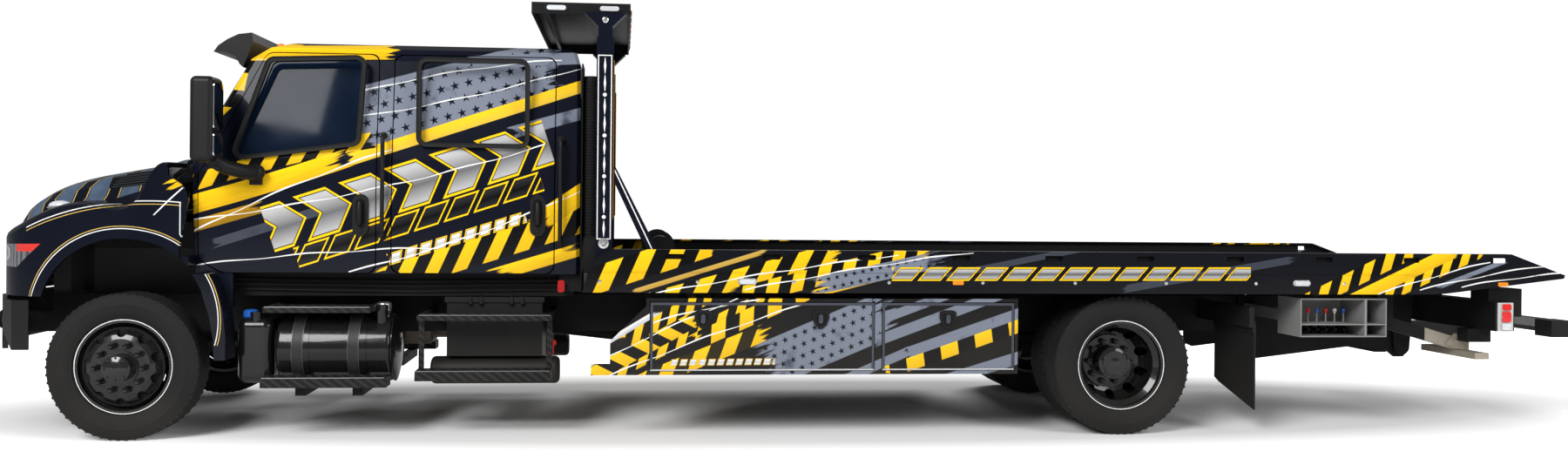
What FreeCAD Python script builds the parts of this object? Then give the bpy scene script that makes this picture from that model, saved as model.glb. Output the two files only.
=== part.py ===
# A crew-cab car carrier: a flat loading deck slides and tilts on a two-axle truck chassis.
# Lengths are millimetres. While a piece is modelled, x is its station behind the front axle,
# y points to the truck's right and z is the height over the road. The front faces -x.
import FreeCAD
import Part
import math
import os

# Fits and cuts
OVERRUN = 20.0                # how far a cutting tool runs past what it cuts
SEAT_GAP = 0.3                # between two pieces that rest on each other
PIN_CLEARANCE = 0.5           # between a pin and its bore
RUNNING_GAP = 6.0             # between a moving piece and its neighbours
CORNER_SHARE = 0.45           # the most of a side that a rounded corner may take

# Axles and wheels
WHEELBASE = 6452.0
TYRE_RADIUS = 464.5
TYRE_WIDTH = 255.0
RIM_RADIUS = 285.75
RIM_WIDTH = 190.0
RIM_FLANGE_HEIGHT = 12.75
RIM_FLANGE_WIDTH = 10.0
RIM_THICKNESS = 8.0
RIM_WELL_DEPTH = 32.0
WHEEL_OFFSET = 145.0          # from a wheel's middle plane to its mounting face
DISC_THICKNESS = 11.0
HUB_HOLE_RADIUS = 110.0
HAND_HOLE_COUNT = 10
HAND_HOLE_RADIUS = 31.0
HAND_HOLE_CIRCLE = 222.0
WHEEL_NUT_CIRCLE = 142.9
WHEEL_NUT_RADIUS = 19.0
WHEEL_NUT_HEIGHT = 42.0
FRONT_WHEEL_Y = 1022.0
DUAL_MIDDLE_Y = 947.0
HUB_CAP_RADIUS = 82.0
FRONT_HUB_REACH = 72.0
REAR_HUB_REACH = 118.0
REAR_HUB_RADIUS = 104.0
DRUM_RADIUS = 200.0
DRUM_WIDTH = 150.0
SPINDLE_RADIUS = 42.0
TYRE_WALL = 14.0
# Tyre section: share of the way from the rim's lip to the tread, share of half the width
TYRE_OUTER_SHARES = [(0.20, 0.93), (0.45, 1.0), (0.75, 0.97), (0.90, 0.86), (0.975, 0.80), (1.0, 0.74)]
TYRE_INNER_SHARES = [(0.0, 0.80), (0.30, 0.90), (0.60, 0.93), (0.86, 0.80), (1.0, 0.70)]
# Rim section: share of half the width, share of the well's depth
RIM_SECTION_SHARES = [(1.0, 0.0), (0.62, 0.0), (0.40, 1.0), (-0.36, 1.0), (-0.62, 0.0), (-1.0, 0.0)]
# Wheel disc: share of the way out from the hub hole to the well, share of the offset
DISC_SECTION_SHARES = [(0.0, 1.0), (0.50, 1.0), (0.70, 0.93), (0.90, 0.66), (1.0, 0.42)]

# Front axle and knuckles
KINGPIN_INSET = 120.0         # from the wheel's middle plane to the kingpin
KINGPIN_RADIUS = 24.0
AXLE_EYE_RADIUS = 48.0
AXLE_EYE_HEIGHT = 116.0
KNUCKLE_ARM_HEIGHT = 34.0
KNUCKLE_ARM_RADIUS = 46.0
AXLE_BEAM_WIDTH = 100.0
AXLE_BEAM_HEIGHT = 96.0
AXLE_WEB = 22.0
AXLE_DROP = 40.0
AXLE_GOOSENECK = 150.0

# Chassis frame
FRAME_HALF_WIDTH = 432.0
FRAME_TOP = 880.0
FRAME_HEIGHT = 260.0
FRAME_FLANGE = 80.0
FRAME_WEB = 10.0
FRAME_FRONT_REACH = 720.0     # ahead of the front axle
FRAME_REAR_REACH = 1450.0     # behind the rear axle
CROSS_TUBE_WIDTH = 90.0
CROSS_TUBE_HEIGHT = 130.0
CROSS_TUBE_SHARES = [0.30, 0.48, 0.66, 0.84]

# Tail plates of the chassis, which carry the deck's tilting pivot
TAIL_PLATE = 25.0
TAIL_PLATE_START = 1180.0     # behind the rear axle
TAIL_PLATE_LENGTH = 1330.0
TAIL_PLATE_DEPTH = 470.0
TAIL_OUTLINE_SHARES = [(0, 1), (0, 0.06), (0.05, 0.0), (0.70, 0.22), (0.88, 0.13), (0.92, 0.04),
                       (0.97, 0.04), (1, 0.12), (1, 0.30), (0.86, 0.55), (0.80, 1)]
PIVOT_BACK = 2445.0           # the tilting pivot, behind the rear axle
PIVOT_Z = 505.0
PIVOT_PIN_RADIUS = 30.0

# Front springs, rear springs and axle housing
SPRING_HALF_LENGTH = 640.0
SPRING_WIDTH = 80.0
SPRING_LEAF = 60.0
SPRING_EYE_RADIUS = 28.0
FRONT_SPRING_TOP = 560.0
FRONT_SPRING_SAG = 25.0
REAR_SPRING_TOP = 588.0
REAR_SPRING_SAG = -4.0        # the loaded rear spring bows slightly up
REAR_TUBE_RADIUS = 66.0
DIFF_RADIUS = 176.0
DIFF_NOSE_LENGTH = 330.0
DIFF_NOSE_RADIUS = 92.0
REAR_TUBE_HALF = 640.0

# Engine, gearbox and shafts
ENGINE_HALF_WIDTH = 300.0
ENGINE_FRONT = -500.0
ENGINE_LENGTH = 780.0
ENGINE_BOTTOM = 660.0
ENGINE_HEIGHT = 700.0
ENGINE_MOUNT = 90.0
RADIATOR_FRONT = -720.0
RADIATOR_THICKNESS = 110.0
RADIATOR_HALF_WIDTH = 410.0
RADIATOR_HEIGHT = 440.0
GEARBOX_LENGTH = 720.0
GEARBOX_RADIUS = 170.0
GEARBOX_Z = 800.0
SHAFT_RADIUS = 45.0
SHAFT_JOINT_RADIUS = 66.0
CENTRE_BEARING_SHARE = 0.48

# Front bumper
BUMPER_FRONT = -955.0
BUMPER_HALF_WIDTH = 1190.0
BUMPER_DEPTH = 415.0
BUMPER_BOTTOM = 579.0
BUMPER_HEIGHT = 308.0
BUMPER_THICKNESS = 25.0
BUMPER_PLAN_SHARES = [(0, 0), (0, 0.52), (0.53, 0.92), (0.76, 1), (1, 1)]
BUMPER_CHAMFER = 95.0
BUMPER_CHAMFER_HEIGHT = 120.0

# Hood: one tilting shell with the front wings
HOOD_FRONT = -905.0
HOOD_LENGTH = 1305.0
HOOD_HALF_WIDTH = 1165.0
HOOD_BOTTOM = 905.0
HOOD_HEIGHT = 907.0
HOOD_SKIN = 25.0
HOOD_SECTION_SHARES = [
    # along, half width, dome half width, top, wing crease
    (0.000, 0.480, 0.400, 0.420, 0.320),
    (0.027, 0.620, 0.480, 0.530, 0.400),
    (0.080, 0.775, 0.550, 0.640, 0.455),
    (0.157, 0.880, 0.600, 0.725, 0.500),
    (0.276, 0.955, 0.630, 0.805, 0.580),
    (0.529, 1.000, 0.660, 0.895, 0.660),
    (0.751, 1.000, 0.690, 0.955, 0.701),
    (1.000, 0.965, 0.720, 1.000, 0.741),
]
DOME_SHARES = [(0.0, 1.0), (0.30, 0.99), (0.55, 0.96), (0.75, 0.89), (0.90, 0.74), (0.98, 0.50),
               (1.02, 0.16)]
WING_SHARES = [(0.10, 0.02), (0.55, 0.0), (0.80, -0.04), (0.93, -0.12), (1.0, -0.26)]
HOOD_REAR_SHARES = [(0, 0), (0.965, 0), (0.945, 0.33), (0.975, 0.56), (0.99, 0.68), (0.955, 0.78),
                    (0.895, 0.84), (0.87, 1.15), (0, 1.15)]
ARCH_RADIUS = 520.0
ARCH_CENTRE_Z = 752.0
HOOD_HINGE_FORWARD = 850.0    # ahead of the front axle
HOOD_HINGE_Z = 915.0
HINGE_WIDTH = 40.0
HINGE_EYE_RADIUS = 22.0
HINGE_PIN_RADIUS = 11.0

# Grille and headlamps
GRILLE_HALF_WIDTH = 470.0
GRILLE_BOTTOM = 960.0
GRILLE_HEIGHT = 225.0
GRILLE_DEPTH = 40.0
GRILLE_RIM = 26.0
GRILLE_BAR_COUNT = 5
GRILLE_BAR = 14.0
LAMP_OUTLINE_SHARES = [(0, 0), (0.62, 0.0), (1, 1), (0, 0.93)]
LAMP_FRONT = -960.0
LAMP_LENGTH = 460.0
LAMP_BOTTOM = 1085.0
LAMP_HEIGHT = 150.0
LAMP_INNER_Y = 640.0
LAMP_DEPTH = 70.0

# Cab
CAB_FRONT = 330.0             # front of the cab's floor
CAB_REAR = 2831.0
CAB_BOTTOM = 1050.0
CAB_HALF_WIDTH = 1012.0
CAB_WALL = 60.0
CAB_FLOOR = 55.0
CAB_ROOF = 45.0
CAB_FLAT = 420.0
CAB_BOW_SHARE = 0.09          # sweep of the front towards its corners
CAB_CORNER = 45.0
CAB_LEVEL_SHARES = [
    # height, half width, front set back (of the cab's height), rear set in
    (0.000, 0.988, 0.000, 0.000),
    (0.340, 1.000, -0.012, 0.000),
    (0.491, 0.989, -0.010, 0.000),
    (0.922, 0.905, 0.214, 0.004),
    (0.975, 0.868, 0.290, 0.020),
    (1.000, 0.780, 0.370, 0.060),
]
CAB_MOUNT_SHARES = [0.10, 0.92]
CAB_MOUNT = 90.0
CAB_CUT_SHARE = 0.30
DOOR_GAP = 7.0
SILL_HEIGHT = 5.0
DOOR_CORNER = 60.0
FRONT_DOOR_FRONT = 411.0
FRONT_DOOR_LENGTH = 1105.0
REAR_DOOR_FRONT = 1621.0
REAR_DOOR_LENGTH = 1041.0
DOOR_HEIGHT = 1425.0
HEADER_HEIGHT = 77.0          # cab side above the doors
FRONT_DOOR_SHARES = [(0.0, 0.06), (0.13, 0.0), (1, 0), (1, 1), (0.36, 1), (0.05, 0.50), (0, 0.45)]
REAR_DOOR_SHARES = [(0, 0), (1, 0), (1, 1), (0, 1)]
FRONT_WINDOW_SHARES = [(0.19, 0.515), (0.895, 0.59), (0.93, 0.975), (0.395, 0.96)]
REAR_WINDOW_SHARES = [(0.165, 0.59), (0.825, 0.587), (0.825, 0.972), (0.165, 0.972)]
WINDOW_CORNER = 45.0
GLASS_THICKNESS = 6.0
GLASS_INSET = 14.0
DOOR_HINGE_HEIGHT = 90.0
DOOR_HINGE_WIDTH = 38.0
DOOR_HINGE_SHARES = [0.14, 0.42]
SCREEN_BOTTOM = 1850.0
SCREEN_HEIGHT = 560.0
SCREEN_HALF_WIDTH = 850.0
SCREEN_TAPER = 105.0
BACK_WINDOW_BOTTOM = 1880.0
BACK_WINDOW_HEIGHT = 430.0
BACK_WINDOW_HALF_WIDTH = 560.0

# Cab fittings
DASH_FRONT = 350.0
DASH_DEPTH = 400.0
DASH_BOTTOM = 1440.0
DASH_HEIGHT = 330.0
DASH_HALF_WIDTH = 812.0
DASH_SHARES = [(0, 0.15), (0.45, 0), (0.72, 0.35), (1, 0.60), (0.88, 0.95), (0.25, 1), (0, 0.9)]
STEERING_WHEEL_RADIUS = 225.0
STEERING_RIM_RADIUS = 15.0
SPOKE_SHARE = 0.7
STEERING_HUB_RADIUS = 60.0
STEERING_TILT = 55.0          # degrees from level
DRIVER_Y = 500.0
COLUMN_RADIUS = 32.0
COLUMN_LENGTH = 230.0
SEAT_WIDTH = 520.0
SEAT_DEPTH = 500.0
SEAT_CUSHION = 130.0
SEAT_BASE_HEIGHT = 330.0
SEAT_BACK_HEIGHT = 640.0
SEAT_BACK_THICKNESS = 120.0
SEAT_HEADREST = 180.0
SEAT_ROUND = 35.0
SEAT_RECLINE = 12.0
FRONT_SEAT_STATION = 980.0
REAR_SEAT_STATION = 2010.0
REAR_BENCH_WIDTH = 1640.0
VISOR_FRONT = 442.0
VISOR_LENGTH = 252.0
VISOR_BOTTOM = 2390.0
VISOR_HEIGHT = 228.0
VISOR_HALF_WIDTH = 835.0
VISOR_SHARES = [(0, 0.43), (0.12, 0.62), (0.35, 0.80), (0.62, 0.95), (0.96, 1), (1, 0.74), (0.74, 0.0),
                (0.66, 0.08), (0.55, 0.30), (0.30, 0.42)]
MIRROR_FRONT = 455.0
MIRROR_DEPTH = 145.0
MIRROR_INNER_Y = 1135.0
MIRROR_WIDTH = 215.0
MIRROR_BOTTOM = 1752.0
MIRROR_HEIGHT = 530.0
MIRROR_ROUND = 36.0
MIRROR_ARM_RADIUS = 20.0
MIRROR_FOOT_STATION = 770.0
MIRROR_FOOT_Z = 1655.0
MIRROR_FOOT_SIZE = 76.0
MIRROR_FOOT_THICKNESS = 22.0

# Lower rear part of the front wings, fixed to the cab's floor
EXTENSION_INNER_Y = 940.0
EXTENSION_OUTER_Y = 1150.0
EXTENSION_FRONT = 350.0
EXTENSION_LENGTH = 275.0
EXTENSION_BOTTOM = 506.0
EXTENSION_HEIGHT = 655.0
EXTENSION_SHARES = [(0, 1), (0.22, 0.86), (0.44, 0.69), (0.64, 0.42), (0.73, 0.20), (0.75, 0),
                    (1, 0), (1, 0.25), (0.93, 0.50), (0.78, 0.72), (0.55, 0.88), (0.34, 1)]

# Tanks, steps and boxes between the axles
TANK_FRONT = 905.0
TANK_LENGTH = 728.0
TANK_RADIUS = 222.0
TANK_Y = 850.0
TANK_Z = 560.0
TANK_END_ROUND = 34.0
STRAP_WIDTH = 74.0
STRAP_THICKNESS = 5.0
STRAP_SHARES = [0.19, 0.68]
EXHAUST_TIE_SHARES = [0.10, 0.55]
HANGER_WIDTH = 66.0
HANGER_HEIGHT = 60.0
HANGER_PLATE = 28.0
FILLER_RADIUS = 38.0
FILLER_HEIGHT = 62.0
DEF_FRONT = 648.0
DEF_LENGTH = 226.0
DEF_BOTTOM = 336.0
DEF_HEIGHT = 424.0
DEF_DEPTH = 300.0
DEF_ROUND = 60.0
STEP_THICKNESS = 36.0
FRONT_STEP_FRONT = 838.0
FRONT_STEP_LENGTH = 672.0
FRONT_STEP_TOP = 839.0
FRONT_STEP_DEPTH = 240.0
LOWER_STEP_FRONT = 845.0
LOWER_STEP_LENGTH = 778.0
LOWER_STEP_TOP = 396.0
LOWER_STEP_HEIGHT = 63.0
LOWER_STEP_DEPTH = 160.0
STEP_OUTER_Y = 1175.0
UPPER_STEP_OUTER_Y = 1100.0
REAR_STEP_FRONT = 1800.0
REAR_STEP_LENGTH = 860.0
REAR_STEP_TOP = 788.0
REAR_LOWER_STEP_TOP = 436.0
REAR_STEP_DEPTH = 165.0
STEP_PANEL_THICKNESS = 6.0
BATTERY_FRONT = 1960.0
BATTERY_LENGTH = 625.0
BATTERY_TOP = 890.0
BATTERY_LID = 34.0
BATTERY_HEIGHT = 392.0
BATTERY_DEPTH = 440.0
BATTERY_LID_LIP = 14.0
AIR_TANK_RADIUS = 92.0
AIR_TANK_FRONT = 1850.0
AIR_TANK_LENGTH = 850.0
AIR_TANK_Z = 398.0
AIR_TANK_Y = 790.0
EXHAUST_FRONT = 690.0
EXHAUST_LENGTH = 980.0
EXHAUST_DEPTH = 330.0
EXHAUST_HEIGHT = 360.0
EXHAUST_PIPE_RADIUS = 62.0

# Toolboxes under the deck
TOOLBOX_FRONT = 3268.0
TOOLBOX_LENGTH = 2444.0
TOOLBOX_SPLIT = 1510.0
TOOLBOX_BOTTOM = 420.0
TOOLBOX_HEIGHT = 492.0
TOOLBOX_OUTER_Y = 1270.0
TOOLBOX_DEPTH = 560.0
TOOLBOX_WALL = 6.0
TOOLBOX_RIM = 22.0
TOOLBOX_DOOR_THICKNESS = 24.0
TOOLBOX_DOOR_GAP = 5.0
TOOLBOX_ARM = 60.0
FAIRING_LENGTH = 350.0
FAIRING_THICKNESS = 20.0
FAIRING_SHARES = [(0, 0.0), (1, 0), (1, 0.90), (0.345, 0.44), (0.345, 0.145), (0, 0.145)]

# Loading deck
DECK_FRONT = 2859.0
DECK_LENGTH = 6700.0
DECK_HALF_WIDTH = 1295.0
RAIL_BOTTOM = 950.0
RAIL_HEIGHT = 276.0
RAIL_WIDTH = 68.0
RAIL_PLATE = 10.0
RAIL_OUTLINE_SHARES = [(0, 0), (0.008, 0.72), (0.026, 1), (0.941, 1), (1, 0.48), (0.998, 0.40),
                       (0.870, 0.02), (0.855, 0)]
SLOT_LENGTH = 118.0
SLOT_HEIGHT = 34.0
SLOT_Z = 1165.0
SLOT_FIRST = 530.0
SLOT_SPACING = 624.0
SLOT_COUNT = 10
GROOVE_Z = 1074.0
GROOVE_HEIGHT = 9.0
GROOVE_DEPTH = 4.0
FLOOR_TOP = 1070.0
FLOOR_PLATE = 8.0
DECK_BEAM_Y = 395.0
DECK_BEAM_WIDTH = 70.0
DECK_BEAM_BOTTOM = 966.0
DECK_CROSS_BOTTOM = 1000.0
DECK_CROSS_WIDTH = 60.0
DECK_CROSS_COUNT = 11
DECK_TAIL_SHARE = 0.87
DECK_LIP = 12.0

# Headboard with its light wing
POST_BACK = 78.0              # from the deck's front edge to the post
POST_LENGTH = 108.0
POST_OUTER_Y = 1222.0
POST_WIDTH = 78.0
POST_TOP = 2590.0
BOARD_THICKNESS = 6.0
BOARD_BOTTOM = 1300.0
BOARD_TOP = 2420.0
CROSS_BAR = 60.0
CROSS_BAR_SHARES = [0.02, 0.34, 0.65, 0.97]
BRACE_WIDTH = 50.0
BRACE_TOP_Z = 1790.0
BRACE_REACH = 345.0
WING_LENGTH = 640.0
WING_FRONT = 2512.0
WING_BOTTOM = 2748.0
WING_HEIGHT = 74.0
WING_HALF_WIDTH = 1105.0
WING_WALL = 8.0
WING_BRACKET_LENGTH = 270.0
WING_BRACKET_HEIGHT = 44.0
WING_NECK_LENGTH = 90.0

# Winch behind the headboard
WINCH_BACK = 330.0
WINCH_HALF_WIDTH = 260.0
WINCH_DRUM_RADIUS = 72.0
WINCH_FLANGE_RADIUS = 112.0
WINCH_FLANGE = 14.0
WINCH_LENGTH = 300.0
WINCH_BASE = 20.0
WINCH_MOTOR_RADIUS = 78.0
WINCH_MOTOR_LENGTH = 210.0

# Tilting frame between the chassis and the deck
TILT_FRONT = 3950.0
TILT_BEAM_WIDTH = 90.0
TILT_BEAM_HEIGHT = 70.0
TILT_BEAM_BOTTOM = 890.0
TILT_LEDGE = 12.0
TILT_REAR_REACH = 2790.0      # behind the rear axle
TILT_CROSS_SHARES = [0.004, 0.20, 0.40, 0.62]
PIVOT_HANGER_LENGTH = 190.0
PIVOT_HANGER_PLATE = 22.0
TAIL_BEAM_LENGTH = 140.0
TAIL_BEAM_BOTTOM = 692.0
TAIL_BEAM_HEIGHT = 200.0
TAIL_BEAM_HALF_WIDTH = 1218.0
TAIL_BLOCK_LENGTH = 105.0
TAIL_BLOCK_WIDTH = 190.0
TAIL_BLOCK_Y = 960.0
TAIL_BLOCK_TOP = 982.0
BUMPER_BLOCK_LENGTH = 175.0
BUMPER_BLOCK_HEIGHT = 94.0
BUMPER_BLOCK_Y = 920.0
BUMPER_BLOCK_WIDTH = 110.0
LAMP_PLATE_LENGTH = 110.0
LAMP_PLATE_HEIGHT = 196.0
LAMP_PLATE_THICKNESS = 10.0
LAMP_RADIUS = 34.0
LAMP_PROUD = 9.0
REAR_LAMP_COUNT = 3

# Tilt cylinders
CYLINDER_Y = 250.0
CYLINDER_BASE_BACK = 400.0    # behind the rear axle
CYLINDER_BASE_Z = 560.0
CYLINDER_EYE_BACK = 1400.0
CYLINDER_EYE_Z = 925.0
CYLINDER_RADIUS = 52.0
CYLINDER_BORE_RADIUS = 42.0
CYLINDER_ROD_RADIUS = 30.0
CYLINDER_EYE_RADIUS = 34.0
CYLINDER_EYE_BORE = 31.0
CYLINDER_EYE_RING = 44.0
CYLINDER_EYE_WIDTH = 64.0
CYLINDER_PIN_RADIUS = 16.0
CYLINDER_HEAD = 60.0
CYLINDER_DEAD_LENGTH = 90.0
CYLINDER_LUG = 20.0
BARREL_END = 640.0

# Rear stabiliser
STABILIZER_BACK = 2030.0      # its pivot, behind the rear axle
STABILIZER_Z = 735.0
STABILIZER_Y = 870.0
STABILIZER_ARM_WIDTH = 60.0
STABILIZER_ARM_HEIGHT = 90.0
STABILIZER_REACH = 655.0
STABILIZER_DROP = 190.0
STABILIZER_FOOT_LENGTH = 105.0
STABILIZER_FOOT_HEIGHT = 44.0
STABILIZER_FOOT_OUTER_Y = 1110.0
STABILIZER_FOOT_WIDTH = 600.0
STABILIZER_PLATE = 12.0
STABILIZER_PLATE_LENGTH = 186.0
STABILIZER_PLATE_HEIGHT = 118.0
STABILIZER_PLATE_SHARES = [(0, 0.35), (0.35, 1), (0.85, 0.95), (1, 0.55), (0.72, 0.0), (0.35, 0.08)]
STABILIZER_PIN_RADIUS = 18.0
STABILIZER_EAR = 24.0

# Wheel lift
LIFT_PIVOT_BACK = 2590.0
LIFT_PIVOT_Z = 600.0
LIFT_PIN_RADIUS = 22.0
BOOM_WIDTH = 140.0
BOOM_HEIGHT = 110.0
BOOM_LENGTH = 560.0
BOOM_WALL = 10.0
BOOM_HEEL = 60.0
LIFT_EAR = 22.0
EXTENSION_SHOWN = 130.0
EXTENSION_HIDDEN = 500.0
EXTENSION_HEAD = 110.0
CROSSBAR_LENGTH = 150.0
CROSSBAR_HALF_WIDTH = 900.0
CROSSBAR_HEIGHT = 90.0
CROSSBAR_RECEIVER = 170.0
CROSSBAR_PIN_RADIUS = 26.0
CROSSBAR_SHARES = [(0, 0.36), (0.30, 1), (0.80, 1), (1, 0.60), (0.86, 0), (0.12, 0)]

# Mudflaps and control boxes
FLAP_BACK = 915.0             # behind the rear axle
FLAP_THICKNESS = 10.0
FLAP_INNER_Y = 640.0
FLAP_WIDTH = 580.0
FLAP_TOP = 718.0
FLAP_HEIGHT = 555.0
FLAP_SHARES = [(0, 1), (1, 1), (1, 0), (0.12, 0.22), (0, 0.27)]
FLAP_BAR_HEIGHT = 138.0
FLAP_BAR_LENGTH = 36.0
CONTROL_BACK = 1225.0
CONTROL_LENGTH = 615.0
CONTROL_SPLIT = 465.0
CONTROL_BOTTOM = 657.0
CONTROL_HEIGHT = 261.0
CONTROL_SHELF = 89.0
CONTROL_OUTER_Y = 1250.0
CONTROL_DEPTH = 300.0
CONTROL_WALL = 8.0
CONTROL_ARM_LENGTH = 90.0
CONTROL_ARM_HEIGHT = 80.0
LEVER_COUNT = 6
LEVER_RADIUS = 5.0
LEVER_HEIGHT = 90.0
LEVER_KNOB_RADIUS = 13.0

# Everything is modelled from the front axle and set down centred over the road.
REAR_AXLE = WHEELBASE
PIVOT_STATION = REAR_AXLE + PIVOT_BACK
LIFT_PIVOT = REAR_AXLE + LIFT_PIVOT_BACK
REAR_REACH = LIFT_PIVOT + BOOM_LENGTH + EXTENSION_SHOWN + EXTENSION_HEAD + CROSSBAR_LENGTH / 2
FRONT_AXLE_X = -(REAR_REACH + BUMPER_FRONT) / 2
KINGPIN_Y = FRONT_WHEEL_Y - KINGPIN_INSET
FRAME_FRONT = -FRAME_FRONT_REACH
FRAME_REAR = REAR_AXLE + FRAME_REAR_REACH
FRAME_BOTTOM = FRAME_TOP - FRAME_HEIGHT
FRAME_INNER = FRAME_HALF_WIDTH - FRAME_FLANGE
HORN_FRONT = FRAME_FRONT - CROSS_TUBE_WIDTH
TAIL_START = REAR_AXLE + TAIL_PLATE_START
TAIL_OUTER_Y = FRAME_HALF_WIDTH + TAIL_PLATE
CYLINDER_BASE = REAR_AXLE + CYLINDER_BASE_BACK
CYLINDER_EYE = REAR_AXLE + CYLINDER_EYE_BACK
HOOD_HINGE = -HOOD_HINGE_FORWARD
CAB_HEIGHT = SILL_HEIGHT + DOOR_HEIGHT + HEADER_HEIGHT
POST_FRONT = DECK_FRONT + POST_BACK
WINCH_STATION = POST_FRONT + POST_LENGTH + WINCH_BACK
TILT_REAR = REAR_AXLE + TILT_REAR_REACH
STABILIZER_STATION = REAR_AXLE + STABILIZER_BACK
LEFT = -1
RIGHT = 1


def vec(x, y, z):
    """A point or direction."""
    return FreeCAD.Vector(x, y, z)


ALONG_X = vec(1, 0, 0)
ALONG_Y = vec(0, 1, 0)
ALONG_Z = vec(0, 0, 1)


def block(x0, x1, y0, y1, z0, z1):
    """A box between two stations, two widths and two heights."""
    low = vec(min(x0, x1), min(y0, y1), min(z0, z1))
    return Part.makeBox(abs(x1 - x0), abs(y1 - y0), abs(z1 - z0), low)


def rod(start, end, radius):
    """A round bar from one point to another."""
    return Part.makeCylinder(radius, (end - start).Length, start, end - start)


def across(x, z, radius, y0, y1):
    """A round bar that runs across the truck."""
    return rod(vec(x, min(y0, y1), z), vec(x, max(y0, y1), z), radius)


def joined(shapes):
    """One solid from pieces that meet."""
    shape = shapes[0]
    if len(shapes) > 1:
        shape = shape.multiFuse(shapes[1:])
    return shape.removeSplitter()


def mirrored(shape):
    """The same piece on the truck's other side."""
    return shape.mirror(vec(0, 0, 0), ALONG_Y)


def on_side(shape, side):
    """A right-hand piece, or its left-hand twin."""
    return shape if side == RIGHT else mirrored(shape)


def pair(shape):
    """The right-hand and left-hand pieces together."""
    return [shape, mirrored(shape)]


def in_box(shares, x0, z0, length, height):
    """Outline points from shares of a length and a height."""
    return [(x0 + a * length, z0 + b * height) for a, b in shares]


def rounded_wire(points, radius):
    """A closed wire through the points, with its corners rounded where a radius is given."""
    if radius == 0:
        return Part.makePolygon(points + points[:1])
    edges = []
    tangents = []
    for before, corner, after in zip(points[-1:] + points[:-1], points, points[1:] + points[:1]):
        back = (before - corner)
        ahead = (after - corner)
        shortest = CORNER_SHARE * min(back.Length, ahead.Length)
        back.normalize()
        ahead.normalize()
        half = back.getAngle(ahead) / 2
        reach = min(radius / math.tan(half), shortest)
        turn = reach * math.tan(half)
        middle = back + ahead
        middle.normalize()
        centre = corner + middle * (turn / math.sin(half))
        tangents.append((corner + back * reach, centre - middle * turn, corner + ahead * reach))
    for here, following in zip(tangents, tangents[1:] + tangents[:1]):
        edges.append(Part.Arc(*here).toShape())
        edges.append(Part.LineSegment(here[2], following[0]).toShape())
    return Part.Wire(edges)


def slab_y(points, y0, y1, radius=0):
    """An outline of (x, z) points, carried across from y0 to y1."""
    wire = rounded_wire([vec(x, min(y0, y1), z) for x, z in points], radius)
    return Part.Face(wire).extrude(ALONG_Y * abs(y1 - y0))


def slab_x(points, x0, x1, radius=0):
    """An outline of (y, z) points, carried along from x0 to x1."""
    wire = rounded_wire([vec(x0, y, z) for y, z in points], radius)
    return Part.Face(wire).extrude(ALONG_X * (x1 - x0))


def slab_z(points, z0, z1, radius=0):
    """An outline of (x, y) points, carried up from z0 to z1."""
    wire = rounded_wire([vec(x, y, z0) for x, y in points], radius)
    return Part.Face(wire).extrude(ALONG_Z * (z1 - z0))


def turned(points, x, z):
    """A ring from (radius, y) points, turned about a wheel's axis at x and z."""
    wire = Part.makePolygon([vec(x, y, z + r) for r, y in points + points[:1]])
    return Part.Face(wire).revolve(vec(x, 0, z), ALONG_Y, 360)


def rounded_block(x0, x1, y0, y1, z0, z1, radius):
    """A box with its upright edges and its top edges rounded."""
    shape = block(x0, x1, y0, y1, z0, z1)
    return shape.makeFillet(radius, shape.Edges)


def skinned(levels):
    """The solid between level outlines whose matching sides are parallel."""
    faces = [Part.Face(Part.makePolygon(points + points[:1])) for points in (levels[0], levels[-1])]
    for low, high in zip(levels, levels[1:]):
        for i in range(len(low)):
            faces.append(Part.Face(Part.makePolygon([low[i - 1], low[i], high[i], high[i - 1], low[i - 1]])))
    solid = Part.makeSolid(Part.makeShell(faces))
    if solid.Volume < 0:
        solid.reverse()
    return solid


# Wheels and tyres

def tyre(x, y):
    """One tyre, hollow like the real one and seated on the rim between its flanges."""
    half = RIM_WIDTH / 2 - RIM_FLANGE_WIDTH - SEAT_GAP
    bead = RIM_RADIUS + SEAT_GAP
    lip = RIM_RADIUS + RIM_FLANGE_HEIGHT + RIM_FLANGE_WIDTH
    side = TYRE_WIDTH / 2
    inside = TYRE_RADIUS - 2 * TYRE_WALL
    outer = [(bead, half), (lip, half)]
    outer += [(lip + a * (TYRE_RADIUS - lip), b * side) for a, b in TYRE_OUTER_SHARES]
    inner = [(bead, half - TYRE_WALL)]
    inner += [(lip + a * (inside - lip), b * (side - TYRE_WALL)) for a, b in TYRE_INNER_SHARES]
    points = [(r, y + w) for r, w in outer]
    points += [(r, y - w) for r, w in reversed(outer)]
    points += [(r, y - w) for r, w in inner]
    points += [(r, y + w) for r, w in reversed(inner)]
    return turned(points, x, TYRE_RADIUS)


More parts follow.
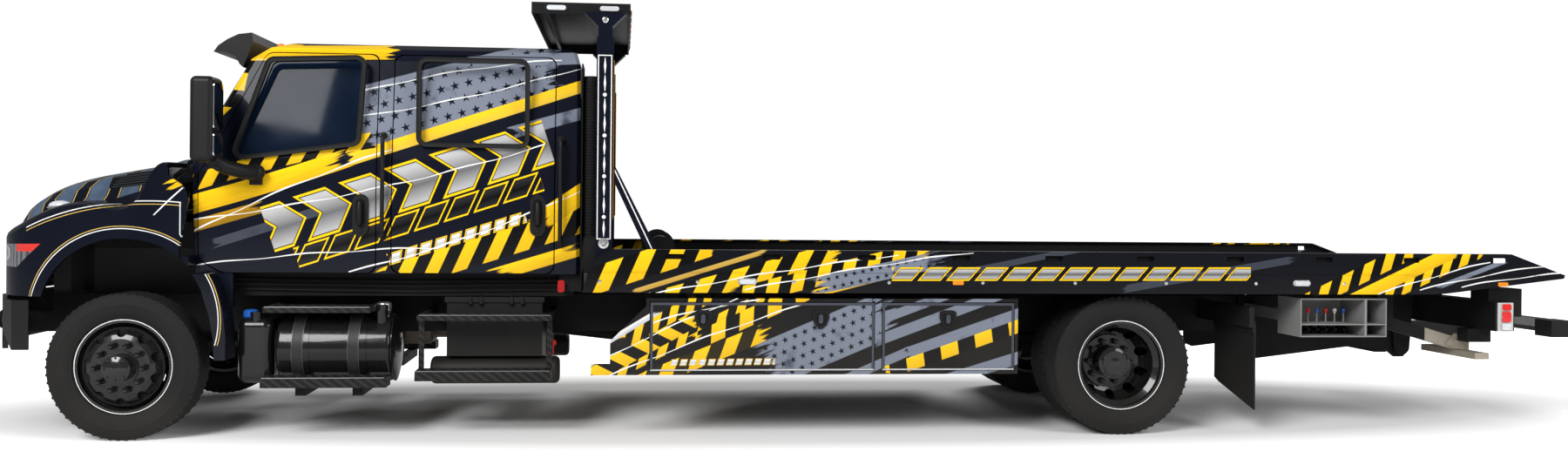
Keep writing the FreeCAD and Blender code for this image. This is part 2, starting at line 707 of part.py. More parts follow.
def wheel(x, y, face):
    """One steel wheel: a rolled rim with its disc, which bulges towards face."""
    half = RIM_WIDTH / 2
    seat = half - RIM_FLANGE_WIDTH
    lip = RIM_RADIUS + RIM_FLANGE_HEIGHT
    outside = [(lip, face * half), (lip, face * seat)]
    outside += [(RIM_RADIUS - b * RIM_WELL_DEPTH, face * a * seat) for a, b in RIM_SECTION_SHARES]
    outside += [(lip, -face * seat), (lip, -face * half)]
    inside = [(RIM_RADIUS - RIM_THICKNESS - b * RIM_WELL_DEPTH, face * a * half)
              for a, b in reversed(RIM_SECTION_SHARES)]
    rim = turned([(r, y + w) for r, w in outside + inside], x, TYRE_RADIUS)
    well = RIM_RADIUS - RIM_WELL_DEPTH - RIM_THICKNESS / 2
    front = [(HUB_HOLE_RADIUS + a * (well - HUB_HOLE_RADIUS), b * WHEEL_OFFSET)
             for a, b in DISC_SECTION_SHARES]
    front[-1] = (well, RIM_SECTION_SHARES[2][0] * seat - DISC_THICKNESS)
    back = [(r, w - DISC_THICKNESS) for r, w in reversed(front)]
    disc = turned([(r, y + face * w) for r, w in front + back], x, TYRE_RADIUS)
    for i in range(HAND_HOLE_COUNT):
        angle = 2 * math.pi * (i + 1 / 2) / HAND_HOLE_COUNT
        hole_x = x + HAND_HOLE_CIRCLE * math.cos(angle)
        hole_z = TYRE_RADIUS + HAND_HOLE_CIRCLE * math.sin(angle)
        disc = disc.cut(across(hole_x, hole_z, HAND_HOLE_RADIUS, y, y + face * (WHEEL_OFFSET + OVERRUN)))
    return [rim, disc]


def wheel_nuts(x, y, face):
    """The ring of nuts that clamps a wheel to its hub; y is the disc's outer face."""
    nuts = []
    for i in range(HAND_HOLE_COUNT):
        angle = 2 * math.pi * i / HAND_HOLE_COUNT
        nut_x = x + WHEEL_NUT_CIRCLE * math.cos(angle)
        nut_z = TYRE_RADIUS + WHEEL_NUT_CIRCLE * math.sin(angle)
        nuts.append(across(nut_x, nut_z, WHEEL_NUT_RADIUS, y - face * DISC_THICKNESS,
                           y + face * WHEEL_NUT_HEIGHT))
    return nuts


def front_wheel(side):
    """A front wheel with its hub, which turns on the knuckle's spindle."""
    y = FRONT_WHEEL_Y
    face = y + WHEEL_OFFSET
    back = face - DRUM_WIDTH
    pieces = wheel(0, y, 1) + wheel_nuts(0, face, 1)
    drum = across(0, TYRE_RADIUS, HUB_HOLE_RADIUS + DISC_THICKNESS, back, face - DISC_THICKNESS)
    flange = across(0, TYRE_RADIUS, HUB_HOLE_RADIUS, back, face + DISC_THICKNESS)
    cap = across(0, TYRE_RADIUS, HUB_CAP_RADIUS, back, face + FRONT_HUB_REACH)
    bore = across(0, TYRE_RADIUS, SPINDLE_RADIUS + PIN_CLEARANCE, back - OVERRUN, face)
    return on_side(joined(pieces + [drum, flange, cap]).cut(bore), side)


def rear_wheels(side):
    """The twin rear wheels on one side, bolted face to face to their hub and drum."""
    x = REAR_AXLE
    middle = DUAL_MIDDLE_Y
    back = middle - DRUM_WIDTH
    pieces = wheel(x, middle + WHEEL_OFFSET, -1) + wheel(x, middle - WHEEL_OFFSET, 1)
    pieces += wheel_nuts(x, middle + DISC_THICKNESS, 1)
    hub = across(x, TYRE_RADIUS, REAR_HUB_RADIUS, back, middle + REAR_HUB_REACH)
    cap = across(x, TYRE_RADIUS, HUB_CAP_RADIUS, middle, middle + REAR_HUB_REACH + WHEEL_NUT_RADIUS)
    drum = across(x, TYRE_RADIUS, DRUM_RADIUS, back, middle - DISC_THICKNESS / 2)
    inside = across(x, TYRE_RADIUS, DRUM_RADIUS - DISC_THICKNESS, back - OVERRUN,
                    middle - DISC_THICKNESS * 2)
    bore = across(x, TYRE_RADIUS, SPINDLE_RADIUS + PIN_CLEARANCE, back - OVERRUN, middle + DISC_THICKNESS)
    shape = joined(pieces + [drum.cut(inside), hub, cap])
    return on_side(shape.cut(bore), side)


def rear_tyres(side):
    """The two tyres of one rear side."""
    shape = Part.makeCompound([tyre(REAR_AXLE, DUAL_MIDDLE_Y + WHEEL_OFFSET),
                               tyre(REAR_AXLE, DUAL_MIDDLE_Y - WHEEL_OFFSET)])
    return on_side(shape, side)


# Front axle

def front_axle():
    """The forged beam with an eye for the kingpin at each end and seats for the springs."""
    z = TYRE_RADIUS - AXLE_DROP
    half = AXLE_BEAM_HEIGHT / 2
    low = z - half
    high = z + half
    inner = KINGPIN_Y - AXLE_GOOSENECK
    outline = [(-KINGPIN_Y, TYRE_RADIUS - half), (-inner, low), (inner, low),
               (KINGPIN_Y, TYRE_RADIUS - half),
               (KINGPIN_Y, TYRE_RADIUS + half), (inner, high), (-inner, high),
               (-KINGPIN_Y, TYRE_RADIUS + half)]
    beam = slab_x(outline, -AXLE_BEAM_WIDTH / 2, AXLE_BEAM_WIDTH / 2)
    pieces = []
    for side in (LEFT, RIGHT):
        x0 = side * AXLE_WEB / 2
        x1 = side * (AXLE_BEAM_WIDTH / 2 + OVERRUN)
        beam = beam.cut(block(x0, x1, -inner, inner, low + AXLE_WEB, high - AXLE_WEB))
        eye_low = vec(0, side * KINGPIN_Y, TYRE_RADIUS - AXLE_EYE_HEIGHT / 2)
        pieces.append(rod(eye_low, eye_low + ALONG_Z * AXLE_EYE_HEIGHT, AXLE_EYE_RADIUS))
        pieces.append(block(-AXLE_BEAM_WIDTH / 2, AXLE_BEAM_WIDTH / 2,
                            side * (FRAME_HALF_WIDTH - SPRING_WIDTH),
                            side * FRAME_HALF_WIDTH, high - AXLE_WEB,
                            FRONT_SPRING_TOP - FRONT_SPRING_SAG - SPRING_LEAF))
    shape = joined([beam] + pieces)
    for side in (LEFT, RIGHT):
        low_end = vec(0, side * KINGPIN_Y, 0)
        shape = shape.cut(rod(low_end, low_end + ALONG_Z * FRAME_TOP, KINGPIN_RADIUS + PIN_CLEARANCE))
    return shape


def knuckle(side):
    """A steering knuckle: a fork over the axle's eye, its kingpin and the wheel's spindle."""
    low = TYRE_RADIUS - AXLE_EYE_HEIGHT / 2 - RUNNING_GAP / 2 - KNUCKLE_ARM_HEIGHT
    high = TYRE_RADIUS + AXLE_EYE_HEIGHT / 2 + RUNNING_GAP / 2
    top = high + KNUCKLE_ARM_HEIGHT
    radius = KNUCKLE_ARM_RADIUS
    base = vec(0, KINGPIN_Y, 0)
    stem_y = KINGPIN_Y + AXLE_EYE_RADIUS + RUNNING_GAP * 2
    stem_end = stem_y + KNUCKLE_ARM_HEIGHT
    pieces = [rod(base + ALONG_Z * low, base + ALONG_Z * top, KINGPIN_RADIUS)]
    for z0 in (low, high):
        z1 = z0 + KNUCKLE_ARM_HEIGHT
        pieces.append(rod(base + ALONG_Z * z0, base + ALONG_Z * z1, radius))
        pieces.append(block(-radius, radius, KINGPIN_Y, stem_end, z0, z1))
    pieces.append(block(-radius, radius, stem_y, stem_end, low, top))
    spindle_end = FRONT_WHEEL_Y + WHEEL_OFFSET - RUNNING_GAP
    pieces.append(across(0, TYRE_RADIUS, SPINDLE_RADIUS, stem_y, spindle_end))
    return on_side(joined(pieces), side)


# Chassis frame

def frame_rail():
    """One channel-section side rail."""
    rail = block(FRAME_FRONT, FRAME_REAR, FRAME_INNER, FRAME_HALF_WIDTH, FRAME_BOTTOM, FRAME_TOP)
    return rail.cut(block(FRAME_FRONT - OVERRUN, FRAME_REAR + OVERRUN, FRAME_INNER - OVERRUN,
                          FRAME_HALF_WIDTH - FRAME_WEB, FRAME_BOTTOM + FRAME_WEB, FRAME_TOP - FRAME_WEB))


def tail_plate():
    """The deep plate that carries the tilting pivot, lapped on the rail's outside."""
    points = in_box(TAIL_OUTLINE_SHARES, TAIL_START, FRAME_TOP - TAIL_PLATE_DEPTH, TAIL_PLATE_LENGTH,
                    TAIL_PLATE_DEPTH)
    plate = slab_y(points, FRAME_HALF_WIDTH, TAIL_OUTER_Y)
    ring = across(PIVOT_STATION, PIVOT_Z, PIVOT_PIN_RADIUS * 2, FRAME_HALF_WIDTH, TAIL_OUTER_Y)
    bore = across(PIVOT_STATION, PIVOT_Z, PIVOT_PIN_RADIUS + PIN_CLEARANCE, FRAME_HALF_WIDTH - OVERRUN,
                  TAIL_OUTER_Y + OVERRUN)
    return plate.fuse(ring).cut(bore)


def cylinder_lugs():
    """Two pairs of lugs behind a cross tube that hold the pins of the tilt cylinders."""
    lugs = []
    x = CYLINDER_BASE
    z = CYLINDER_BASE_Z
    radius = CYLINDER_EYE_RADIUS
    root = x - CROSS_TUBE_WIDTH
    top = FRAME_BOTTOM + CROSS_TUBE_WIDTH
    points = [(x - radius, z), (x + radius, z), (root + CROSS_TUBE_WIDTH / 2, top), (root, top)]
    inside = CYLINDER_EYE_WIDTH / 2 + SEAT_GAP
    for side in (LEFT, RIGHT):
        for hand in (LEFT, RIGHT):
            y0 = side * CYLINDER_Y + hand * inside
            y1 = y0 + hand * CYLINDER_LUG
            lugs += [slab_y(points, y0, y1), across(x, z, radius, y0, y1)]
    return lugs


def tank_hanger(x):
    """A bent arm from the right-hand rail down and out, for a tank and the lower front step."""
    top = TANK_Z - TANK_RADIUS - STRAP_THICKNESS
    plate = block(x, x + HANGER_WIDTH, FRAME_HALF_WIDTH, FRAME_HALF_WIDTH + HANGER_PLATE,
                  top - HANGER_HEIGHT,
                  FRAME_BOTTOM + FRAME_HEIGHT / 2)
    arm = block(x, x + HANGER_WIDTH, FRAME_HALF_WIDTH, STEP_OUTER_Y - LOWER_STEP_DEPTH / 2,
                top - HANGER_HEIGHT, top)
    return plate.fuse(arm)


def hood_hinge_arm():
    """The arm on the right-hand rail that reaches forward to the hood's hinge."""
    z = HOOD_HINGE_Z
    y0 = FRAME_INNER
    y1 = y0 + HINGE_WIDTH
    root = FRAME_FRONT + CROSS_TUBE_WIDTH
    middle = FRAME_BOTTOM + CROSS_TUBE_HEIGHT
    points = [(HOOD_HINGE, z + HINGE_EYE_RADIUS), (HOOD_HINGE, z - HINGE_EYE_RADIUS), (FRAME_FRONT, middle),
              (root, middle), (root, FRAME_TOP), (FRAME_FRONT, FRAME_TOP)]
    bore = across(HOOD_HINGE, z, HINGE_PIN_RADIUS + PIN_CLEARANCE, y0 - OVERRUN, y1 + OVERRUN)
    eye = across(HOOD_HINGE, z, HINGE_EYE_RADIUS, y0, y1)
    return slab_y(points, y0, y1).fuse(eye).cut(bore)


def frame():
    """Both rails, their cross tubes, the tail plates, the hangers and the lugs of the tilt cylinders."""
    pieces = pair(frame_rail()) + pair(tail_plate()) + pair(hood_hinge_arm()) + cylinder_lugs()
    inner = FRAME_HALF_WIDTH - FRAME_WEB
    half = CROSS_TUBE_WIDTH / 2
    for share in CROSS_TUBE_SHARES:
        x = REAR_AXLE * share
        pieces.append(block(x - half, x + half, -inner, inner, FRAME_TOP - CROSS_TUBE_HEIGHT, FRAME_TOP))
    for x in (FRAME_FRONT + half, CYLINDER_BASE - CROSS_TUBE_WIDTH, FRAME_REAR - half):
        pieces.append(block(x - half, x + half, -inner, inner, FRAME_BOTTOM,
                            FRAME_BOTTOM + CROSS_TUBE_HEIGHT))
    x = PIVOT_STATION - CROSS_TUBE_WIDTH * 2
    pieces.append(block(x, x + CROSS_TUBE_WIDTH, -FRAME_HALF_WIDTH, FRAME_HALF_WIDTH, PIVOT_Z - half,
                        PIVOT_Z + half))
    for share in STRAP_SHARES:
        pieces += pair(tank_hanger(TANK_FRONT + share * TANK_LENGTH))
    horn = block(HORN_FRONT, FRAME_FRONT, FRAME_INNER, FRAME_HALF_WIDTH, FRAME_BOTTOM,
                 FRAME_BOTTOM + CROSS_TUBE_HEIGHT)
    shape = joined(pieces + pair(horn))
    bore = across(CYLINDER_BASE, CYLINDER_BASE_Z, CYLINDER_PIN_RADIUS + PIN_CLEARANCE, -FRAME_INNER,
                  FRAME_INNER)
    return shape.cut(bore)


def front_bumper():
    """A bowed bumper with cut lower corners, seated on the frame's horns."""
    plan = [(BUMPER_FRONT + a * BUMPER_DEPTH, b * BUMPER_HALF_WIDTH) for a, b in BUMPER_PLAN_SHARES]
    outer = plan[1:] + [(x, -y) for x, y in reversed(plan[1:])]
    inside = [(x + BUMPER_THICKNESS, y - BUMPER_THICKNESS / 2) for x, y in plan[1:-1]]
    inside.append((plan[-1][0] + OVERRUN, plan[-2][1] - BUMPER_THICKNESS / 2))
    inner = inside + [(x, -y) for x, y in reversed(inside)]
    top = BUMPER_BOTTOM + BUMPER_HEIGHT
    shape = slab_z(outer, BUMPER_BOTTOM, top).cut(slab_z(inner, BUMPER_BOTTOM - OVERRUN, top + OVERRUN))
    cut_x = plan[2][0]
    cut_low = BUMPER_BOTTOM - OVERRUN
    cut_high = BUMPER_BOTTOM + BUMPER_CHAMFER_HEIGHT
    wedge = [(BUMPER_FRONT - OVERRUN, cut_low), (cut_x + BUMPER_CHAMFER, cut_low),
             (cut_x + BUMPER_CHAMFER, BUMPER_BOTTOM), (cut_x, cut_high), (BUMPER_FRONT - OVERRUN, cut_high)]
    for side in (LEFT, RIGHT):
        shape = shape.cut(slab_y(wedge, side * plan[2][1], side * (BUMPER_HALF_WIDTH + OVERRUN)))
    web = block(BUMPER_FRONT + BUMPER_THICKNESS / 2, HORN_FRONT, FRAME_INNER, FRAME_HALF_WIDTH,
                FRAME_BOTTOM, FRAME_BOTTOM + CROSS_TUBE_HEIGHT)
    return joined([shape] + pair(web))


# Springs, rear axle, engine and shafts

def leaf_pack(x, top, sag):
    """A right-hand leaf spring, bowed down in the middle, with its eyes hung from the rail."""
    y = FRAME_HALF_WIDTH - SPRING_WIDTH
    start = x - SPRING_HALF_LENGTH
    end = x + SPRING_HALF_LENGTH
    tip = top - SPRING_LEAF / 3
    low = top - sag
    edges = [Part.Arc(vec(start, y, top), vec(x, y, low), vec(end, y, top)),
             Part.LineSegment(vec(end, y, top), vec(end, y, tip)),
             Part.Arc(vec(end, y, tip), vec(x, y, low - SPRING_LEAF), vec(start, y, tip)),
             Part.LineSegment(vec(start, y, tip), vec(start, y, top))]
    pieces = [Part.Face(Part.Wire([edge.toShape() for edge in edges])).extrude(ALONG_Y * SPRING_WIDTH)]
    for station in (start, end):
        pieces.append(across(station, top, SPRING_EYE_RADIUS, y, FRAME_HALF_WIDTH))
        pieces.append(block(station - SPRING_EYE_RADIUS, station + SPRING_EYE_RADIUS, y, FRAME_HALF_WIDTH,
                            top, FRAME_BOTTOM))
    return joined(pieces)


def leaf_springs():
    """The four spring packs."""
    return Part.makeCompound(
        pair(leaf_pack(0, FRONT_SPRING_TOP, FRONT_SPRING_SAG))
        + pair(leaf_pack(REAR_AXLE, REAR_SPRING_TOP, REAR_SPRING_SAG)))


def rear_axle():
    """The housing with its round middle, tubes, spindles and spring seats."""
    x = REAR_AXLE
    z = TYRE_RADIUS
    pieces = [across(x, z, REAR_TUBE_RADIUS, -REAR_TUBE_HALF, REAR_TUBE_HALF),
              Part.makeSphere(DIFF_RADIUS, vec(x, 0, z)),
              rod(vec(x - DIFF_NOSE_LENGTH, 0, z), vec(x, 0, z), DIFF_NOSE_RADIUS),
              across(x, z, SPINDLE_RADIUS, -DUAL_MIDDLE_Y, DUAL_MIDDLE_Y)]
    seat = block(x - REAR_TUBE_RADIUS / 2, x + REAR_TUBE_RADIUS / 2, FRAME_HALF_WIDTH - SPRING_WIDTH,
                 FRAME_HALF_WIDTH, z, REAR_SPRING_TOP - REAR_SPRING_SAG - SPRING_LEAF)
    return joined(pieces + pair(seat))


def engine():
    """The engine as one block on its mounts, and the radiator ahead of it."""
    top = ENGINE_BOTTOM + ENGINE_HEIGHT
    half = ENGINE_HALF_WIDTH
    shoulder = top - ENGINE_MOUNT * 2
    outline = [(-half, ENGINE_BOTTOM), (half, ENGINE_BOTTOM), (half, shoulder), (half - ENGINE_MOUNT, top),
               (-half + ENGINE_MOUNT, top), (-half, shoulder)]
    body = slab_x(outline, ENGINE_FRONT, ENGINE_FRONT + ENGINE_LENGTH)
    mount = block(-ENGINE_MOUNT / 2, ENGINE_MOUNT / 2, half, FRAME_HALF_WIDTH - FRAME_WEB,
                  FRAME_BOTTOM + ENGINE_MOUNT, FRAME_BOTTOM + ENGINE_MOUNT * 2)
    radiator = block(RADIATOR_FRONT, RADIATOR_FRONT + RADIATOR_THICKNESS, -RADIATOR_HALF_WIDTH,
                     RADIATOR_HALF_WIDTH, FRAME_TOP, FRAME_TOP + RADIATOR_HEIGHT)
    return Part.makeCompound([joined([body] + pair(mount)), radiator])


def driveline():
    """The gearbox behind the engine and the shafts that run back to the rear axle."""
    start = ENGINE_FRONT + ENGINE_LENGTH
    end = start + GEARBOX_LENGTH
    middle = vec(REAR_AXLE * CENTRE_BEARING_SHARE, 0, FRAME_BOTTOM - SHAFT_JOINT_RADIUS)
    nose = vec(REAR_AXLE - DIFF_NOSE_LENGTH, 0, TYRE_RADIUS)
    gearbox = Part.makeCone(GEARBOX_RADIUS, SHAFT_JOINT_RADIUS, GEARBOX_LENGTH, vec(start, 0, GEARBOX_Z),
                            ALONG_X)
    first = rod(vec(end - SHAFT_RADIUS, 0, GEARBOX_Z), middle, SHAFT_RADIUS)
    second = rod(middle, nose, SHAFT_RADIUS)
    second = second.cut(block(nose.x - SEAT_GAP, REAR_AXLE, -SHAFT_JOINT_RADIUS, SHAFT_JOINT_RADIUS, 0,
                              FRAME_TOP))
    bearing = block(middle.x - SHAFT_RADIUS / 2, middle.x + SHAFT_RADIUS / 2, -SHAFT_JOINT_RADIUS,
                    SHAFT_JOINT_RADIUS, middle.z, FRAME_TOP - CROSS_TUBE_HEIGHT)
    return joined([gearbox, first, Part.makeSphere(SHAFT_JOINT_RADIUS, middle), second, bearing])


# Hood, grille and headlamps

def hood_section(row, inset):
    """The hood's closed outline at one station, set in all round by inset."""
    along, half_share, dome_share, top_share, crease_share = row
    x = HOOD_FRONT + along * HOOD_LENGTH + inset * (1 - along)
    half = half_share * HOOD_HALF_WIDTH - inset
    dome = dome_share * HOOD_HALF_WIDTH - inset
    top = HOOD_BOTTOM + top_share * HOOD_HEIGHT - inset
    crease = HOOD_BOTTOM + crease_share * HOOD_HEIGHT - inset
    rise = top - crease
    side = [(a * dome, crease + b * rise) for a, b in DOME_SHARES]
    side += [(dome + a * (half - dome), crease + b * rise) for a, b in WING_SHARES]
    bottom = HOOD_BOTTOM if inset == 0 else HOOD_BOTTOM - OVERRUN
    side.append((half, bottom))
    outline = side + [(-y, z) for y, z in reversed(side)]
    points = [vec(x, y, z) for y, z in outline if y != 0]
    points.append(vec(x, 0, top))
    return Part.makePolygon(points + points[:1])


def hood_body(inset):
    """The hood's outer form, or the same form set in by inset."""
    sections = [hood_section(row, inset) for row in HOOD_SECTION_SHARES]
    return Part.makeLoft(sections, True, False)


def arch_tool():
    """What the wheel arch takes out of the hood, from one wing through to the other."""
    return across(0, ARCH_CENTRE_Z, ARCH_RADIUS, -HOOD_HALF_WIDTH - OVERRUN, HOOD_HALF_WIDTH + OVERRUN)


def lamp_tool(gap):
    """The outline of the right-hand headlamp as a bar across the wing's corner."""
    points = in_box(LAMP_OUTLINE_SHARES, LAMP_FRONT - gap, LAMP_BOTTOM - gap, LAMP_LENGTH + 2 * gap,
                    LAMP_HEIGHT + 2 * gap)
    return slab_y(points, LAMP_INNER_Y - gap, HOOD_HALF_WIDTH + OVERRUN)


def grille_opening(gap):
    """The grille's opening in the hood's nose."""
    half = GRILLE_HALF_WIDTH + gap
    return block(HOOD_FRONT - OVERRUN, HOOD_FRONT + GRILLE_DEPTH * 2, -half, half, GRILLE_BOTTOM - gap,
                 GRILLE_BOTTOM + GRILLE_HEIGHT + gap)


def hood():
    """The hood shell with its wings, arches, lamp openings and hinge plates."""
    outer = hood_body(0)
    shell = outer.cut(hood_body(HOOD_SKIN))
    rear = in_box(HOOD_REAR_SHARES, HOOD_FRONT, HOOD_BOTTOM, HOOD_LENGTH, HOOD_HEIGHT)
    rear = [(x - OVERRUN if x == HOOD_FRONT else x, z - OVERRUN if z == HOOD_BOTTOM else z) for x, z in rear]
    shell = shell.common(slab_y(rear, -HOOD_HALF_WIDTH - OVERRUN, HOOD_HALF_WIDTH + OVERRUN))
    shell = shell.cut(arch_tool()).cut(grille_opening(SEAT_GAP)).cut(cab_body(-DOOR_GAP))
    for tool in pair(lamp_tool(SEAT_GAP)):
        shell = shell.cut(tool)
    y0 = FRAME_INNER + HINGE_WIDTH + RUNNING_GAP
    y1 = y0 + HINGE_WIDTH / 2
    radius = HINGE_EYE_RADIUS
    z = HOOD_HINGE_Z
    plate = block(HOOD_FRONT, HOOD_HINGE + radius, y0, y1, z, GRILLE_BOTTOM - RUNNING_GAP).common(outer)
    eye = across(HOOD_HINGE, z, radius, y0, y1)
    pin = across(HOOD_HINGE, z, HINGE_PIN_RADIUS, FRAME_INNER - RUNNING_GAP, y1)
    return joined([shell] + pair(plate) + pair(eye) + pair(pin))


def grille():
    """The grille: a frame with level bars, set in the hood's nose."""
    front = HOOD_FRONT
    back = front + GRILLE_DEPTH
    half = GRILLE_HALF_WIDTH
    top = GRILLE_BOTTOM + GRILLE_HEIGHT
    shape = block(front, back, -half, half, GRILLE_BOTTOM, top)
    opening = half - GRILLE_RIM
    shape = shape.cut(block(front - OVERRUN, back + OVERRUN, -opening, opening, GRILLE_BOTTOM + GRILLE_RIM,
                            top - GRILLE_RIM))
    pitch = (GRILLE_HEIGHT - 2 * GRILLE_RIM) / (GRILLE_BAR_COUNT + 1)
    bars = []
    for i in range(GRILLE_BAR_COUNT):
        z = GRILLE_BOTTOM + GRILLE_RIM + (i + 1) * pitch
        bars.append(block(front, back, -half, half, z - GRILLE_BAR / 2, z + GRILLE_BAR / 2))
    bars.append(block(front, back, -GRILLE_BAR, GRILLE_BAR, GRILLE_BOTTOM, top))
    return joined([shape] + bars).common(hood_body(0))


def headlamps():
    """The lamps that wrap round the front corners of the wings."""
    lens = hood_body(0).cut(hood_body(LAMP_DEPTH))
    return Part.makeCompound(pair(lens.common(lamp_tool(0)).cut(hood())))


def fender_extensions():
    """The lower rear parts of the front wings, carried by brackets from the cab's floor."""
    points = in_box(EXTENSION_SHARES, EXTENSION_FRONT, EXTENSION_BOTTOM, EXTENSION_LENGTH, EXTENSION_HEIGHT)
    skin = slab_y(points, EXTENSION_INNER_Y, EXTENSION_OUTER_Y)
    bracket = block(EXTENSION_FRONT + EXTENSION_LENGTH / 2, EXTENSION_FRONT + EXTENSION_LENGTH,
                    EXTENSION_INNER_Y, EXTENSION_INNER_Y + CAB_WALL, EXTENSION_BOTTOM + EXTENSION_HEIGHT / 2,
                    CAB_BOTTOM - SEAT_GAP)
    low = CAB_BOTTOM - SEAT_GAP
    high = CAB_BOTTOM + CAB_HEIGHT
    shape = skin.fuse(bracket)
    shape = shape.cut(cab_body(-SEAT_GAP))
    shape = shape.cut(block(FRONT_DOOR_FRONT - DOOR_GAP * 2, CAB_REAR, 0, EXTENSION_OUTER_Y + OVERRUN, low,
                            high))
    return Part.makeCompound(pair(shape.removeSplitter()))


# Cab

def cab_section(row, inset, drop):
    """The cab's plan outline at one level, set in by inset and lowered by drop."""
    height, half_share, front_share, rear_share = row
    z = CAB_BOTTOM + height * CAB_HEIGHT - drop
    half = half_share * CAB_HALF_WIDTH - inset
    front = CAB_FRONT + front_share * CAB_HEIGHT + inset
    rear = CAB_REAR - rear_share * CAB_HEIGHT - inset
    corner = CAB_CORNER
    cut = corner * CAB_CUT_SHARE
    bowed = front + (half - corner - CAB_FLAT) * CAB_BOW_SHARE
    outline = [(front, CAB_FLAT), (bowed, half - corner), (bowed + cut, half - cut), (bowed + corner, half),
               (rear - corner / 2, half), (rear, half - corner / 2)]
    outline += [(x, -y) for x, y in reversed(outline)]
    return [vec(x, y, z) for x, y in outline]


def cab_body(inset, drop=0):
    """The cab's outer form, or the same form set in by inset and lowered by drop."""
    return skinned([cab_section(row, inset, drop) for row in CAB_LEVEL_SHARES])


def door_outline(front, length, shares, gap):
    """A door's outline in the cab's side, grown by gap all round."""
    return in_box(shares, front - gap, CAB_BOTTOM + SILL_HEIGHT - gap, length + 2 * gap,
                  DOOR_HEIGHT + 2 * gap)


def door_tool(front, length, shares, gap):
    """A door's outline as a bar through the right-hand side of the cab."""
    return slab_y(door_outline(front, length, shares, gap), CAB_HALF_WIDTH / 2, CAB_HALF_WIDTH + OVERRUN,
                  DOOR_CORNER)


def window_tool(front, length, shares, gap):
    """A side window's outline as a bar through the right-hand side of the cab."""
    points = in_box(shares, front, CAB_BOTTOM + SILL_HEIGHT, length, DOOR_HEIGHT)
    grown = slab_y(points, CAB_HALF_WIDTH / 2, CAB_HALF_WIDTH + OVERRUN, WINDOW_CORNER)
    if gap == 0:
        return grown
    wire = rounded_wire([vec(x, CAB_HALF_WIDTH / 2, z) for x, z in points], WINDOW_CORNER).makeOffset2D(gap)
    return Part.Face(wire).extrude(ALONG_Y * (CAB_HALF_WIDTH / 2 + OVERRUN))


DOORS = {
    "front": (FRONT_DOOR_FRONT, FRONT_DOOR_LENGTH, FRONT_DOOR_SHARES, FRONT_WINDOW_SHARES),
    "rear": (REAR_DOOR_FRONT, REAR_DOOR_LENGTH, REAR_DOOR_SHARES, REAR_WINDOW_SHARES),
}


def screen_tool(gap):
    """The windscreen's opening, wider at the bottom."""
    low = SCREEN_BOTTOM - gap
    high = SCREEN_BOTTOM + SCREEN_HEIGHT + gap
    wide = SCREEN_HALF_WIDTH + gap
    narrow = wide - SCREEN_TAPER
    points = [(-wide, low), (wide, low), (narrow, high), (-narrow, high)]
    return slab_x(points, CAB_FRONT - CAB_WALL, FRONT_DOOR_FRONT + FRONT_DOOR_LENGTH / 2, WINDOW_CORNER)


def back_window_tool(gap):
    """The opening of the window in the cab's back wall."""
    half = BACK_WINDOW_HALF_WIDTH + gap
    points = [(-half, BACK_WINDOW_BOTTOM - gap), (half, BACK_WINDOW_BOTTOM - gap),
              (half, BACK_WINDOW_BOTTOM + BACK_WINDOW_HEIGHT + gap),
              (-half, BACK_WINDOW_BOTTOM + BACK_WINDOW_HEIGHT + gap)]
    return slab_x(points, CAB_REAR - CAB_WALL * 2, CAB_REAR + OVERRUN, WINDOW_CORNER)


def cab_shell():
    """The cab's hollow body with its openings, the doors' hinge leaves and the mounts on the frame."""
    inside = cab_body(CAB_WALL, CAB_ROOF)
    room = block(CAB_FRONT, CAB_REAR, -CAB_HALF_WIDTH, CAB_HALF_WIDTH, CAB_BOTTOM + CAB_FLOOR,
                 CAB_BOTTOM + CAB_HEIGHT)
    shell = cab_body(0).cut(inside.common(room))
    for front, length, door_shares, window_shares in DOORS.values():
        for tool in pair(door_tool(front, length, door_shares, DOOR_GAP)):
            shell = shell.cut(tool)
    shell = shell.cut(screen_tool(0)).cut(back_window_tool(0))
    mounts = []
    for share in CAB_MOUNT_SHARES:
        x = CAB_FRONT + share * (CAB_REAR - CAB_FRONT)
        mounts += pair(block(x, x + CAB_MOUNT, FRAME_INNER, FRAME_HALF_WIDTH, FRAME_TOP, CAB_BOTTOM))
    y1 = CAB_HALF_WIDTH * CAB_LEVEL_SHARES[0][1] - DOOR_GAP
    for front, length, door_shares, window_shares in DOORS.values():
        for share in DOOR_HINGE_SHARES:
            z0 = CAB_BOTTOM + share * DOOR_HEIGHT
            mounts += pair(block(front - DOOR_GAP * 2, front - SEAT_GAP, y1 - DOOR_HINGE_WIDTH, y1, z0,
                                 z0 + DOOR_HINGE_HEIGHT))
    return joined([shell] + mounts)


def glass_layer():
    """The thin layer inside the cab's skin that the panes are cut from."""
    return cab_body(GLASS_INSET).cut(cab_body(GLASS_INSET + GLASS_THICKNESS))


def cab_glass(layer):
    """The windscreen and the back window."""
    return Part.makeCompound([layer.common(screen_tool(0)), layer.common(back_window_tool(0))])


def door(which, side, skin):
    """One cab door, as thick as the cab's wall, with its window cut through."""
    front, length, door_shares, window_shares = DOORS[which]
    shape = skin.common(door_tool(front, length, door_shares, 0)).cut(window_tool(front, length,
                                                                                  window_shares, 0))
    return on_side(shape, side)


def door_glass(which, side, layer):
    """The pane of one cab door."""
    front, length, door_shares, window_shares = DOORS[which]
    return on_side(layer.common(window_tool(front, length, window_shares, 0)), side)


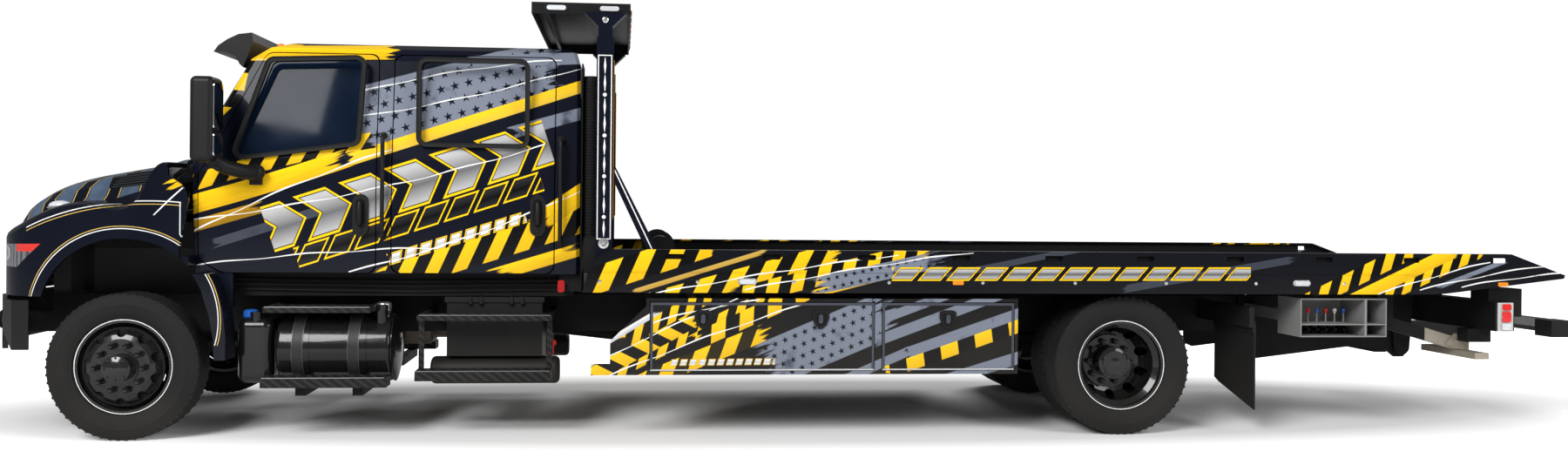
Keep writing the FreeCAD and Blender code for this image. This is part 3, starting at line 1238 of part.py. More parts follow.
def dashboard():
    """The dashboard with the steering column and wheel."""
    points = in_box(DASH_SHARES, DASH_FRONT, DASH_BOTTOM, DASH_DEPTH, DASH_HEIGHT)
    body = slab_y(points, -DASH_HALF_WIDTH, DASH_HALF_WIDTH).common(cab_body(CAB_WALL, CAB_ROOF))
    tilt = math.radians(STEERING_TILT)
    lean = vec(math.sin(tilt), 0, math.cos(tilt))
    foot = vec(DASH_FRONT + DASH_DEPTH / 2, -DRIVER_Y, DASH_BOTTOM + DASH_HEIGHT / 2)
    hub = foot + lean * (DASH_DEPTH / 2 + COLUMN_LENGTH)
    column = rod(foot, hub, COLUMN_RADIUS)
    rim = Part.makeTorus(STEERING_WHEEL_RADIUS, STEERING_RIM_RADIUS, hub, lean)
    boss = rod(hub - lean * STEERING_RIM_RADIUS, hub + lean * STEERING_RIM_RADIUS, STEERING_HUB_RADIUS)
    down = vec(math.cos(tilt), 0, -math.sin(tilt))
    thin = STEERING_RIM_RADIUS * SPOKE_SHARE
    spokes = [rod(hub, hub + ALONG_Y * STEERING_WHEEL_RADIUS, thin),
              rod(hub, hub - ALONG_Y * STEERING_WHEEL_RADIUS, thin),
              rod(hub, hub + down * STEERING_WHEEL_RADIUS, thin)]
    return joined([body, column, rim, boss] + spokes)


def seat(x, y, width, headrests):
    """One seat or bench: a base, a cushion, a leaning back and its headrests."""
    floor = CAB_BOTTOM + CAB_FLOOR
    top = floor + SEAT_BASE_HEIGHT + SEAT_CUSHION
    y0 = y - width / 2
    y1 = y + width / 2
    base = block(x + SEAT_ROUND, x + SEAT_DEPTH - SEAT_ROUND, y0 + SEAT_ROUND, y1 - SEAT_ROUND, floor,
                 floor + SEAT_BASE_HEIGHT + SEAT_ROUND)
    cushion = rounded_block(x, x + SEAT_DEPTH, y0, y1, floor + SEAT_BASE_HEIGHT, top, SEAT_ROUND)
    back_x = x + SEAT_DEPTH - SEAT_BACK_THICKNESS
    back = rounded_block(back_x, x + SEAT_DEPTH, y0, y1, top - SEAT_CUSHION, top + SEAT_BACK_HEIGHT,
                         SEAT_ROUND)
    pieces = [back]
    for place in headrests:
        pieces.append(rounded_block(back_x, x + SEAT_DEPTH, place - SEAT_HEADREST, place + SEAT_HEADREST,
                                    top + SEAT_BACK_HEIGHT - SEAT_ROUND,
                                    top + SEAT_BACK_HEIGHT + SEAT_HEADREST - SEAT_ROUND, SEAT_ROUND))
    for piece in pieces:
        piece.rotate(vec(back_x, 0, top - SEAT_CUSHION), ALONG_Y, SEAT_RECLINE)
    return joined([base, cushion] + pieces)


def seats():
    """Two front seats and a rear bench."""
    return Part.makeCompound([
        seat(FRONT_SEAT_STATION, -DRIVER_Y, SEAT_WIDTH, [-DRIVER_Y]),
        seat(FRONT_SEAT_STATION, DRIVER_Y, SEAT_WIDTH, [DRIVER_Y]),
        seat(REAR_SEAT_STATION, 0, REAR_BENCH_WIDTH, [-DRIVER_Y, DRIVER_Y]),
    ])


def sun_visor():
    """The outside visor over the windscreen, shaped to the roof's front edge."""
    points = in_box(VISOR_SHARES, VISOR_FRONT, VISOR_BOTTOM, VISOR_LENGTH, VISOR_HEIGHT)
    shape = slab_y(points, -VISOR_HALF_WIDTH, VISOR_HALF_WIDTH)
    return shape.cut(cab_body(-SEAT_GAP))


def mirror(side):
    """A door mirror: its head, the bent arm and the foot on the door."""
    head = rounded_block(MIRROR_FRONT, MIRROR_FRONT + MIRROR_DEPTH, MIRROR_INNER_Y,
                         MIRROR_INNER_Y + MIRROR_WIDTH,
                         MIRROR_BOTTOM, MIRROR_BOTTOM + MIRROR_HEIGHT, MIRROR_ROUND)
    half = MIRROR_FOOT_SIZE / 2
    foot_y = CAB_HALF_WIDTH
    foot = block(MIRROR_FOOT_STATION - half, MIRROR_FOOT_STATION + half, foot_y - MIRROR_FOOT_THICKNESS,
                 foot_y + MIRROR_FOOT_THICKNESS, MIRROR_FOOT_Z - half,
                 MIRROR_FOOT_Z + half).cut(cab_body(-SEAT_GAP))
    start = vec(MIRROR_FOOT_STATION, foot_y + MIRROR_FOOT_THICKNESS / 2, MIRROR_FOOT_Z)
    elbow = vec(MIRROR_FRONT + MIRROR_DEPTH, MIRROR_INNER_Y + MIRROR_WIDTH / 2, MIRROR_BOTTOM - MIRROR_ROUND)
    end = vec(MIRROR_FRONT + MIRROR_DEPTH / 2, MIRROR_INNER_Y + MIRROR_WIDTH / 2,
              MIRROR_BOTTOM + MIRROR_ROUND)
    arm = [rod(start, elbow, MIRROR_ARM_RADIUS), Part.makeSphere(MIRROR_ARM_RADIUS, elbow),
           rod(elbow, end, MIRROR_ARM_RADIUS)]
    return on_side(joined([head, foot] + arm), side)


# Tanks, steps and boxes between the axles

def fuel_tanks():
    """The round fuel tank with its straps and feet, the fluid tank ahead of it, and filler caps."""
    start = vec(TANK_FRONT, TANK_Y, TANK_Z)
    end = vec(TANK_FRONT + TANK_LENGTH, TANK_Y, TANK_Z)
    drum = rod(start, end, TANK_RADIUS)
    drum = drum.makeFillet(TANK_END_ROUND, [e for e in drum.Edges if e.Closed])
    pieces = [drum]
    for share in STRAP_SHARES:
        x = TANK_FRONT + share * TANK_LENGTH
        pieces.append(rod(vec(x, TANK_Y, TANK_Z), vec(x + STRAP_WIDTH, TANK_Y, TANK_Z),
                          TANK_RADIUS + STRAP_THICKNESS))
    cap_x = TANK_FRONT + TANK_LENGTH - FILLER_RADIUS * 2
    cap_y = TANK_Y + TANK_RADIUS / 2
    pieces.append(rod(vec(cap_x, cap_y, TANK_Z), vec(cap_x, cap_y, TANK_Z + TANK_RADIUS + FILLER_HEIGHT),
                      FILLER_RADIUS))
    low = DEF_BOTTOM
    fluid = rounded_block(DEF_FRONT, DEF_FRONT + DEF_LENGTH, TANK_Y - DEF_DEPTH / 2, TANK_Y + DEF_DEPTH / 2,
                          low,
                          low + DEF_HEIGHT, DEF_ROUND)
    cap_x = DEF_FRONT + DEF_LENGTH / 2
    cap_y = TANK_Y + DEF_DEPTH / 3
    cap = rod(vec(cap_x, cap_y, low + DEF_HEIGHT / 2), vec(cap_x, cap_y, low + DEF_HEIGHT + FILLER_RADIUS),
              FILLER_RADIUS)
    tie = block(cap_x - HANGER_PLATE, cap_x + HANGER_PLATE, FRAME_HALF_WIDTH, TANK_Y, FRAME_BOTTOM,
                FRAME_BOTTOM + HANGER_HEIGHT)
    shape = Part.makeCompound([joined(pieces), joined([fluid, cap, tie])])
    return mirrored(shape)


def exhaust():
    """The exhaust's treatment box on the right-hand side, with its pipe."""
    y0 = FRAME_HALF_WIDTH + HANGER_WIDTH
    y1 = y0 + EXHAUST_DEPTH
    z1 = FRAME_TOP - CROSS_TUBE_WIDTH
    z0 = z1 - EXHAUST_HEIGHT
    box = rounded_block(EXHAUST_FRONT, EXHAUST_FRONT + EXHAUST_LENGTH, y0, y1, z0, z1, SEAT_ROUND)
    ties = []
    for share in EXHAUST_TIE_SHARES:
        x = EXHAUST_FRONT + share * EXHAUST_LENGTH
        ties.append(block(x, x + HANGER_WIDTH, FRAME_HALF_WIDTH, y1 - SEAT_ROUND, z1 - CROSS_TUBE_WIDTH, z1))
    pipe_z = z0 + EXHAUST_PIPE_RADIUS + SEAT_ROUND
    pipe_y = (y0 + y1) / 2
    start = vec(EXHAUST_FRONT + EXHAUST_LENGTH / 2, pipe_y, pipe_z)
    bend = vec(EXHAUST_FRONT + EXHAUST_LENGTH + EXHAUST_PIPE_RADIUS * 1.2, pipe_y, pipe_z)
    outlet = vec(bend.x, y1 + EXHAUST_PIPE_RADIUS * 2, pipe_z)
    pipe = [rod(start, bend, EXHAUST_PIPE_RADIUS), Part.makeSphere(EXHAUST_PIPE_RADIUS, bend),
            rod(bend, outlet, EXHAUST_PIPE_RADIUS)]
    return joined([box] + ties + pipe)


def treads(front, length, top, reach, low_front, low_length, low_top, low_reach):
    """An upper and a lower tread on the right-hand side."""
    upper = block(front, front + length, UPPER_STEP_OUTER_Y - reach, UPPER_STEP_OUTER_Y,
                  top - STEP_THICKNESS, top)
    lower = block(low_front, low_front + low_length, STEP_OUTER_Y - low_reach, STEP_OUTER_Y,
                  low_top - LOWER_STEP_HEIGHT, low_top)
    return [upper, lower]


def rail_arms(front, length, top, reach):
    """The two bars that carry an upper tread out from the right-hand rail."""
    arms = []
    for x in (front, front + length - STEP_THICKNESS):
        arms.append(block(x, x + STEP_THICKNESS, FRAME_HALF_WIDTH, reach, top - STEP_THICKNESS, top))
    return arms


def cab_steps():
    """The treads under the cab's doors on both sides, with their bars and hanging posts."""
    upper, lower = treads(FRONT_STEP_FRONT, FRONT_STEP_LENGTH, FRONT_STEP_TOP, FRONT_STEP_DEPTH,
                          LOWER_STEP_FRONT, LOWER_STEP_LENGTH, LOWER_STEP_TOP, LOWER_STEP_DEPTH)
    front = joined([upper] + rail_arms(FRONT_STEP_FRONT, FRONT_STEP_LENGTH, FRONT_STEP_TOP,
                                       UPPER_STEP_OUTER_Y - FRONT_STEP_DEPTH))
    rear = treads(REAR_STEP_FRONT, REAR_STEP_LENGTH, REAR_STEP_TOP, REAR_STEP_DEPTH,
                  REAR_STEP_FRONT, REAR_STEP_LENGTH, REAR_LOWER_STEP_TOP, REAR_STEP_DEPTH)
    rear += rail_arms(REAR_STEP_FRONT, REAR_STEP_LENGTH, REAR_STEP_TOP, UPPER_STEP_OUTER_Y - REAR_STEP_DEPTH)
    post_y = STEP_OUTER_Y - REAR_STEP_DEPTH
    for x in (REAR_STEP_FRONT, REAR_STEP_FRONT + REAR_STEP_LENGTH - STEP_THICKNESS):
        rear.append(block(x, x + STEP_THICKNESS, post_y, post_y + STEP_PANEL_THICKNESS,
                          REAR_LOWER_STEP_TOP - LOWER_STEP_HEIGHT, REAR_STEP_TOP))
    return Part.makeCompound(pair(front) + pair(lower) + pair(joined(rear)))


def battery_box():
    """The battery box with its ribbed lid behind the rear steps, and the air tanks on both sides."""
    y0 = FRAME_HALF_WIDTH
    y1 = y0 + BATTERY_DEPTH
    low = BATTERY_TOP - BATTERY_HEIGHT
    body = block(BATTERY_FRONT, BATTERY_FRONT + BATTERY_LENGTH, y0, y1, low, BATTERY_TOP - BATTERY_LID)
    lip = BATTERY_LID_LIP
    lid = block(BATTERY_FRONT - lip, BATTERY_FRONT + BATTERY_LENGTH + lip, y0, y1 + lip,
                BATTERY_TOP - BATTERY_LID, BATTERY_TOP)
    start = vec(AIR_TANK_FRONT, AIR_TANK_Y, AIR_TANK_Z)
    tank = rod(start, start + ALONG_X * AIR_TANK_LENGTH, AIR_TANK_RADIUS)
    tank = tank.makeFillet(TANK_END_ROUND, [e for e in tank.Edges if e.Closed])
    saddle = block(BATTERY_FRONT, BATTERY_FRONT + BATTERY_LENGTH, y0, y0 + HANGER_PLATE, AIR_TANK_Z, low)
    shelf = block(BATTERY_FRONT, BATTERY_FRONT + BATTERY_LENGTH, y0, AIR_TANK_Y,
                  AIR_TANK_Z + AIR_TANK_RADIUS / 2, low)
    return Part.makeCompound(pair(joined([body, lid, tank, saddle, shelf])))


# Toolboxes

def toolbox_bays():
    """Start and end stations of the two bays of a toolbox."""
    split = TOOLBOX_FRONT + TOOLBOX_SPLIT
    return [(TOOLBOX_FRONT, split), (split, TOOLBOX_FRONT + TOOLBOX_LENGTH)]


def toolbox(side):
    """One long box in two bays, open at the side for its doors, with a slanted fairing ahead."""
    y1 = TOOLBOX_OUTER_Y
    y0 = y1 - TOOLBOX_DEPTH
    z0 = TOOLBOX_BOTTOM
    z1 = z0 + TOOLBOX_HEIGHT
    shape = block(TOOLBOX_FRONT, TOOLBOX_FRONT + TOOLBOX_LENGTH, y0, y1, z0, z1)
    wall = TOOLBOX_WALL
    rim = TOOLBOX_RIM
    beads = []
    for start, end in toolbox_bays():
        shape = shape.cut(block(start + wall, end - wall, y0 + wall, y1 - TOOLBOX_DOOR_THICKNESS - wall,
                                z0 + wall, z1 - wall))
        shape = shape.cut(block(start + rim, end - rim, y1 - TOOLBOX_DOOR_THICKNESS - wall * 2, y1 + OVERRUN,
                                z0 + rim, z1 - rim))
    edge = TOOLBOX_RIM + TOOLBOX_DOOR_GAP
    for start, end in toolbox_bays():
        beads.append(block(start + edge, end - edge, y1 - wall * 3, y1 - wall, z0 + rim,
                           z0 + edge - SEAT_GAP))
    fairing = in_box(FAIRING_SHARES, TOOLBOX_FRONT - FAIRING_LENGTH, z0, FAIRING_LENGTH, TOOLBOX_HEIGHT)
    pieces = [shape, slab_y(fairing, y1 - FAIRING_THICKNESS, y1)] + beads
    for share in STRAP_SHARES:
        x = TOOLBOX_FRONT + share * TOOLBOX_LENGTH
        pieces.append(block(x, x + TOOLBOX_ARM, FRAME_HALF_WIDTH, y0, FRAME_BOTTOM + TOOLBOX_ARM,
                            FRAME_BOTTOM + TOOLBOX_ARM * 2))
    return on_side(joined(pieces), side)


def toolboxes():
    """The boxes under both sides of the deck."""
    return Part.makeCompound([toolbox(RIGHT), toolbox(LEFT)])


def toolbox_door(bay, side):
    """A drop-down toolbox door, hinged along its lower edge."""
    start, end = toolbox_bays()[bay]
    edge = TOOLBOX_RIM + TOOLBOX_DOOR_GAP
    y1 = TOOLBOX_OUTER_Y
    panel = block(start + edge, end - edge, y1 - TOOLBOX_DOOR_THICKNESS, y1, TOOLBOX_BOTTOM + edge,
                  TOOLBOX_BOTTOM + TOOLBOX_HEIGHT - edge)
    return on_side(panel, side)


# Loading deck

def rail_outline(inset):
    """The side rail's outline, shrunk by inset on every side."""
    return in_box(RAIL_OUTLINE_SHARES, DECK_FRONT + inset, RAIL_BOTTOM + inset, DECK_LENGTH - 2 * inset,
                  RAIL_HEIGHT - 2 * inset)


def deck_rails():
    """The channel-section side rails with their lashing slots and the pressed groove."""
    inner = DECK_HALF_WIDTH - RAIL_WIDTH
    rail = slab_y(rail_outline(0), inner, DECK_HALF_WIDTH)
    rail = rail.cut(slab_y(rail_outline(RAIL_PLATE), inner - OVERRUN, DECK_HALF_WIDTH - RAIL_PLATE))
    rail = rail.cut(block(DECK_FRONT - OVERRUN, DECK_FRONT + DECK_LENGTH + OVERRUN,
                          DECK_HALF_WIDTH - GROOVE_DEPTH,
                          DECK_HALF_WIDTH + OVERRUN, GROOVE_Z, GROOVE_Z + GROOVE_HEIGHT))
    for i in range(SLOT_COUNT):
        x0 = DECK_FRONT + SLOT_FIRST + i * SLOT_SPACING
        points = [(x0, SLOT_Z), (x0 + SLOT_LENGTH, SLOT_Z), (x0 + SLOT_LENGTH, SLOT_Z + SLOT_HEIGHT),
                  (x0, SLOT_Z + SLOT_HEIGHT)]
        rail = rail.cut(slab_y(points, inner - OVERRUN, DECK_HALF_WIDTH + OVERRUN, SLOT_HEIGHT / 3))
    return Part.makeCompound(pair(rail))


def deck_floor():
    """The floor plate on its cross members and the two long beams that slide."""
    inner = DECK_HALF_WIDTH - RAIL_PLATE
    under = FLOOR_TOP - FLOOR_PLATE
    end = DECK_FRONT + DECK_LENGTH
    plate = block(DECK_FRONT + DECK_LIP, end - DECK_LIP, -inner, inner, under, FLOOR_TOP)
    pieces = [plate.cut(deck_rails())]
    beam_end = DECK_FRONT + DECK_LENGTH * DECK_TAIL_SHARE
    half = DECK_BEAM_WIDTH / 2
    pieces += pair(block(DECK_FRONT + DECK_LIP, beam_end, DECK_BEAM_Y - half, DECK_BEAM_Y + half,
                         DECK_BEAM_BOTTOM, under))
    reach = DECK_HALF_WIDTH - RAIL_WIDTH
    spacing = (beam_end - DECK_FRONT - DECK_LIP - DECK_CROSS_WIDTH) / (DECK_CROSS_COUNT - 1)
    for i in range(DECK_CROSS_COUNT):
        x0 = DECK_FRONT + DECK_LIP + i * spacing
        pieces.append(block(x0, x0 + DECK_CROSS_WIDTH, -reach, reach, DECK_CROSS_BOTTOM, under))
    return joined(pieces)


# Headboard, light wing and winch

def headboard():
    """Two posts with cross bars, a sheet between them and a brace behind each post."""
    x0 = POST_FRONT
    x1 = x0 + POST_LENGTH
    y0 = POST_OUTER_Y - POST_WIDTH
    post = block(x0, x1, y0, POST_OUTER_Y, FLOOR_TOP, POST_TOP)
    foot = BRACE_REACH + x1
    half = BRACE_WIDTH
    points = [(x1, BRACE_TOP_Z), (x1, BRACE_TOP_Z - half * 2), (foot - half, FLOOR_TOP),
              (foot + half / 2, FLOOR_TOP)]
    brace_y = y0 + (POST_WIDTH - BRACE_WIDTH) / 2
    brace = slab_y(points, brace_y, brace_y + BRACE_WIDTH)
    pieces = pair(post) + pair(brace)
    for share in CROSS_BAR_SHARES:
        z0 = BOARD_BOTTOM - CROSS_BAR + share * (BOARD_TOP - BOARD_BOTTOM + CROSS_BAR)
        pieces.append(block(x0, x0 + CROSS_BAR, -y0, y0, z0, z0 + CROSS_BAR))
    sheet_x = x0 + CROSS_BAR
    pieces.append(block(sheet_x, sheet_x + BOARD_THICKNESS, -y0, y0, BOARD_BOTTOM, BOARD_TOP))
    neck_x = (x0 + x1 - WING_NECK_LENGTH) / 2
    neck = block(neck_x, neck_x + WING_NECK_LENGTH, y0, POST_OUTER_Y - POST_WIDTH / 3, POST_TOP,
                 WING_BOTTOM - WING_BRACKET_HEIGHT)
    middle = neck_x + WING_NECK_LENGTH / 2
    start = middle - WING_BRACKET_LENGTH / 2
    saddle = [(start, WING_BOTTOM), (start + WING_BRACKET_LENGTH / 3, WING_BOTTOM - WING_BRACKET_HEIGHT * 2),
              (start + WING_BRACKET_LENGTH * 2 / 3, WING_BOTTOM - WING_BRACKET_HEIGHT * 2),
              (start + WING_BRACKET_LENGTH, WING_BOTTOM)]
    plate = slab_y(saddle, WING_HALF_WIDTH - POST_WIDTH / 2, POST_OUTER_Y - POST_WIDTH / 3)
    return joined(pieces + pair(neck) + pair(plate))


def light_wing():
    """The broad, shallow tray over the headboard, open below, that carries the warning lights."""
    x1 = WING_FRONT + WING_LENGTH
    top = WING_BOTTOM + WING_HEIGHT
    half = WING_HALF_WIDTH
    wall = WING_WALL
    tray = block(WING_FRONT, x1, -half, half, WING_BOTTOM, top)
    pocket = block(WING_FRONT + wall, x1 - wall, -half + wall, half - wall, WING_BOTTOM - OVERRUN,
                   top - wall)
    return tray.cut(pocket)


def winch():
    """The winch: a drum between two flanged stands on a base, with its motor and gear case."""
    x = WINCH_STATION
    base_top = FLOOR_TOP + WINCH_BASE
    z = base_top + WINCH_FLANGE_RADIUS + WINCH_FLANGE
    half = WINCH_HALF_WIDTH
    pieces = [block(x - WINCH_LENGTH / 2, x + WINCH_LENGTH / 2, -half - WINCH_MOTOR_LENGTH,
                    half + WINCH_FLANGE,
                    FLOOR_TOP, base_top),
              across(x, z, WINCH_DRUM_RADIUS, -half, half)]
    for side in (LEFT, RIGHT):
        pieces.append(across(x, z, WINCH_FLANGE_RADIUS, side * half, side * (half + WINCH_FLANGE)))
        pieces.append(block(x - WINCH_DRUM_RADIUS, x + WINCH_DRUM_RADIUS, side * half,
                            side * (half + WINCH_FLANGE),
                            base_top, z))
    pieces.append(across(x, z, WINCH_MOTOR_RADIUS, -half - WINCH_MOTOR_LENGTH, -half))
    pieces.append(block(x - WINCH_DRUM_RADIUS / 2, x + WINCH_DRUM_RADIUS / 2, -half - WINCH_MOTOR_LENGTH,
                        -half,
                        base_top, z))
    return joined(pieces)


# Tilting frame and what it carries

def tilt_beams():
    """The two long beams of the tilting frame, with the wear strips that the deck slides on."""
    y = DECK_BEAM_Y
    half = TILT_BEAM_WIDTH / 2
    top = TILT_BEAM_BOTTOM + TILT_BEAM_HEIGHT
    strip = DECK_BEAM_WIDTH / 3
    return pair(block(TILT_FRONT, TILT_REAR, y - half, y + half, TILT_BEAM_BOTTOM, top)) + pair(
        block(TILT_FRONT, TILT_REAR, y - strip, y + strip, top, DECK_BEAM_BOTTOM - SEAT_GAP))


def pivot_hangers():
    """The plates that hang from the beams' cross member to the pivot, and the pivot's pin."""
    y0 = TAIL_OUTER_Y + RUNNING_GAP
    y1 = y0 + PIVOT_HANGER_PLATE
    half = PIVOT_HANGER_LENGTH / 2
    top = TILT_BEAM_BOTTOM + TILT_BEAM_HEIGHT
    eye = PIVOT_PIN_RADIUS * 2
    points = [(PIVOT_STATION - half, top), (PIVOT_STATION - eye, PIVOT_Z), (PIVOT_STATION + eye, PIVOT_Z),
              (PIVOT_STATION + half, top)]
    plate = slab_y(points, y0, y1).fuse(across(PIVOT_STATION, PIVOT_Z, eye, y0, y1))
    pin = across(PIVOT_STATION, PIVOT_Z, PIVOT_PIN_RADIUS, FRAME_HALF_WIDTH - RUNNING_GAP, y1)
    return pair(plate.fuse(pin))


def tail_beam():
    """The rear cross beam with its hangers, end blocks and the blocks below it."""
    x0 = TILT_REAR - TAIL_BEAM_LENGTH
    x1 = TILT_REAR
    top = TAIL_BEAM_BOTTOM + TAIL_BEAM_HEIGHT
    pieces = [block(x0, x1, -TAIL_BEAM_HALF_WIDTH, TAIL_BEAM_HALF_WIDTH, TAIL_BEAM_BOTTOM, top)]
    y = TAIL_BLOCK_Y
    pieces += pair(block(x0, x1 + TAIL_BLOCK_LENGTH, y, y + TAIL_BLOCK_WIDTH, top - TAIL_BLOCK_LENGTH,
                         TAIL_BLOCK_TOP))
    y = BUMPER_BLOCK_Y
    end = x1 - TAIL_BEAM_LENGTH / 4
    pieces += pair(block(end - BUMPER_BLOCK_LENGTH, end, y, y + BUMPER_BLOCK_WIDTH,
                         TAIL_BEAM_BOTTOM - BUMPER_BLOCK_HEIGHT, TAIL_BEAM_BOTTOM))
    beam_half = TILT_BEAM_WIDTH / 2
    pieces += pair(block(x0, x1, DECK_BEAM_Y - beam_half, DECK_BEAM_Y + beam_half, top,
                         TILT_BEAM_BOTTOM + TILT_BEAM_HEIGHT))
    return pieces


def stabilizer_ears():
    """The outrigger across the tilting frame and the ears that hold the stabiliser."""
    x = STABILIZER_STATION
    half = STABILIZER_ARM_WIDTH
    top = TILT_BEAM_BOTTOM + TILT_BEAM_HEIGHT
    reach = STABILIZER_Y + STABILIZER_ARM_WIDTH / 2 + RUNNING_GAP + STABILIZER_EAR
    pieces = [block(x - half, x + half, -reach, reach, TILT_BEAM_BOTTOM, top)]
    for hand in (LEFT, RIGHT):
        inside = STABILIZER_Y + hand * (STABILIZER_ARM_WIDTH / 2 + RUNNING_GAP)
        ear = block(x - half, x + half, inside, inside + hand * STABILIZER_EAR, STABILIZER_Z,
                    TILT_BEAM_BOTTOM)
        boss = across(x, STABILIZER_Z, half, inside, inside + hand * STABILIZER_EAR)
        pieces += pair(ear.fuse(boss))
    pin_reach = STABILIZER_ARM_WIDTH / 2 + RUNNING_GAP + STABILIZER_EAR
    pieces += pair(across(x, STABILIZER_Z, STABILIZER_PIN_RADIUS, STABILIZER_Y - pin_reach,
                          STABILIZER_Y + pin_reach))
    return pieces


def lift_ears():
    """The ears under the tail beam that hold the wheel lift's boom, and its pin."""
    x = LIFT_PIVOT
    z = LIFT_PIVOT_Z
    radius = BOOM_HEIGHT / 2
    pieces = []
    for side in (LEFT, RIGHT):
        y0 = side * (BOOM_WIDTH / 2 + RUNNING_GAP)
        y1 = y0 + side * LIFT_EAR
        inside = TILT_REAR - TAIL_BEAM_LENGTH / 2
        points = [(x - radius, z), (x + radius, z), (inside, TAIL_BEAM_BOTTOM),
                  (inside, TAIL_BEAM_BOTTOM + TAIL_BEAM_HEIGHT),
                  (x - radius, TAIL_BEAM_BOTTOM + TAIL_BEAM_HEIGHT)]
        pieces += [slab_y(points, y0, y1), across(x, z, radius, y0, y1)]
    reach = BOOM_WIDTH / 2 + RUNNING_GAP + LIFT_EAR
    pieces.append(across(x, z, LIFT_PIN_RADIUS, -reach, reach))
    return pieces


def tilt_frame():
    """The frame that the deck slides on, with everything that tilts with it at the tail."""
    half = CROSS_TUBE_WIDTH / 2
    y = DECK_BEAM_Y
    pieces = tilt_beams() + tail_beam() + pivot_hangers() + stabilizer_ears() + lift_ears()
    low = TILT_BEAM_BOTTOM + TILT_LEDGE
    top = TILT_BEAM_BOTTOM + TILT_BEAM_HEIGHT
    for share in TILT_CROSS_SHARES:
        x0 = TILT_FRONT + share * (TILT_REAR - TILT_FRONT)
        pieces.append(block(x0, x0 + CROSS_TUBE_WIDTH, -y, y, low, top))
    reach = TAIL_OUTER_Y + RUNNING_GAP + PIVOT_HANGER_PLATE
    pieces.append(block(PIVOT_STATION - half, PIVOT_STATION + half, -reach, reach, low, top))
    cross = CYLINDER_EYE + CYLINDER_EYE_RADIUS * 2
    pieces.append(block(cross, cross + half, -y, y, low, top))
    inside = CYLINDER_EYE_WIDTH / 2 + SEAT_GAP
    for side in (LEFT, RIGHT):
        for hand in (LEFT, RIGHT):
            y0 = side * CYLINDER_Y + hand * inside
            y1 = y0 + hand * CYLINDER_LUG
            pieces.append(block(CYLINDER_EYE, cross, y0, y1, low, top))
            pieces.append(across(CYLINDER_EYE, CYLINDER_EYE_Z, CYLINDER_EYE_RADIUS, y0, y1))
    pieces.append(across(CYLINDER_EYE, CYLINDER_EYE_Z, CYLINDER_PIN_RADIUS, -y, y))
    return joined(pieces)


def tail_lamps():
    """The lamp plates on the ends of the tail beam and the lamps on its rear face."""
    x0 = TILT_REAR - (TAIL_BEAM_LENGTH + LAMP_PLATE_LENGTH) / 2
    z0 = TAIL_BEAM_BOTTOM + (TAIL_BEAM_HEIGHT - LAMP_PLATE_HEIGHT) / 2
    y0 = TAIL_BEAM_HALF_WIDTH
    y1 = y0 + LAMP_PLATE_THICKNESS
    middle = x0 + LAMP_PLATE_LENGTH / 2
    pieces = [block(x0, x0 + LAMP_PLATE_LENGTH, y0, y1, z0, z0 + LAMP_PLATE_HEIGHT)]
    centre = z0 + LAMP_PLATE_HEIGHT / 2
    pieces.append(across(middle, centre, LAMP_RADIUS, y0, y1 + LAMP_PROUD))
    for side in (LEFT, RIGHT):
        edge = centre + side * LAMP_PLATE_HEIGHT / 2
        inner = centre + side * (LAMP_RADIUS + LAMP_PROUD)
        pieces.append(block(middle - LAMP_RADIUS, middle + LAMP_RADIUS, y0, y1 + LAMP_PROUD, inner,
                            edge - side * LAMP_PROUD))
    back = TILT_REAR
    rear_z = TAIL_BEAM_BOTTOM + LAMP_RADIUS * 1.5
    rear = []
    for step in range(REAR_LAMP_COUNT):
        y = TAIL_BEAM_HALF_WIDTH - LAMP_RADIUS * 2 - step * LAMP_RADIUS * 3
        centre_point = vec(back, y, rear_z)
        rear += pair(rod(centre_point, centre_point + ALONG_X * LAMP_PROUD * 2, LAMP_RADIUS))
    return Part.makeCompound(pair(joined(pieces)) + rear)


# Tilt cylinders

def cylinder_direction():
    """The direction of the right-hand tilt cylinder, from its foot to the rod's eye."""
    line = vec(CYLINDER_EYE - CYLINDER_BASE, 0, CYLINDER_EYE_Z - CYLINDER_BASE_Z)
    line.normalize()
    return line


def cylinder_barrels():
    """The two barrels, each with its foot eye, open at the head for the rod."""
    foot = vec(CYLINDER_BASE, CYLINDER_Y, CYLINDER_BASE_Z)
    line = cylinder_direction()
    half = CYLINDER_EYE_WIDTH / 2
    eye = across(foot.x, foot.z, CYLINDER_EYE_RADIUS, CYLINDER_Y - half, CYLINDER_Y + half)
    tube_start = foot + line * CYLINDER_EYE_RADIUS / 2
    tube = rod(tube_start, foot + line * BARREL_END, CYLINDER_RADIUS)
    tube = tube.cut(rod(foot + line * CYLINDER_DEAD_LENGTH, foot + line * (BARREL_END + OVERRUN),
                        CYLINDER_BORE_RADIUS))
    lug_gap = block(foot.x - CYLINDER_RADIUS * 2, foot.x + CYLINDER_EYE_RADIUS + RUNNING_GAP, 0, FRAME_INNER,
                    0, FRAME_TOP)
    inner = foot.y - half
    slot = lug_gap.cut(block(foot.x - CYLINDER_RADIUS * 3, foot.x + CYLINDER_RADIUS * 3, inner,
                             inner + 2 * half, 0, FRAME_TOP))
    pin = across(foot.x, foot.z, CYLINDER_PIN_RADIUS, inner - CYLINDER_LUG, inner + 2 * half + CYLINDER_LUG)
    return Part.makeCompound(pair(joined([tube.cut(slot), eye, pin])))


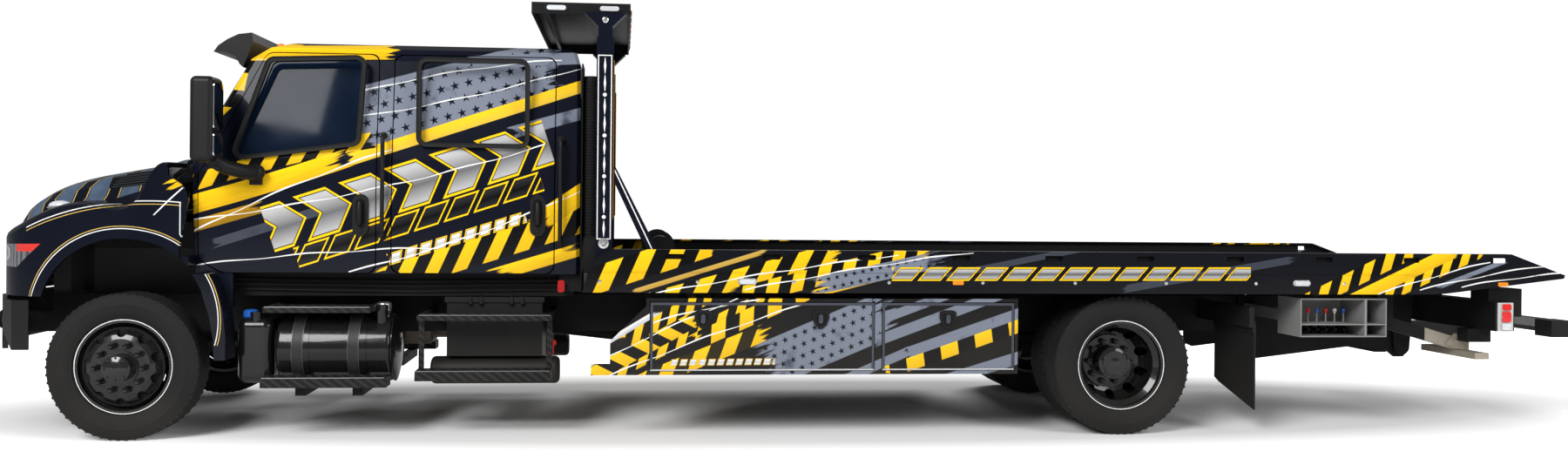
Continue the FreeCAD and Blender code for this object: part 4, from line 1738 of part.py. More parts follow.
def cylinder_rods():
    """The two rods with their pistons and eyes, which lie on the tilting frame's pin."""
    foot = vec(CYLINDER_BASE, CYLINDER_Y, CYLINDER_BASE_Z)
    eye_point = vec(CYLINDER_EYE, CYLINDER_Y, CYLINDER_EYE_Z)
    line = cylinder_direction()
    half = CYLINDER_EYE_WIDTH / 2
    start = foot + line * (CYLINDER_DEAD_LENGTH + RUNNING_GAP)
    piston = rod(start, start + line * CYLINDER_HEAD, CYLINDER_BORE_RADIUS - PIN_CLEARANCE)
    shaft = rod(start, eye_point - line * CYLINDER_EYE_BORE, CYLINDER_ROD_RADIUS)
    ring = across(eye_point.x, eye_point.z, CYLINDER_EYE_RING, CYLINDER_Y - half, CYLINDER_Y + half)
    bore = across(eye_point.x, eye_point.z, CYLINDER_EYE_BORE, CYLINDER_Y - half - OVERRUN,
                  CYLINDER_Y + half + OVERRUN)
    return Part.makeCompound(pair(joined([piston, shaft, ring]).cut(bore)))


# Stabiliser and wheel lift

def stabilizer():
    """Two arms with a foot at the end of each, folded up under the deck."""
    x = STABILIZER_STATION
    z = STABILIZER_Z
    y0 = STABILIZER_Y - STABILIZER_ARM_WIDTH / 2
    y1 = y0 + STABILIZER_ARM_WIDTH
    half = STABILIZER_ARM_HEIGHT / 2
    end_x = x + STABILIZER_REACH
    end_z = z - STABILIZER_DROP
    points = [(x, z + half), (x, z - half), (end_x, end_z - half), (end_x, end_z + half)]
    arm = slab_y(points, y0, y1).fuse(across(x, z, half, y0, y1))
    bore = across(x, z, STABILIZER_PIN_RADIUS + PIN_CLEARANCE, y0 - OVERRUN, y1 + OVERRUN)
    foot_y0 = STABILIZER_FOOT_OUTER_Y - STABILIZER_FOOT_WIDTH
    foot_z = end_z - half / 3
    foot = block(end_x - STABILIZER_FOOT_LENGTH, end_x, foot_y0, STABILIZER_FOOT_OUTER_Y,
                 foot_z - STABILIZER_FOOT_HEIGHT, foot_z)
    plate_x = end_x - STABILIZER_PLATE_LENGTH
    outline = in_box(STABILIZER_PLATE_SHARES, plate_x, foot_z, STABILIZER_PLATE_LENGTH,
                     STABILIZER_PLATE_HEIGHT)
    plate = slab_y(outline, y1, y1 + STABILIZER_PLATE)
    return Part.makeCompound(pair(joined([arm, foot, plate]).cut(bore)))


def wheel_lift_boom():
    """The outer boom: a square tube hinged under the tail beam."""
    x = LIFT_PIVOT
    z = LIFT_PIVOT_Z
    half = BOOM_HEIGHT / 2
    wide = BOOM_WIDTH / 2
    end = x + BOOM_LENGTH
    tube = block(x, end, -wide, wide, z - half, z + half).fuse(across(x, z, half, -wide, wide))
    wall = BOOM_WALL
    tube = tube.cut(block(x + BOOM_HEEL, end + OVERRUN, -wide + wall, wide - wall, z - half + wall,
                          z + half - wall))
    return tube.cut(across(x, z, LIFT_PIN_RADIUS + PIN_CLEARANCE, -wide - OVERRUN, wide + OVERRUN))


def wheel_lift_extension():
    """The inner boom, which slides in the outer one and ends in the crossbar's pivot."""
    z = LIFT_PIVOT_Z
    wall = BOOM_WALL + PIN_CLEARANCE
    half = BOOM_HEIGHT / 2 - wall
    wide = BOOM_WIDTH / 2 - wall
    end = LIFT_PIVOT + BOOM_LENGTH
    head_x = end + EXTENSION_SHOWN + EXTENSION_HEAD
    bar = block(end - EXTENSION_HIDDEN, head_x, -wide, wide, z - half, z + half)
    head = rod(vec(head_x, 0, z - half), vec(head_x, 0, z + half), wide)
    pin = rod(vec(head_x, 0, z), vec(head_x, 0, z + half + CROSSBAR_HEIGHT + RUNNING_GAP),
              CROSSBAR_PIN_RADIUS)
    cap = rod(vec(head_x, 0, z + half + CROSSBAR_HEIGHT + RUNNING_GAP),
              vec(head_x, 0, z + half + CROSSBAR_HEIGHT + RUNNING_GAP + BOOM_WALL),
              CROSSBAR_PIN_RADIUS * 3 / 2)
    return joined([bar, head, pin, cap])


def wheel_lift_crossbar():
    """The crossbar on the inner boom's pin, with a receiver at each end."""
    x = LIFT_PIVOT + BOOM_LENGTH + EXTENSION_SHOWN + EXTENSION_HEAD
    z0 = LIFT_PIVOT_Z + BOOM_HEIGHT / 2 - BOOM_WALL - PIN_CLEARANCE + RUNNING_GAP / 2
    x0 = x - CROSSBAR_LENGTH / 2
    outline = in_box(CROSSBAR_SHARES, x0, z0, CROSSBAR_LENGTH, CROSSBAR_HEIGHT)
    bar = slab_y(outline, -CROSSBAR_HALF_WIDTH, CROSSBAR_HALF_WIDTH)
    receiver = block(x0, x0 + CROSSBAR_LENGTH, CROSSBAR_HALF_WIDTH - CROSSBAR_RECEIVER, CROSSBAR_HALF_WIDTH,
                     z0 - CROSSBAR_HEIGHT / 3, z0 + CROSSBAR_HEIGHT)
    bore = rod(vec(x, 0, z0 - OVERRUN), vec(x, 0, z0 + CROSSBAR_HEIGHT + OVERRUN),
               CROSSBAR_PIN_RADIUS + PIN_CLEARANCE)
    return joined([bar] + pair(receiver)).cut(bore)


# Mudflaps and control boxes

def mudflaps():
    """The rubber flaps behind the rear wheels, each bolted to a bar on the frame."""
    x0 = REAR_AXLE + FLAP_BACK
    points = in_box(FLAP_SHARES, FLAP_INNER_Y, FLAP_TOP - FLAP_HEIGHT, FLAP_WIDTH, FLAP_HEIGHT)
    flap = slab_x(points, x0, x0 + FLAP_THICKNESS)
    bar = block(x0 - FLAP_BAR_LENGTH, x0, FRAME_HALF_WIDTH, FLAP_INNER_Y + FLAP_WIDTH, FLAP_TOP,
                FLAP_TOP + FLAP_BAR_HEIGHT)
    lap = block(x0 - FLAP_THICKNESS, x0, FLAP_INNER_Y, FLAP_INNER_Y + FLAP_WIDTH, FLAP_TOP - FLAP_BAR_LENGTH,
                FLAP_TOP)
    top = block(x0, x0 + FLAP_THICKNESS, FLAP_INNER_Y, FLAP_INNER_Y + FLAP_WIDTH, FLAP_TOP,
                FLAP_TOP + FLAP_BAR_LENGTH)
    return Part.makeCompound(pair(joined([flap, bar, lap, top])))


def control_box():
    """A right-hand control box: two open bays with a shelf, levers and the arm that carries it."""
    x0 = REAR_AXLE + CONTROL_BACK
    x1 = x0 + CONTROL_LENGTH
    split = x0 + CONTROL_SPLIT
    y1 = CONTROL_OUTER_Y
    y0 = y1 - CONTROL_DEPTH
    z0 = CONTROL_BOTTOM
    z1 = z0 + CONTROL_HEIGHT
    wall = CONTROL_WALL
    shelf = z0 + CONTROL_SHELF
    shape = block(x0, x1, y0, y1, z0, z1)
    for start, end in ((x0, split), (split, x1)):
        shape = shape.cut(block(start + wall, end - wall, y0 + wall, y1 + OVERRUN, shelf, z1 - wall))
        shape = shape.cut(block(start + wall, end - wall, y0 + wall, y1 + OVERRUN, z0 + wall, shelf - wall))
    pieces = [shape]
    pitch = (CONTROL_SPLIT - 2 * wall) / (LEVER_COUNT + 1)
    for i in range(LEVER_COUNT):
        x = x0 + wall + (i + 1) * pitch
        base = vec(x, y0 + CONTROL_DEPTH / 2, shelf - wall)
        tip = base + ALONG_Z * LEVER_HEIGHT
        pieces += [rod(base, tip, LEVER_RADIUS), Part.makeSphere(LEVER_KNOB_RADIUS, tip)]
    arm_x = x0 + wall
    pieces.append(block(arm_x, arm_x + CONTROL_ARM_LENGTH, TAIL_OUTER_Y, y0, shelf,
                        shelf + CONTROL_ARM_HEIGHT))
    return joined(pieces)


def control_boxes():
    """The control boxes on both sides."""
    return Part.makeCompound(pair(control_box()))


def nodes():
    """Every sub-part by its node's name."""
    yield "frame", frame()
    yield "front_bumper", front_bumper()
    yield "engine", engine()
    yield "driveline", driveline()
    yield "front_axle", front_axle()
    yield "rear_axle", rear_axle()
    yield "leaf_springs", leaf_springs()
    yield "hood", hood()
    yield "grille", grille()
    yield "headlamps", headlamps()
    yield "fender_extensions", fender_extensions()
    yield "cab_shell", cab_shell()
    skin = cab_body(0).cut(cab_body(CAB_WALL))
    layer = glass_layer()
    yield "cab_glass", cab_glass(layer)
    for side, hand in ((LEFT, "left"), (RIGHT, "right")):
        for which in DOORS:
            yield f"door_{which}_{hand}", door(which, side, skin)
            yield f"door_glass_{which}_{hand}", door_glass(which, side, layer)
        for bay, place in enumerate(("front", "rear")):
            yield f"toolbox_door_{place}_{hand}", toolbox_door(bay, side)
        yield f"mirror_{hand}", mirror(side)
        yield f"knuckle_{hand}", knuckle(side)
        yield f"wheel_front_{hand}", front_wheel(side)
        yield f"tyre_front_{hand}", on_side(tyre(0, FRONT_WHEEL_Y), side)
        yield f"wheels_rear_{hand}", rear_wheels(side)
        yield f"tyres_rear_{hand}", rear_tyres(side)
    yield "dashboard", dashboard()
    yield "seats", seats()
    yield "sun_visor", sun_visor()
    yield "fuel_tanks", fuel_tanks()
    yield "exhaust", exhaust()
    yield "cab_steps", cab_steps()
    yield "battery_box", battery_box()
    yield "toolboxes", toolboxes()
    yield "mudflaps", mudflaps()
    yield "control_boxes", control_boxes()
    yield "deck_rails", deck_rails()
    yield "deck_floor", deck_floor()
    yield "headboard", headboard()
    yield "light_wing", light_wing()
    yield "winch", winch()
    yield "tilt_frame", tilt_frame()
    yield "tail_lamps", tail_lamps()
    yield "cylinder_barrels", cylinder_barrels()
    yield "cylinder_rods", cylinder_rods()
    yield "stabilizer", stabilizer()
    yield "wheel_lift_boom", wheel_lift_boom()
    yield "wheel_lift_extension", wheel_lift_extension()
    yield "wheel_lift_crossbar", wheel_lift_crossbar()


os.makedirs("parts", exist_ok=True)
for name, shape in nodes():
    placed = shape.copy()
    placed.translate(vec(FRONT_AXLE_X, 0, 0))
    placed.exportStep(f"parts/{name}.step")
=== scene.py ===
"""The looks of a crew-cab car carrier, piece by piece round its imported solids."""
import math
import bpy
import bmesh
from mathutils import Matrix, Vector
from mathutils.bvhtree import BVHTree


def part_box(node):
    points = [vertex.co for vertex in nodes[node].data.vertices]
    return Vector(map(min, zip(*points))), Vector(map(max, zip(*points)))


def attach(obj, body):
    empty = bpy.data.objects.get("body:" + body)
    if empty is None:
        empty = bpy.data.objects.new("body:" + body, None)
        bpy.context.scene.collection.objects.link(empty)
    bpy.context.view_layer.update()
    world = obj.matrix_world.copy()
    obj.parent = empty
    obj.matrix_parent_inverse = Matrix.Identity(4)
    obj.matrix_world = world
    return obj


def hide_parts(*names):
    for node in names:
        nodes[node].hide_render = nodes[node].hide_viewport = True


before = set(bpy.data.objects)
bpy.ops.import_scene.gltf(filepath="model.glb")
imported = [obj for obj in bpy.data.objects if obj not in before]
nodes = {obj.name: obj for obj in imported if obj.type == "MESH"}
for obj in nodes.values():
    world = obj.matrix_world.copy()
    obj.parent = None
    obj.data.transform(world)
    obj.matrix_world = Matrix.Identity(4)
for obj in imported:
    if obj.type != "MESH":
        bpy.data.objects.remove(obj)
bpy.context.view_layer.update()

# The truck stands on a plain pale studio floor. The camera stands nine metres off its left side, a little ahead
# of the middle and at standing eye height, and looks slightly back along the deck.
scene = bpy.context.scene
scene.view_settings.view_transform = "Standard"
camera = bpy.data.objects.new("camera", bpy.data.cameras.new("camera"))
scene.collection.objects.link(camera)
scene.camera = camera
camera.data.sensor_width = 36.0
camera.data.lens = 29.206
camera.data.shift_x = 0.0248
camera.data.shift_y = -0.0169
camera.data.clip_end = 200.0
camera.matrix_world = (Matrix.Translation((-1.375, -9.4426, 1.5097))
                       @ Matrix.Rotation(-math.radians(5.535), 4, "Z")
                       @ Matrix.Rotation(math.pi / 2, 4, "X")
                       @ Matrix.Rotation(0.00904, 4, "Z"))


class Wire:
    """A value or colour on its way through a node tree. Sums on it add Math nodes."""

    def __init__(self, tree, socket):
        self.tree = tree
        self.socket = socket

    def math(self, operation, *others):
        return self.tree.node("ShaderNodeMath", {"operation": operation}, dict(enumerate((self, *others))))

    def __add__(self, other):
        return self.math("ADD", other)

    def __sub__(self, other):
        return self.math("SUBTRACT", other)

    def __rsub__(self, other):
        return self.math("MULTIPLY", -1.0) + other

    def __mul__(self, other):
        return self.math("MULTIPLY", other)

    def __truediv__(self, other):
        return self.math("DIVIDE", other)

    def __rtruediv__(self, other):
        return self.math("POWER", -1.0) * other

    def __mod__(self, other):
        return self.math("FLOORED_MODULO", other)

    def __pow__(self, other):
        return self.math("POWER", other)

    def __abs__(self):
        return self.math("ABSOLUTE")

    __radd__ = __add__
    __rmul__ = __mul__


class Tree:
    """A node tree under construction: one method adds any node."""

    def __init__(self, tree):
        self.tree = tree

    def feed(self, socket, value):
        if isinstance(value, Wire):
            self.tree.links.new(value.socket, socket)
        elif socket.type == "RGBA" and len(value) == 3:
            socket.default_value = (*value, 1.0)
        else:
            socket.default_value = value

    def node(self, kind, settings=None, inputs=None, output=0):
        made = self.tree.nodes.new(kind)
        for name, value in (settings or {}).items():
            setattr(made, name, value)
        for name, value in (inputs or {}).items():
            self.feed(made.inputs[name], value)
        return Wire(self, made.outputs[output])


class Finish(Tree):
    """A finish on a principled shader, with the piece's own place as its pattern space."""

    def __init__(self, name, roughness=0.5, **fixed):
        self.material = bpy.data.materials.new(name)
        self.material.use_nodes = True
        super().__init__(self.material.node_tree)
        self.shader = self.tree.nodes["Principled BSDF"]
        self.shader.inputs["Roughness"].default_value = roughness
        for socket, value in fixed.items():
            self.feed(self.shader.inputs[socket.replace("_", " ")], value)
        self.place = self.node("ShaderNodeTexCoord", None, None, 3)
        self.x, self.y, self.z = [self.node("ShaderNodeSeparateXYZ", None, {0: self.place}, i) for i in range(3)]

    def set(self, **varying):
        for socket, value in varying.items():
            self.feed(self.shader.inputs[socket.replace("_", " ")], value)
        return self.material

    def stretched(self, size, turn=(0.0, 0.0, 0.0)):
        return self.node("ShaderNodeMapping", None, {"Vector": self.place, "Rotation": turn, "Scale": size})

    def noise(self, scale, detail=3.0, space=None):
        return self.node("ShaderNodeTexNoise", None, {"Vector": space or self.place, "Scale": scale, "Detail": detail})

    def mix(self, low, high, share):
        return self.node("ShaderNodeMix", {"data_type": "RGBA"}, {0: share, 6: low, 7: high}, 2)

    def clamp(self, value, low=0.0, high=1.0):
        return self.node("ShaderNodeClamp", None, {0: value, 1: low, 2: high})

    def edge(self, value, sharp=300.0):
        return self.clamp(value * sharp + 0.5)

    def bump(self, height, distance):
        return self.node("ShaderNodeBump", None, {"Height": height, "Distance": distance, "Strength": 1.0})


FLOOR_COLOUR = (0.93, 0.93, 0.93)
floor_mesh = bpy.data.meshes.new("floor")
floor_mesh.from_pydata([(-60, -60, 0), (60, -60, 0), (60, 60, 0), (-60, 60, 0)], [], [(0, 1, 2, 3)])
floor = bpy.data.objects.new("floor", floor_mesh)
scene.collection.objects.link(floor)
floor_finish = Finish("studio floor", roughness=0.9, Emission_Strength=1.0)
mottle = floor_finish.noise(2.0)
SHADE_LENGTH, SHADE_WIDTH = 6.3, 1.6         # half sizes of the unlit patch round the truck
ring = ((floor_finish.x / SHADE_LENGTH) ** 2.0 + (floor_finish.y / SHADE_WIDTH) ** 2.0) ** 0.5
seen = floor_finish.node("ShaderNodeLightPath") * floor_finish.clamp((ring - 0.86) * 1.8)
floor_finish.set(Base_Color=floor_finish.mix(FLOOR_COLOUR, (0.95, 0.95, 0.95), mottle),
                 Emission_Color=floor_finish.mix((0.0, 0.0, 0.0), (0.85, 0.85, 0.85), seen))
floor_mesh.materials.append(floor_finish.material)

SKY_LEVEL, GLOSS_LEVEL = 0.24, 0.24
world = bpy.data.worlds.new("studio")
world.use_nodes = True
scene.world = world
sky = Tree(world.node_tree)
seen_ray, glossy_ray, clear_ray = [sky.node("ShaderNodeLightPath", output=f"Is {kind} Ray")
                                   for kind in ("Camera", "Glossy", "Transmission")]
unseen = sky.node("ShaderNodeMix", None, {0: glossy_ray, 2: SKY_LEVEL, 3: GLOSS_LEVEL})
white = sky.node("ShaderNodeClamp", None, {0: seen_ray + clear_ray})
level = sky.node("ShaderNodeMix", None, {0: white, 2: unseen, 3: 1.0})
sky.feed(world.node_tree.nodes["Background"].inputs["Strength"], level)
sky.feed(world.node_tree.nodes["Background"].inputs["Color"], (1.0, 1.0, 1.0))

for name, place, aim, size, power in [("key", (-9.0, -13.0, 10.0), (0.0, 0.0, 1.2), 7.0, 2700.0),
                                      ("fill", (10.0, -10.0, 7.0), (1.0, 0.0, 1.0), 7.0, 950.0),
                                      ("back", (4.0, 13.0, 11.0), (0.0, 0.0, 1.0), 8.0, 1300.0)]:
    data = bpy.data.lights.new(name, "AREA")
    data.size = size
    data.energy = power
    lamp = bpy.data.objects.new(name, data)
    scene.collection.objects.link(lamp)
    lamp.location = place
    lamp.rotation_euler = (Vector(aim) - Vector(place)).to_track_quat("-Z", "Y").to_euler()

# Tyres: six black rubber truck tyres, moulded with five ribs, four deep grooves and blocky shoulders.
# Each stands on its bead seats on the rim and turns with its wheel.
ROAD_DUST = (0.13, 0.115, 0.09)
SIDES = (("left", -1), ("right", 1))


def aged(name, colour, roughness, wear=0.12, grain=40.0, depth=0.0004, dust=0.25, dust_top=1.1, **fixed):
    """A plain finish with mottled colour, road dust near the ground and a fine uneven surface."""
    made = Finish(name, roughness=roughness, **{"Specular_IOR_Level": 0.18, **fixed})
    cloud = made.noise(2.3, 4.0)
    fine = made.noise(grain, 2.0)
    light = tuple(min(1.0, c * (1 + wear * 1.6) + wear * 0.004) for c in colour)
    dark = tuple(c * (1 - wear) for c in colour)
    tone = made.mix(dark, light, made.clamp(fine * 0.6 + cloud * 0.5))
    low = made.clamp((dust_top - made.z) / dust_top)
    veil = made.clamp(low * cloud * (2 * dust))
    made.tone = made.mix(tone, ROAD_DUST, veil)
    made.rub = made.clamp(fine * 0.14 + (roughness - 0.07) + veil * 0.5, 0.02, 1.0)
    made.set(Base_Color=made.tone, Roughness=made.rub)
    if depth:
        made.set(Normal=made.bump(fine, depth))
    return made


class Form:
    """A mesh under construction, in the truck's own frame."""

    def __init__(self):
        self.mesh = bmesh.new()

    def box(self, corner, opposite, ease=0.0):
        (x0, x1), (y0, y1), (z0, z1) = map(sorted, zip(corner, opposite))
        return self.slab([(x0, z0), (x1, z0), (x1, z1), (x0, z1)], y0, y1, ease)

    def slab(self, points, start, end, ease=0.0, axis=1):
        """An outline in two axes drawn out along the third."""
        first, last = [[self.mesh.verts.new((*p[:axis], w, *p[axis:])) for p in points] for w in (start, end)]
        faces = [self.mesh.faces.new(first), self.mesh.faces.new(last)]
        count = len(points)
        for i in range(count):
            j = (i + 1) % count
            faces.append(self.mesh.faces.new((first[i], first[j], last[j], last[i])))
        if ease:
            edges = {e for f in faces for e in f.edges}
            bmesh.ops.bevel(self.mesh, geom=list(edges), offset=ease, segments=2, affect="EDGES", clamp_overlap=True)
        return self

    def tube(self, path, radius, sides=10):
        """A round bar along a path of points."""
        points = [Vector(p) for p in path]
        rings = []
        lift = None
        for i, point in enumerate(points):
            way = (points[min(i + 1, len(points) - 1)] - points[max(i - 1, 0)]).normalized()
            if lift is None:
                lift = way.orthogonal().normalized()
            lift = (lift - way * lift.dot(way)).normalized()
            side = way.cross(lift)
            rings.append([self.mesh.verts.new(point + (lift * math.cos(a) + side * math.sin(a)) * radius)
                          for a in [math.tau * k / sides for k in range(sides)]])
        self.skin(rings, loop=False)
        self.mesh.faces.new(rings[0])
        self.mesh.faces.new(rings[-1])
        return self

    def skin(self, rings, loop=True):
        """Faces between closed rings of points, and in a loop from the last ring back to the first."""
        count = len(rings[0])
        for one, two in zip(rings, rings[1:] + rings[:1] if loop else rings[1:]):
            for i in range(count):
                j = (i + 1) % count
                self.mesh.faces.new((one[i], one[j], two[j], two[i]))

    def spin(self, profile, centre, axis="Y", steps=48, side=1):
        """A closed profile of (radius, distance along the axis) turned round an axis, facing one side."""
        rings = []
        for k in range(steps):
            a = math.tau * k / steps
            ring = []
            for radius, along in profile:
                u, v = radius * math.cos(a), radius * math.sin(a)
                turned = {"X": (along, u, v), "Y": (u, side * along, v), "Z": (u, v, along)}[axis]
                ring.append(self.mesh.verts.new(Vector(centre) + Vector(turned)))
            rings.append(ring)
        self.skin(rings)
        return self

    def ball(self, centre, size, rings=8, steps=16):
        made = bmesh.ops.create_uvsphere(self.mesh, u_segments=steps, v_segments=rings, radius=1.0)
        for vert in made["verts"]:
            vert.co = Vector(centre) + Vector([a * b for a, b in zip(vert.co, size)])
        return self

    def place(self, name, finish, body, slot, crease=35.0):
        """Ends the form as a named piece that rides on a body."""
        bmesh.ops.recalc_face_normals(self.mesh, faces=self.mesh.faces)
        data = bpy.data.meshes.new(name)
        self.mesh.to_mesh(data)
        self.mesh.free()
        return settle(name, data, finish, body, crease)


def settle(name, data, finish, body, crease=35.0):
    data.materials.clear()
    data.materials.append(finish.material)
    data.shade_smooth()
    data.set_sharp_from_angle(angle=math.radians(crease))
    piece = bpy.data.objects.new(name, data)
    scene.collection.objects.link(piece)
    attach(piece, body)
    return piece


class Growth(Tree):
    """A geometry tree that repeats a small piece, with its sizes as named inputs."""

    def __init__(self, name, **sizes):
        super().__init__(bpy.data.node_groups.new(name, "GeometryNodeTree"))
        for label, kind in {"Piece": "Object", "Count": "Int", "Finish": "Material", **sizes}.items():
            self.tree.interface.new_socket(label, in_out="INPUT", socket_type="NodeSocket" + kind)
        self.tree.interface.new_socket("Geometry", in_out="OUTPUT", socket_type="NodeSocketGeometry")
        self.given = self.tree.nodes.new("NodeGroupInput")

    def take(self, label):
        return Wire(self, self.given.outputs[label])

    def end(self, points, turn=(0.0, 0.0, 0.0)):
        """Sets the piece on every point, then makes one real mesh with its finish."""
        held = self.node("GeometryNodeObjectInfo", None, {"Object": self.take("Piece")}, "Geometry")
        copies = self.node("GeometryNodeInstanceOnPoints", None, {"Points": points, "Instance": held, "Rotation": turn})
        real = self.node("GeometryNodeRealizeInstances", None, {0: copies})
        done = self.node("GeometryNodeSetMaterial", None, {"Geometry": real, "Material": self.take("Finish")})
        self.feed(self.tree.nodes.new("NodeGroupOutput").inputs[0], done)

    def grow(self, name, seed, finish, body, slot, crease=35.0, **sizes):
        """Runs the tree once on a small seed form and settles the plain mesh that comes out."""
        data = bpy.data.meshes.new("seed")
        bmesh.ops.recalc_face_normals(seed.mesh, faces=seed.mesh.faces)
        seed.mesh.to_mesh(data)
        seed.mesh.free()
        small = bpy.data.objects.new("seed", data)
        host = bpy.data.objects.new("host", bpy.data.meshes.new("host"))
        scene.collection.objects.link(small)
        scene.collection.objects.link(host)
        modifier = host.modifiers.new("repeat", "NODES")
        modifier.node_group = self.tree
        sizes.update(Piece=small, Finish=finish.material)
        for item in self.tree.interface.items_tree:
            if item.item_type == "SOCKET" and item.in_out == "INPUT":
                modifier[item.identifier] = sizes[item.name]
        graph = bpy.context.evaluated_depsgraph_get()
        grown = bpy.data.meshes.new_from_object(host.evaluated_get(graph), depsgraph=graph)
        host.modifiers.remove(modifier)
        bpy.data.objects.remove(host)
        bpy.data.objects.remove(small)
        return settle(name, grown, finish, body, crease)


# A tree that sets copies round a wheel's axle, each turned to face outwards from the axle.
around = Growth("copies round an axle", Radius="Float", Centre="Vector")
step_number = around.node("GeometryNodeInputIndex")
step_angle = step_number * math.tau / around.take("Count")
ring_place = around.node("ShaderNodeCombineXYZ", None, {
    0: around.take("Radius") * step_angle.math("COSINE"), 1: 0.0,
    2: around.take("Radius") * step_angle.math("SINE")})
ring_points = around.node("GeometryNodePoints", None, {
    "Count": around.take("Count"),
    "Position": around.node("ShaderNodeVectorMath", {"operation": "ADD"}, {0: ring_place, 1: around.take("Centre")})})
around.end(ring_points, around.node("ShaderNodeCombineXYZ", None, {0: 0.0, 1: 0.0 - step_angle, 2: 0.0}))

rubber = aged("tyre rubber", (0.007, 0.007, 0.0075), 0.72, wear=0.3, grain=90.0, dust=0.08)
AXLE_Z = 0.4645
STATION = 4.481                # the frame's middle lies this far behind the front axle
FRONT_X, REAR_X = -STATION, 6.452 - STATION
TREAD = 0.1045                 # half width of the tread
GROOVE, GROOVE_DEPTH = 0.0065, 0.013
TYRE_R = 0.4645
wall = [(0.300, -0.093), (0.309, -0.108), (0.322, -0.113), (0.330, -0.1185), (0.360, -0.125),
        (0.385, -0.1275), (0.392, -0.129), (0.398, -0.1268), (0.425, -0.122), (0.447, -0.113), (0.4605, -TREAD)]
bore = [(0.296, 0.085), (0.320, 0.095), (0.330, 0.0), (0.320, -0.095), (0.296, -0.085)]
grooves = []
for middle in (-0.069, -0.023, 0.023, 0.069):
    crown = TYRE_R - abs(middle) * 0.02
    grooves += [(crown, middle - GROOVE), (TYRE_R - GROOVE_DEPTH, middle - GROOVE * 0.6),
                (TYRE_R - GROOVE_DEPTH, middle + GROOVE * 0.6), (crown, middle + GROOVE)]
tyre_section = wall + grooves + [(r, -y) for r, y in reversed(wall)] + bore
WHEELS = (("front", FRONT_X, (1.022,)), ("rear", REAR_X, (0.802, 1.092)))


def wheel_body(place, word):
    return f"front_wheel_{word}" if place == "front" else f"rear_wheels_{word}"


def shoulder_blocks(name, x, centres, body):
    """Short lugs moulded on both shoulders, and fine ribs on the tread between them."""
    lug = Form()
    for y in centres:
        for side in (-1, 1):
            edge = y + side * TREAD
            lug.slab([(-0.009, -0.022), (0.009, -0.022), (0.008, 0.0012), (-0.008, 0.0012)],
                     edge - 0.008, edge + 0.009)
            lug.slab([(-0.0035, -0.012), (0.0035, -0.012), (0.0035, 0.0004), (-0.0035, 0.0004)],
                     y + side * 0.031, y + side * 0.061)
        lug.slab([(-0.003, -0.012), (0.003, -0.012), (0.003, 0.0006), (-0.003, 0.0006)], y - 0.015, y + 0.015)
    for vert in lug.mesh.verts:
        vert.co = Vector((vert.co.z, vert.co.y, vert.co.x))
    around.grow(name, lug, rubber, body, "tyre_rubber", Count=58, Radius=0.4622, Centre=(x, 0.0, AXLE_Z))


for word, side in SIDES:
    for place, x, centres in WHEELS:
        body = wheel_body(place, word)
        node = f"tyre_front_{word}" if place == "front" else f"tyres_rear_{word}"
        whole = Form()
        for y in centres:
            whole.spin(tyre_section, (x, side * y, AXLE_Z), steps=96)
        piece = whole.place(f"{place}_tread_{word}", rubber, body, "tyre_rubber", crease=25)
        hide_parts(node)
        shoulder_blocks(f"{place}_lugs_{word}", x, [side * y for y in centres], body)


def dress(finish, *names):
    """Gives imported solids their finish."""
    for name in names:
        slots = nodes[name].data.materials
        slots.clear()
        slots.append(finish.material)


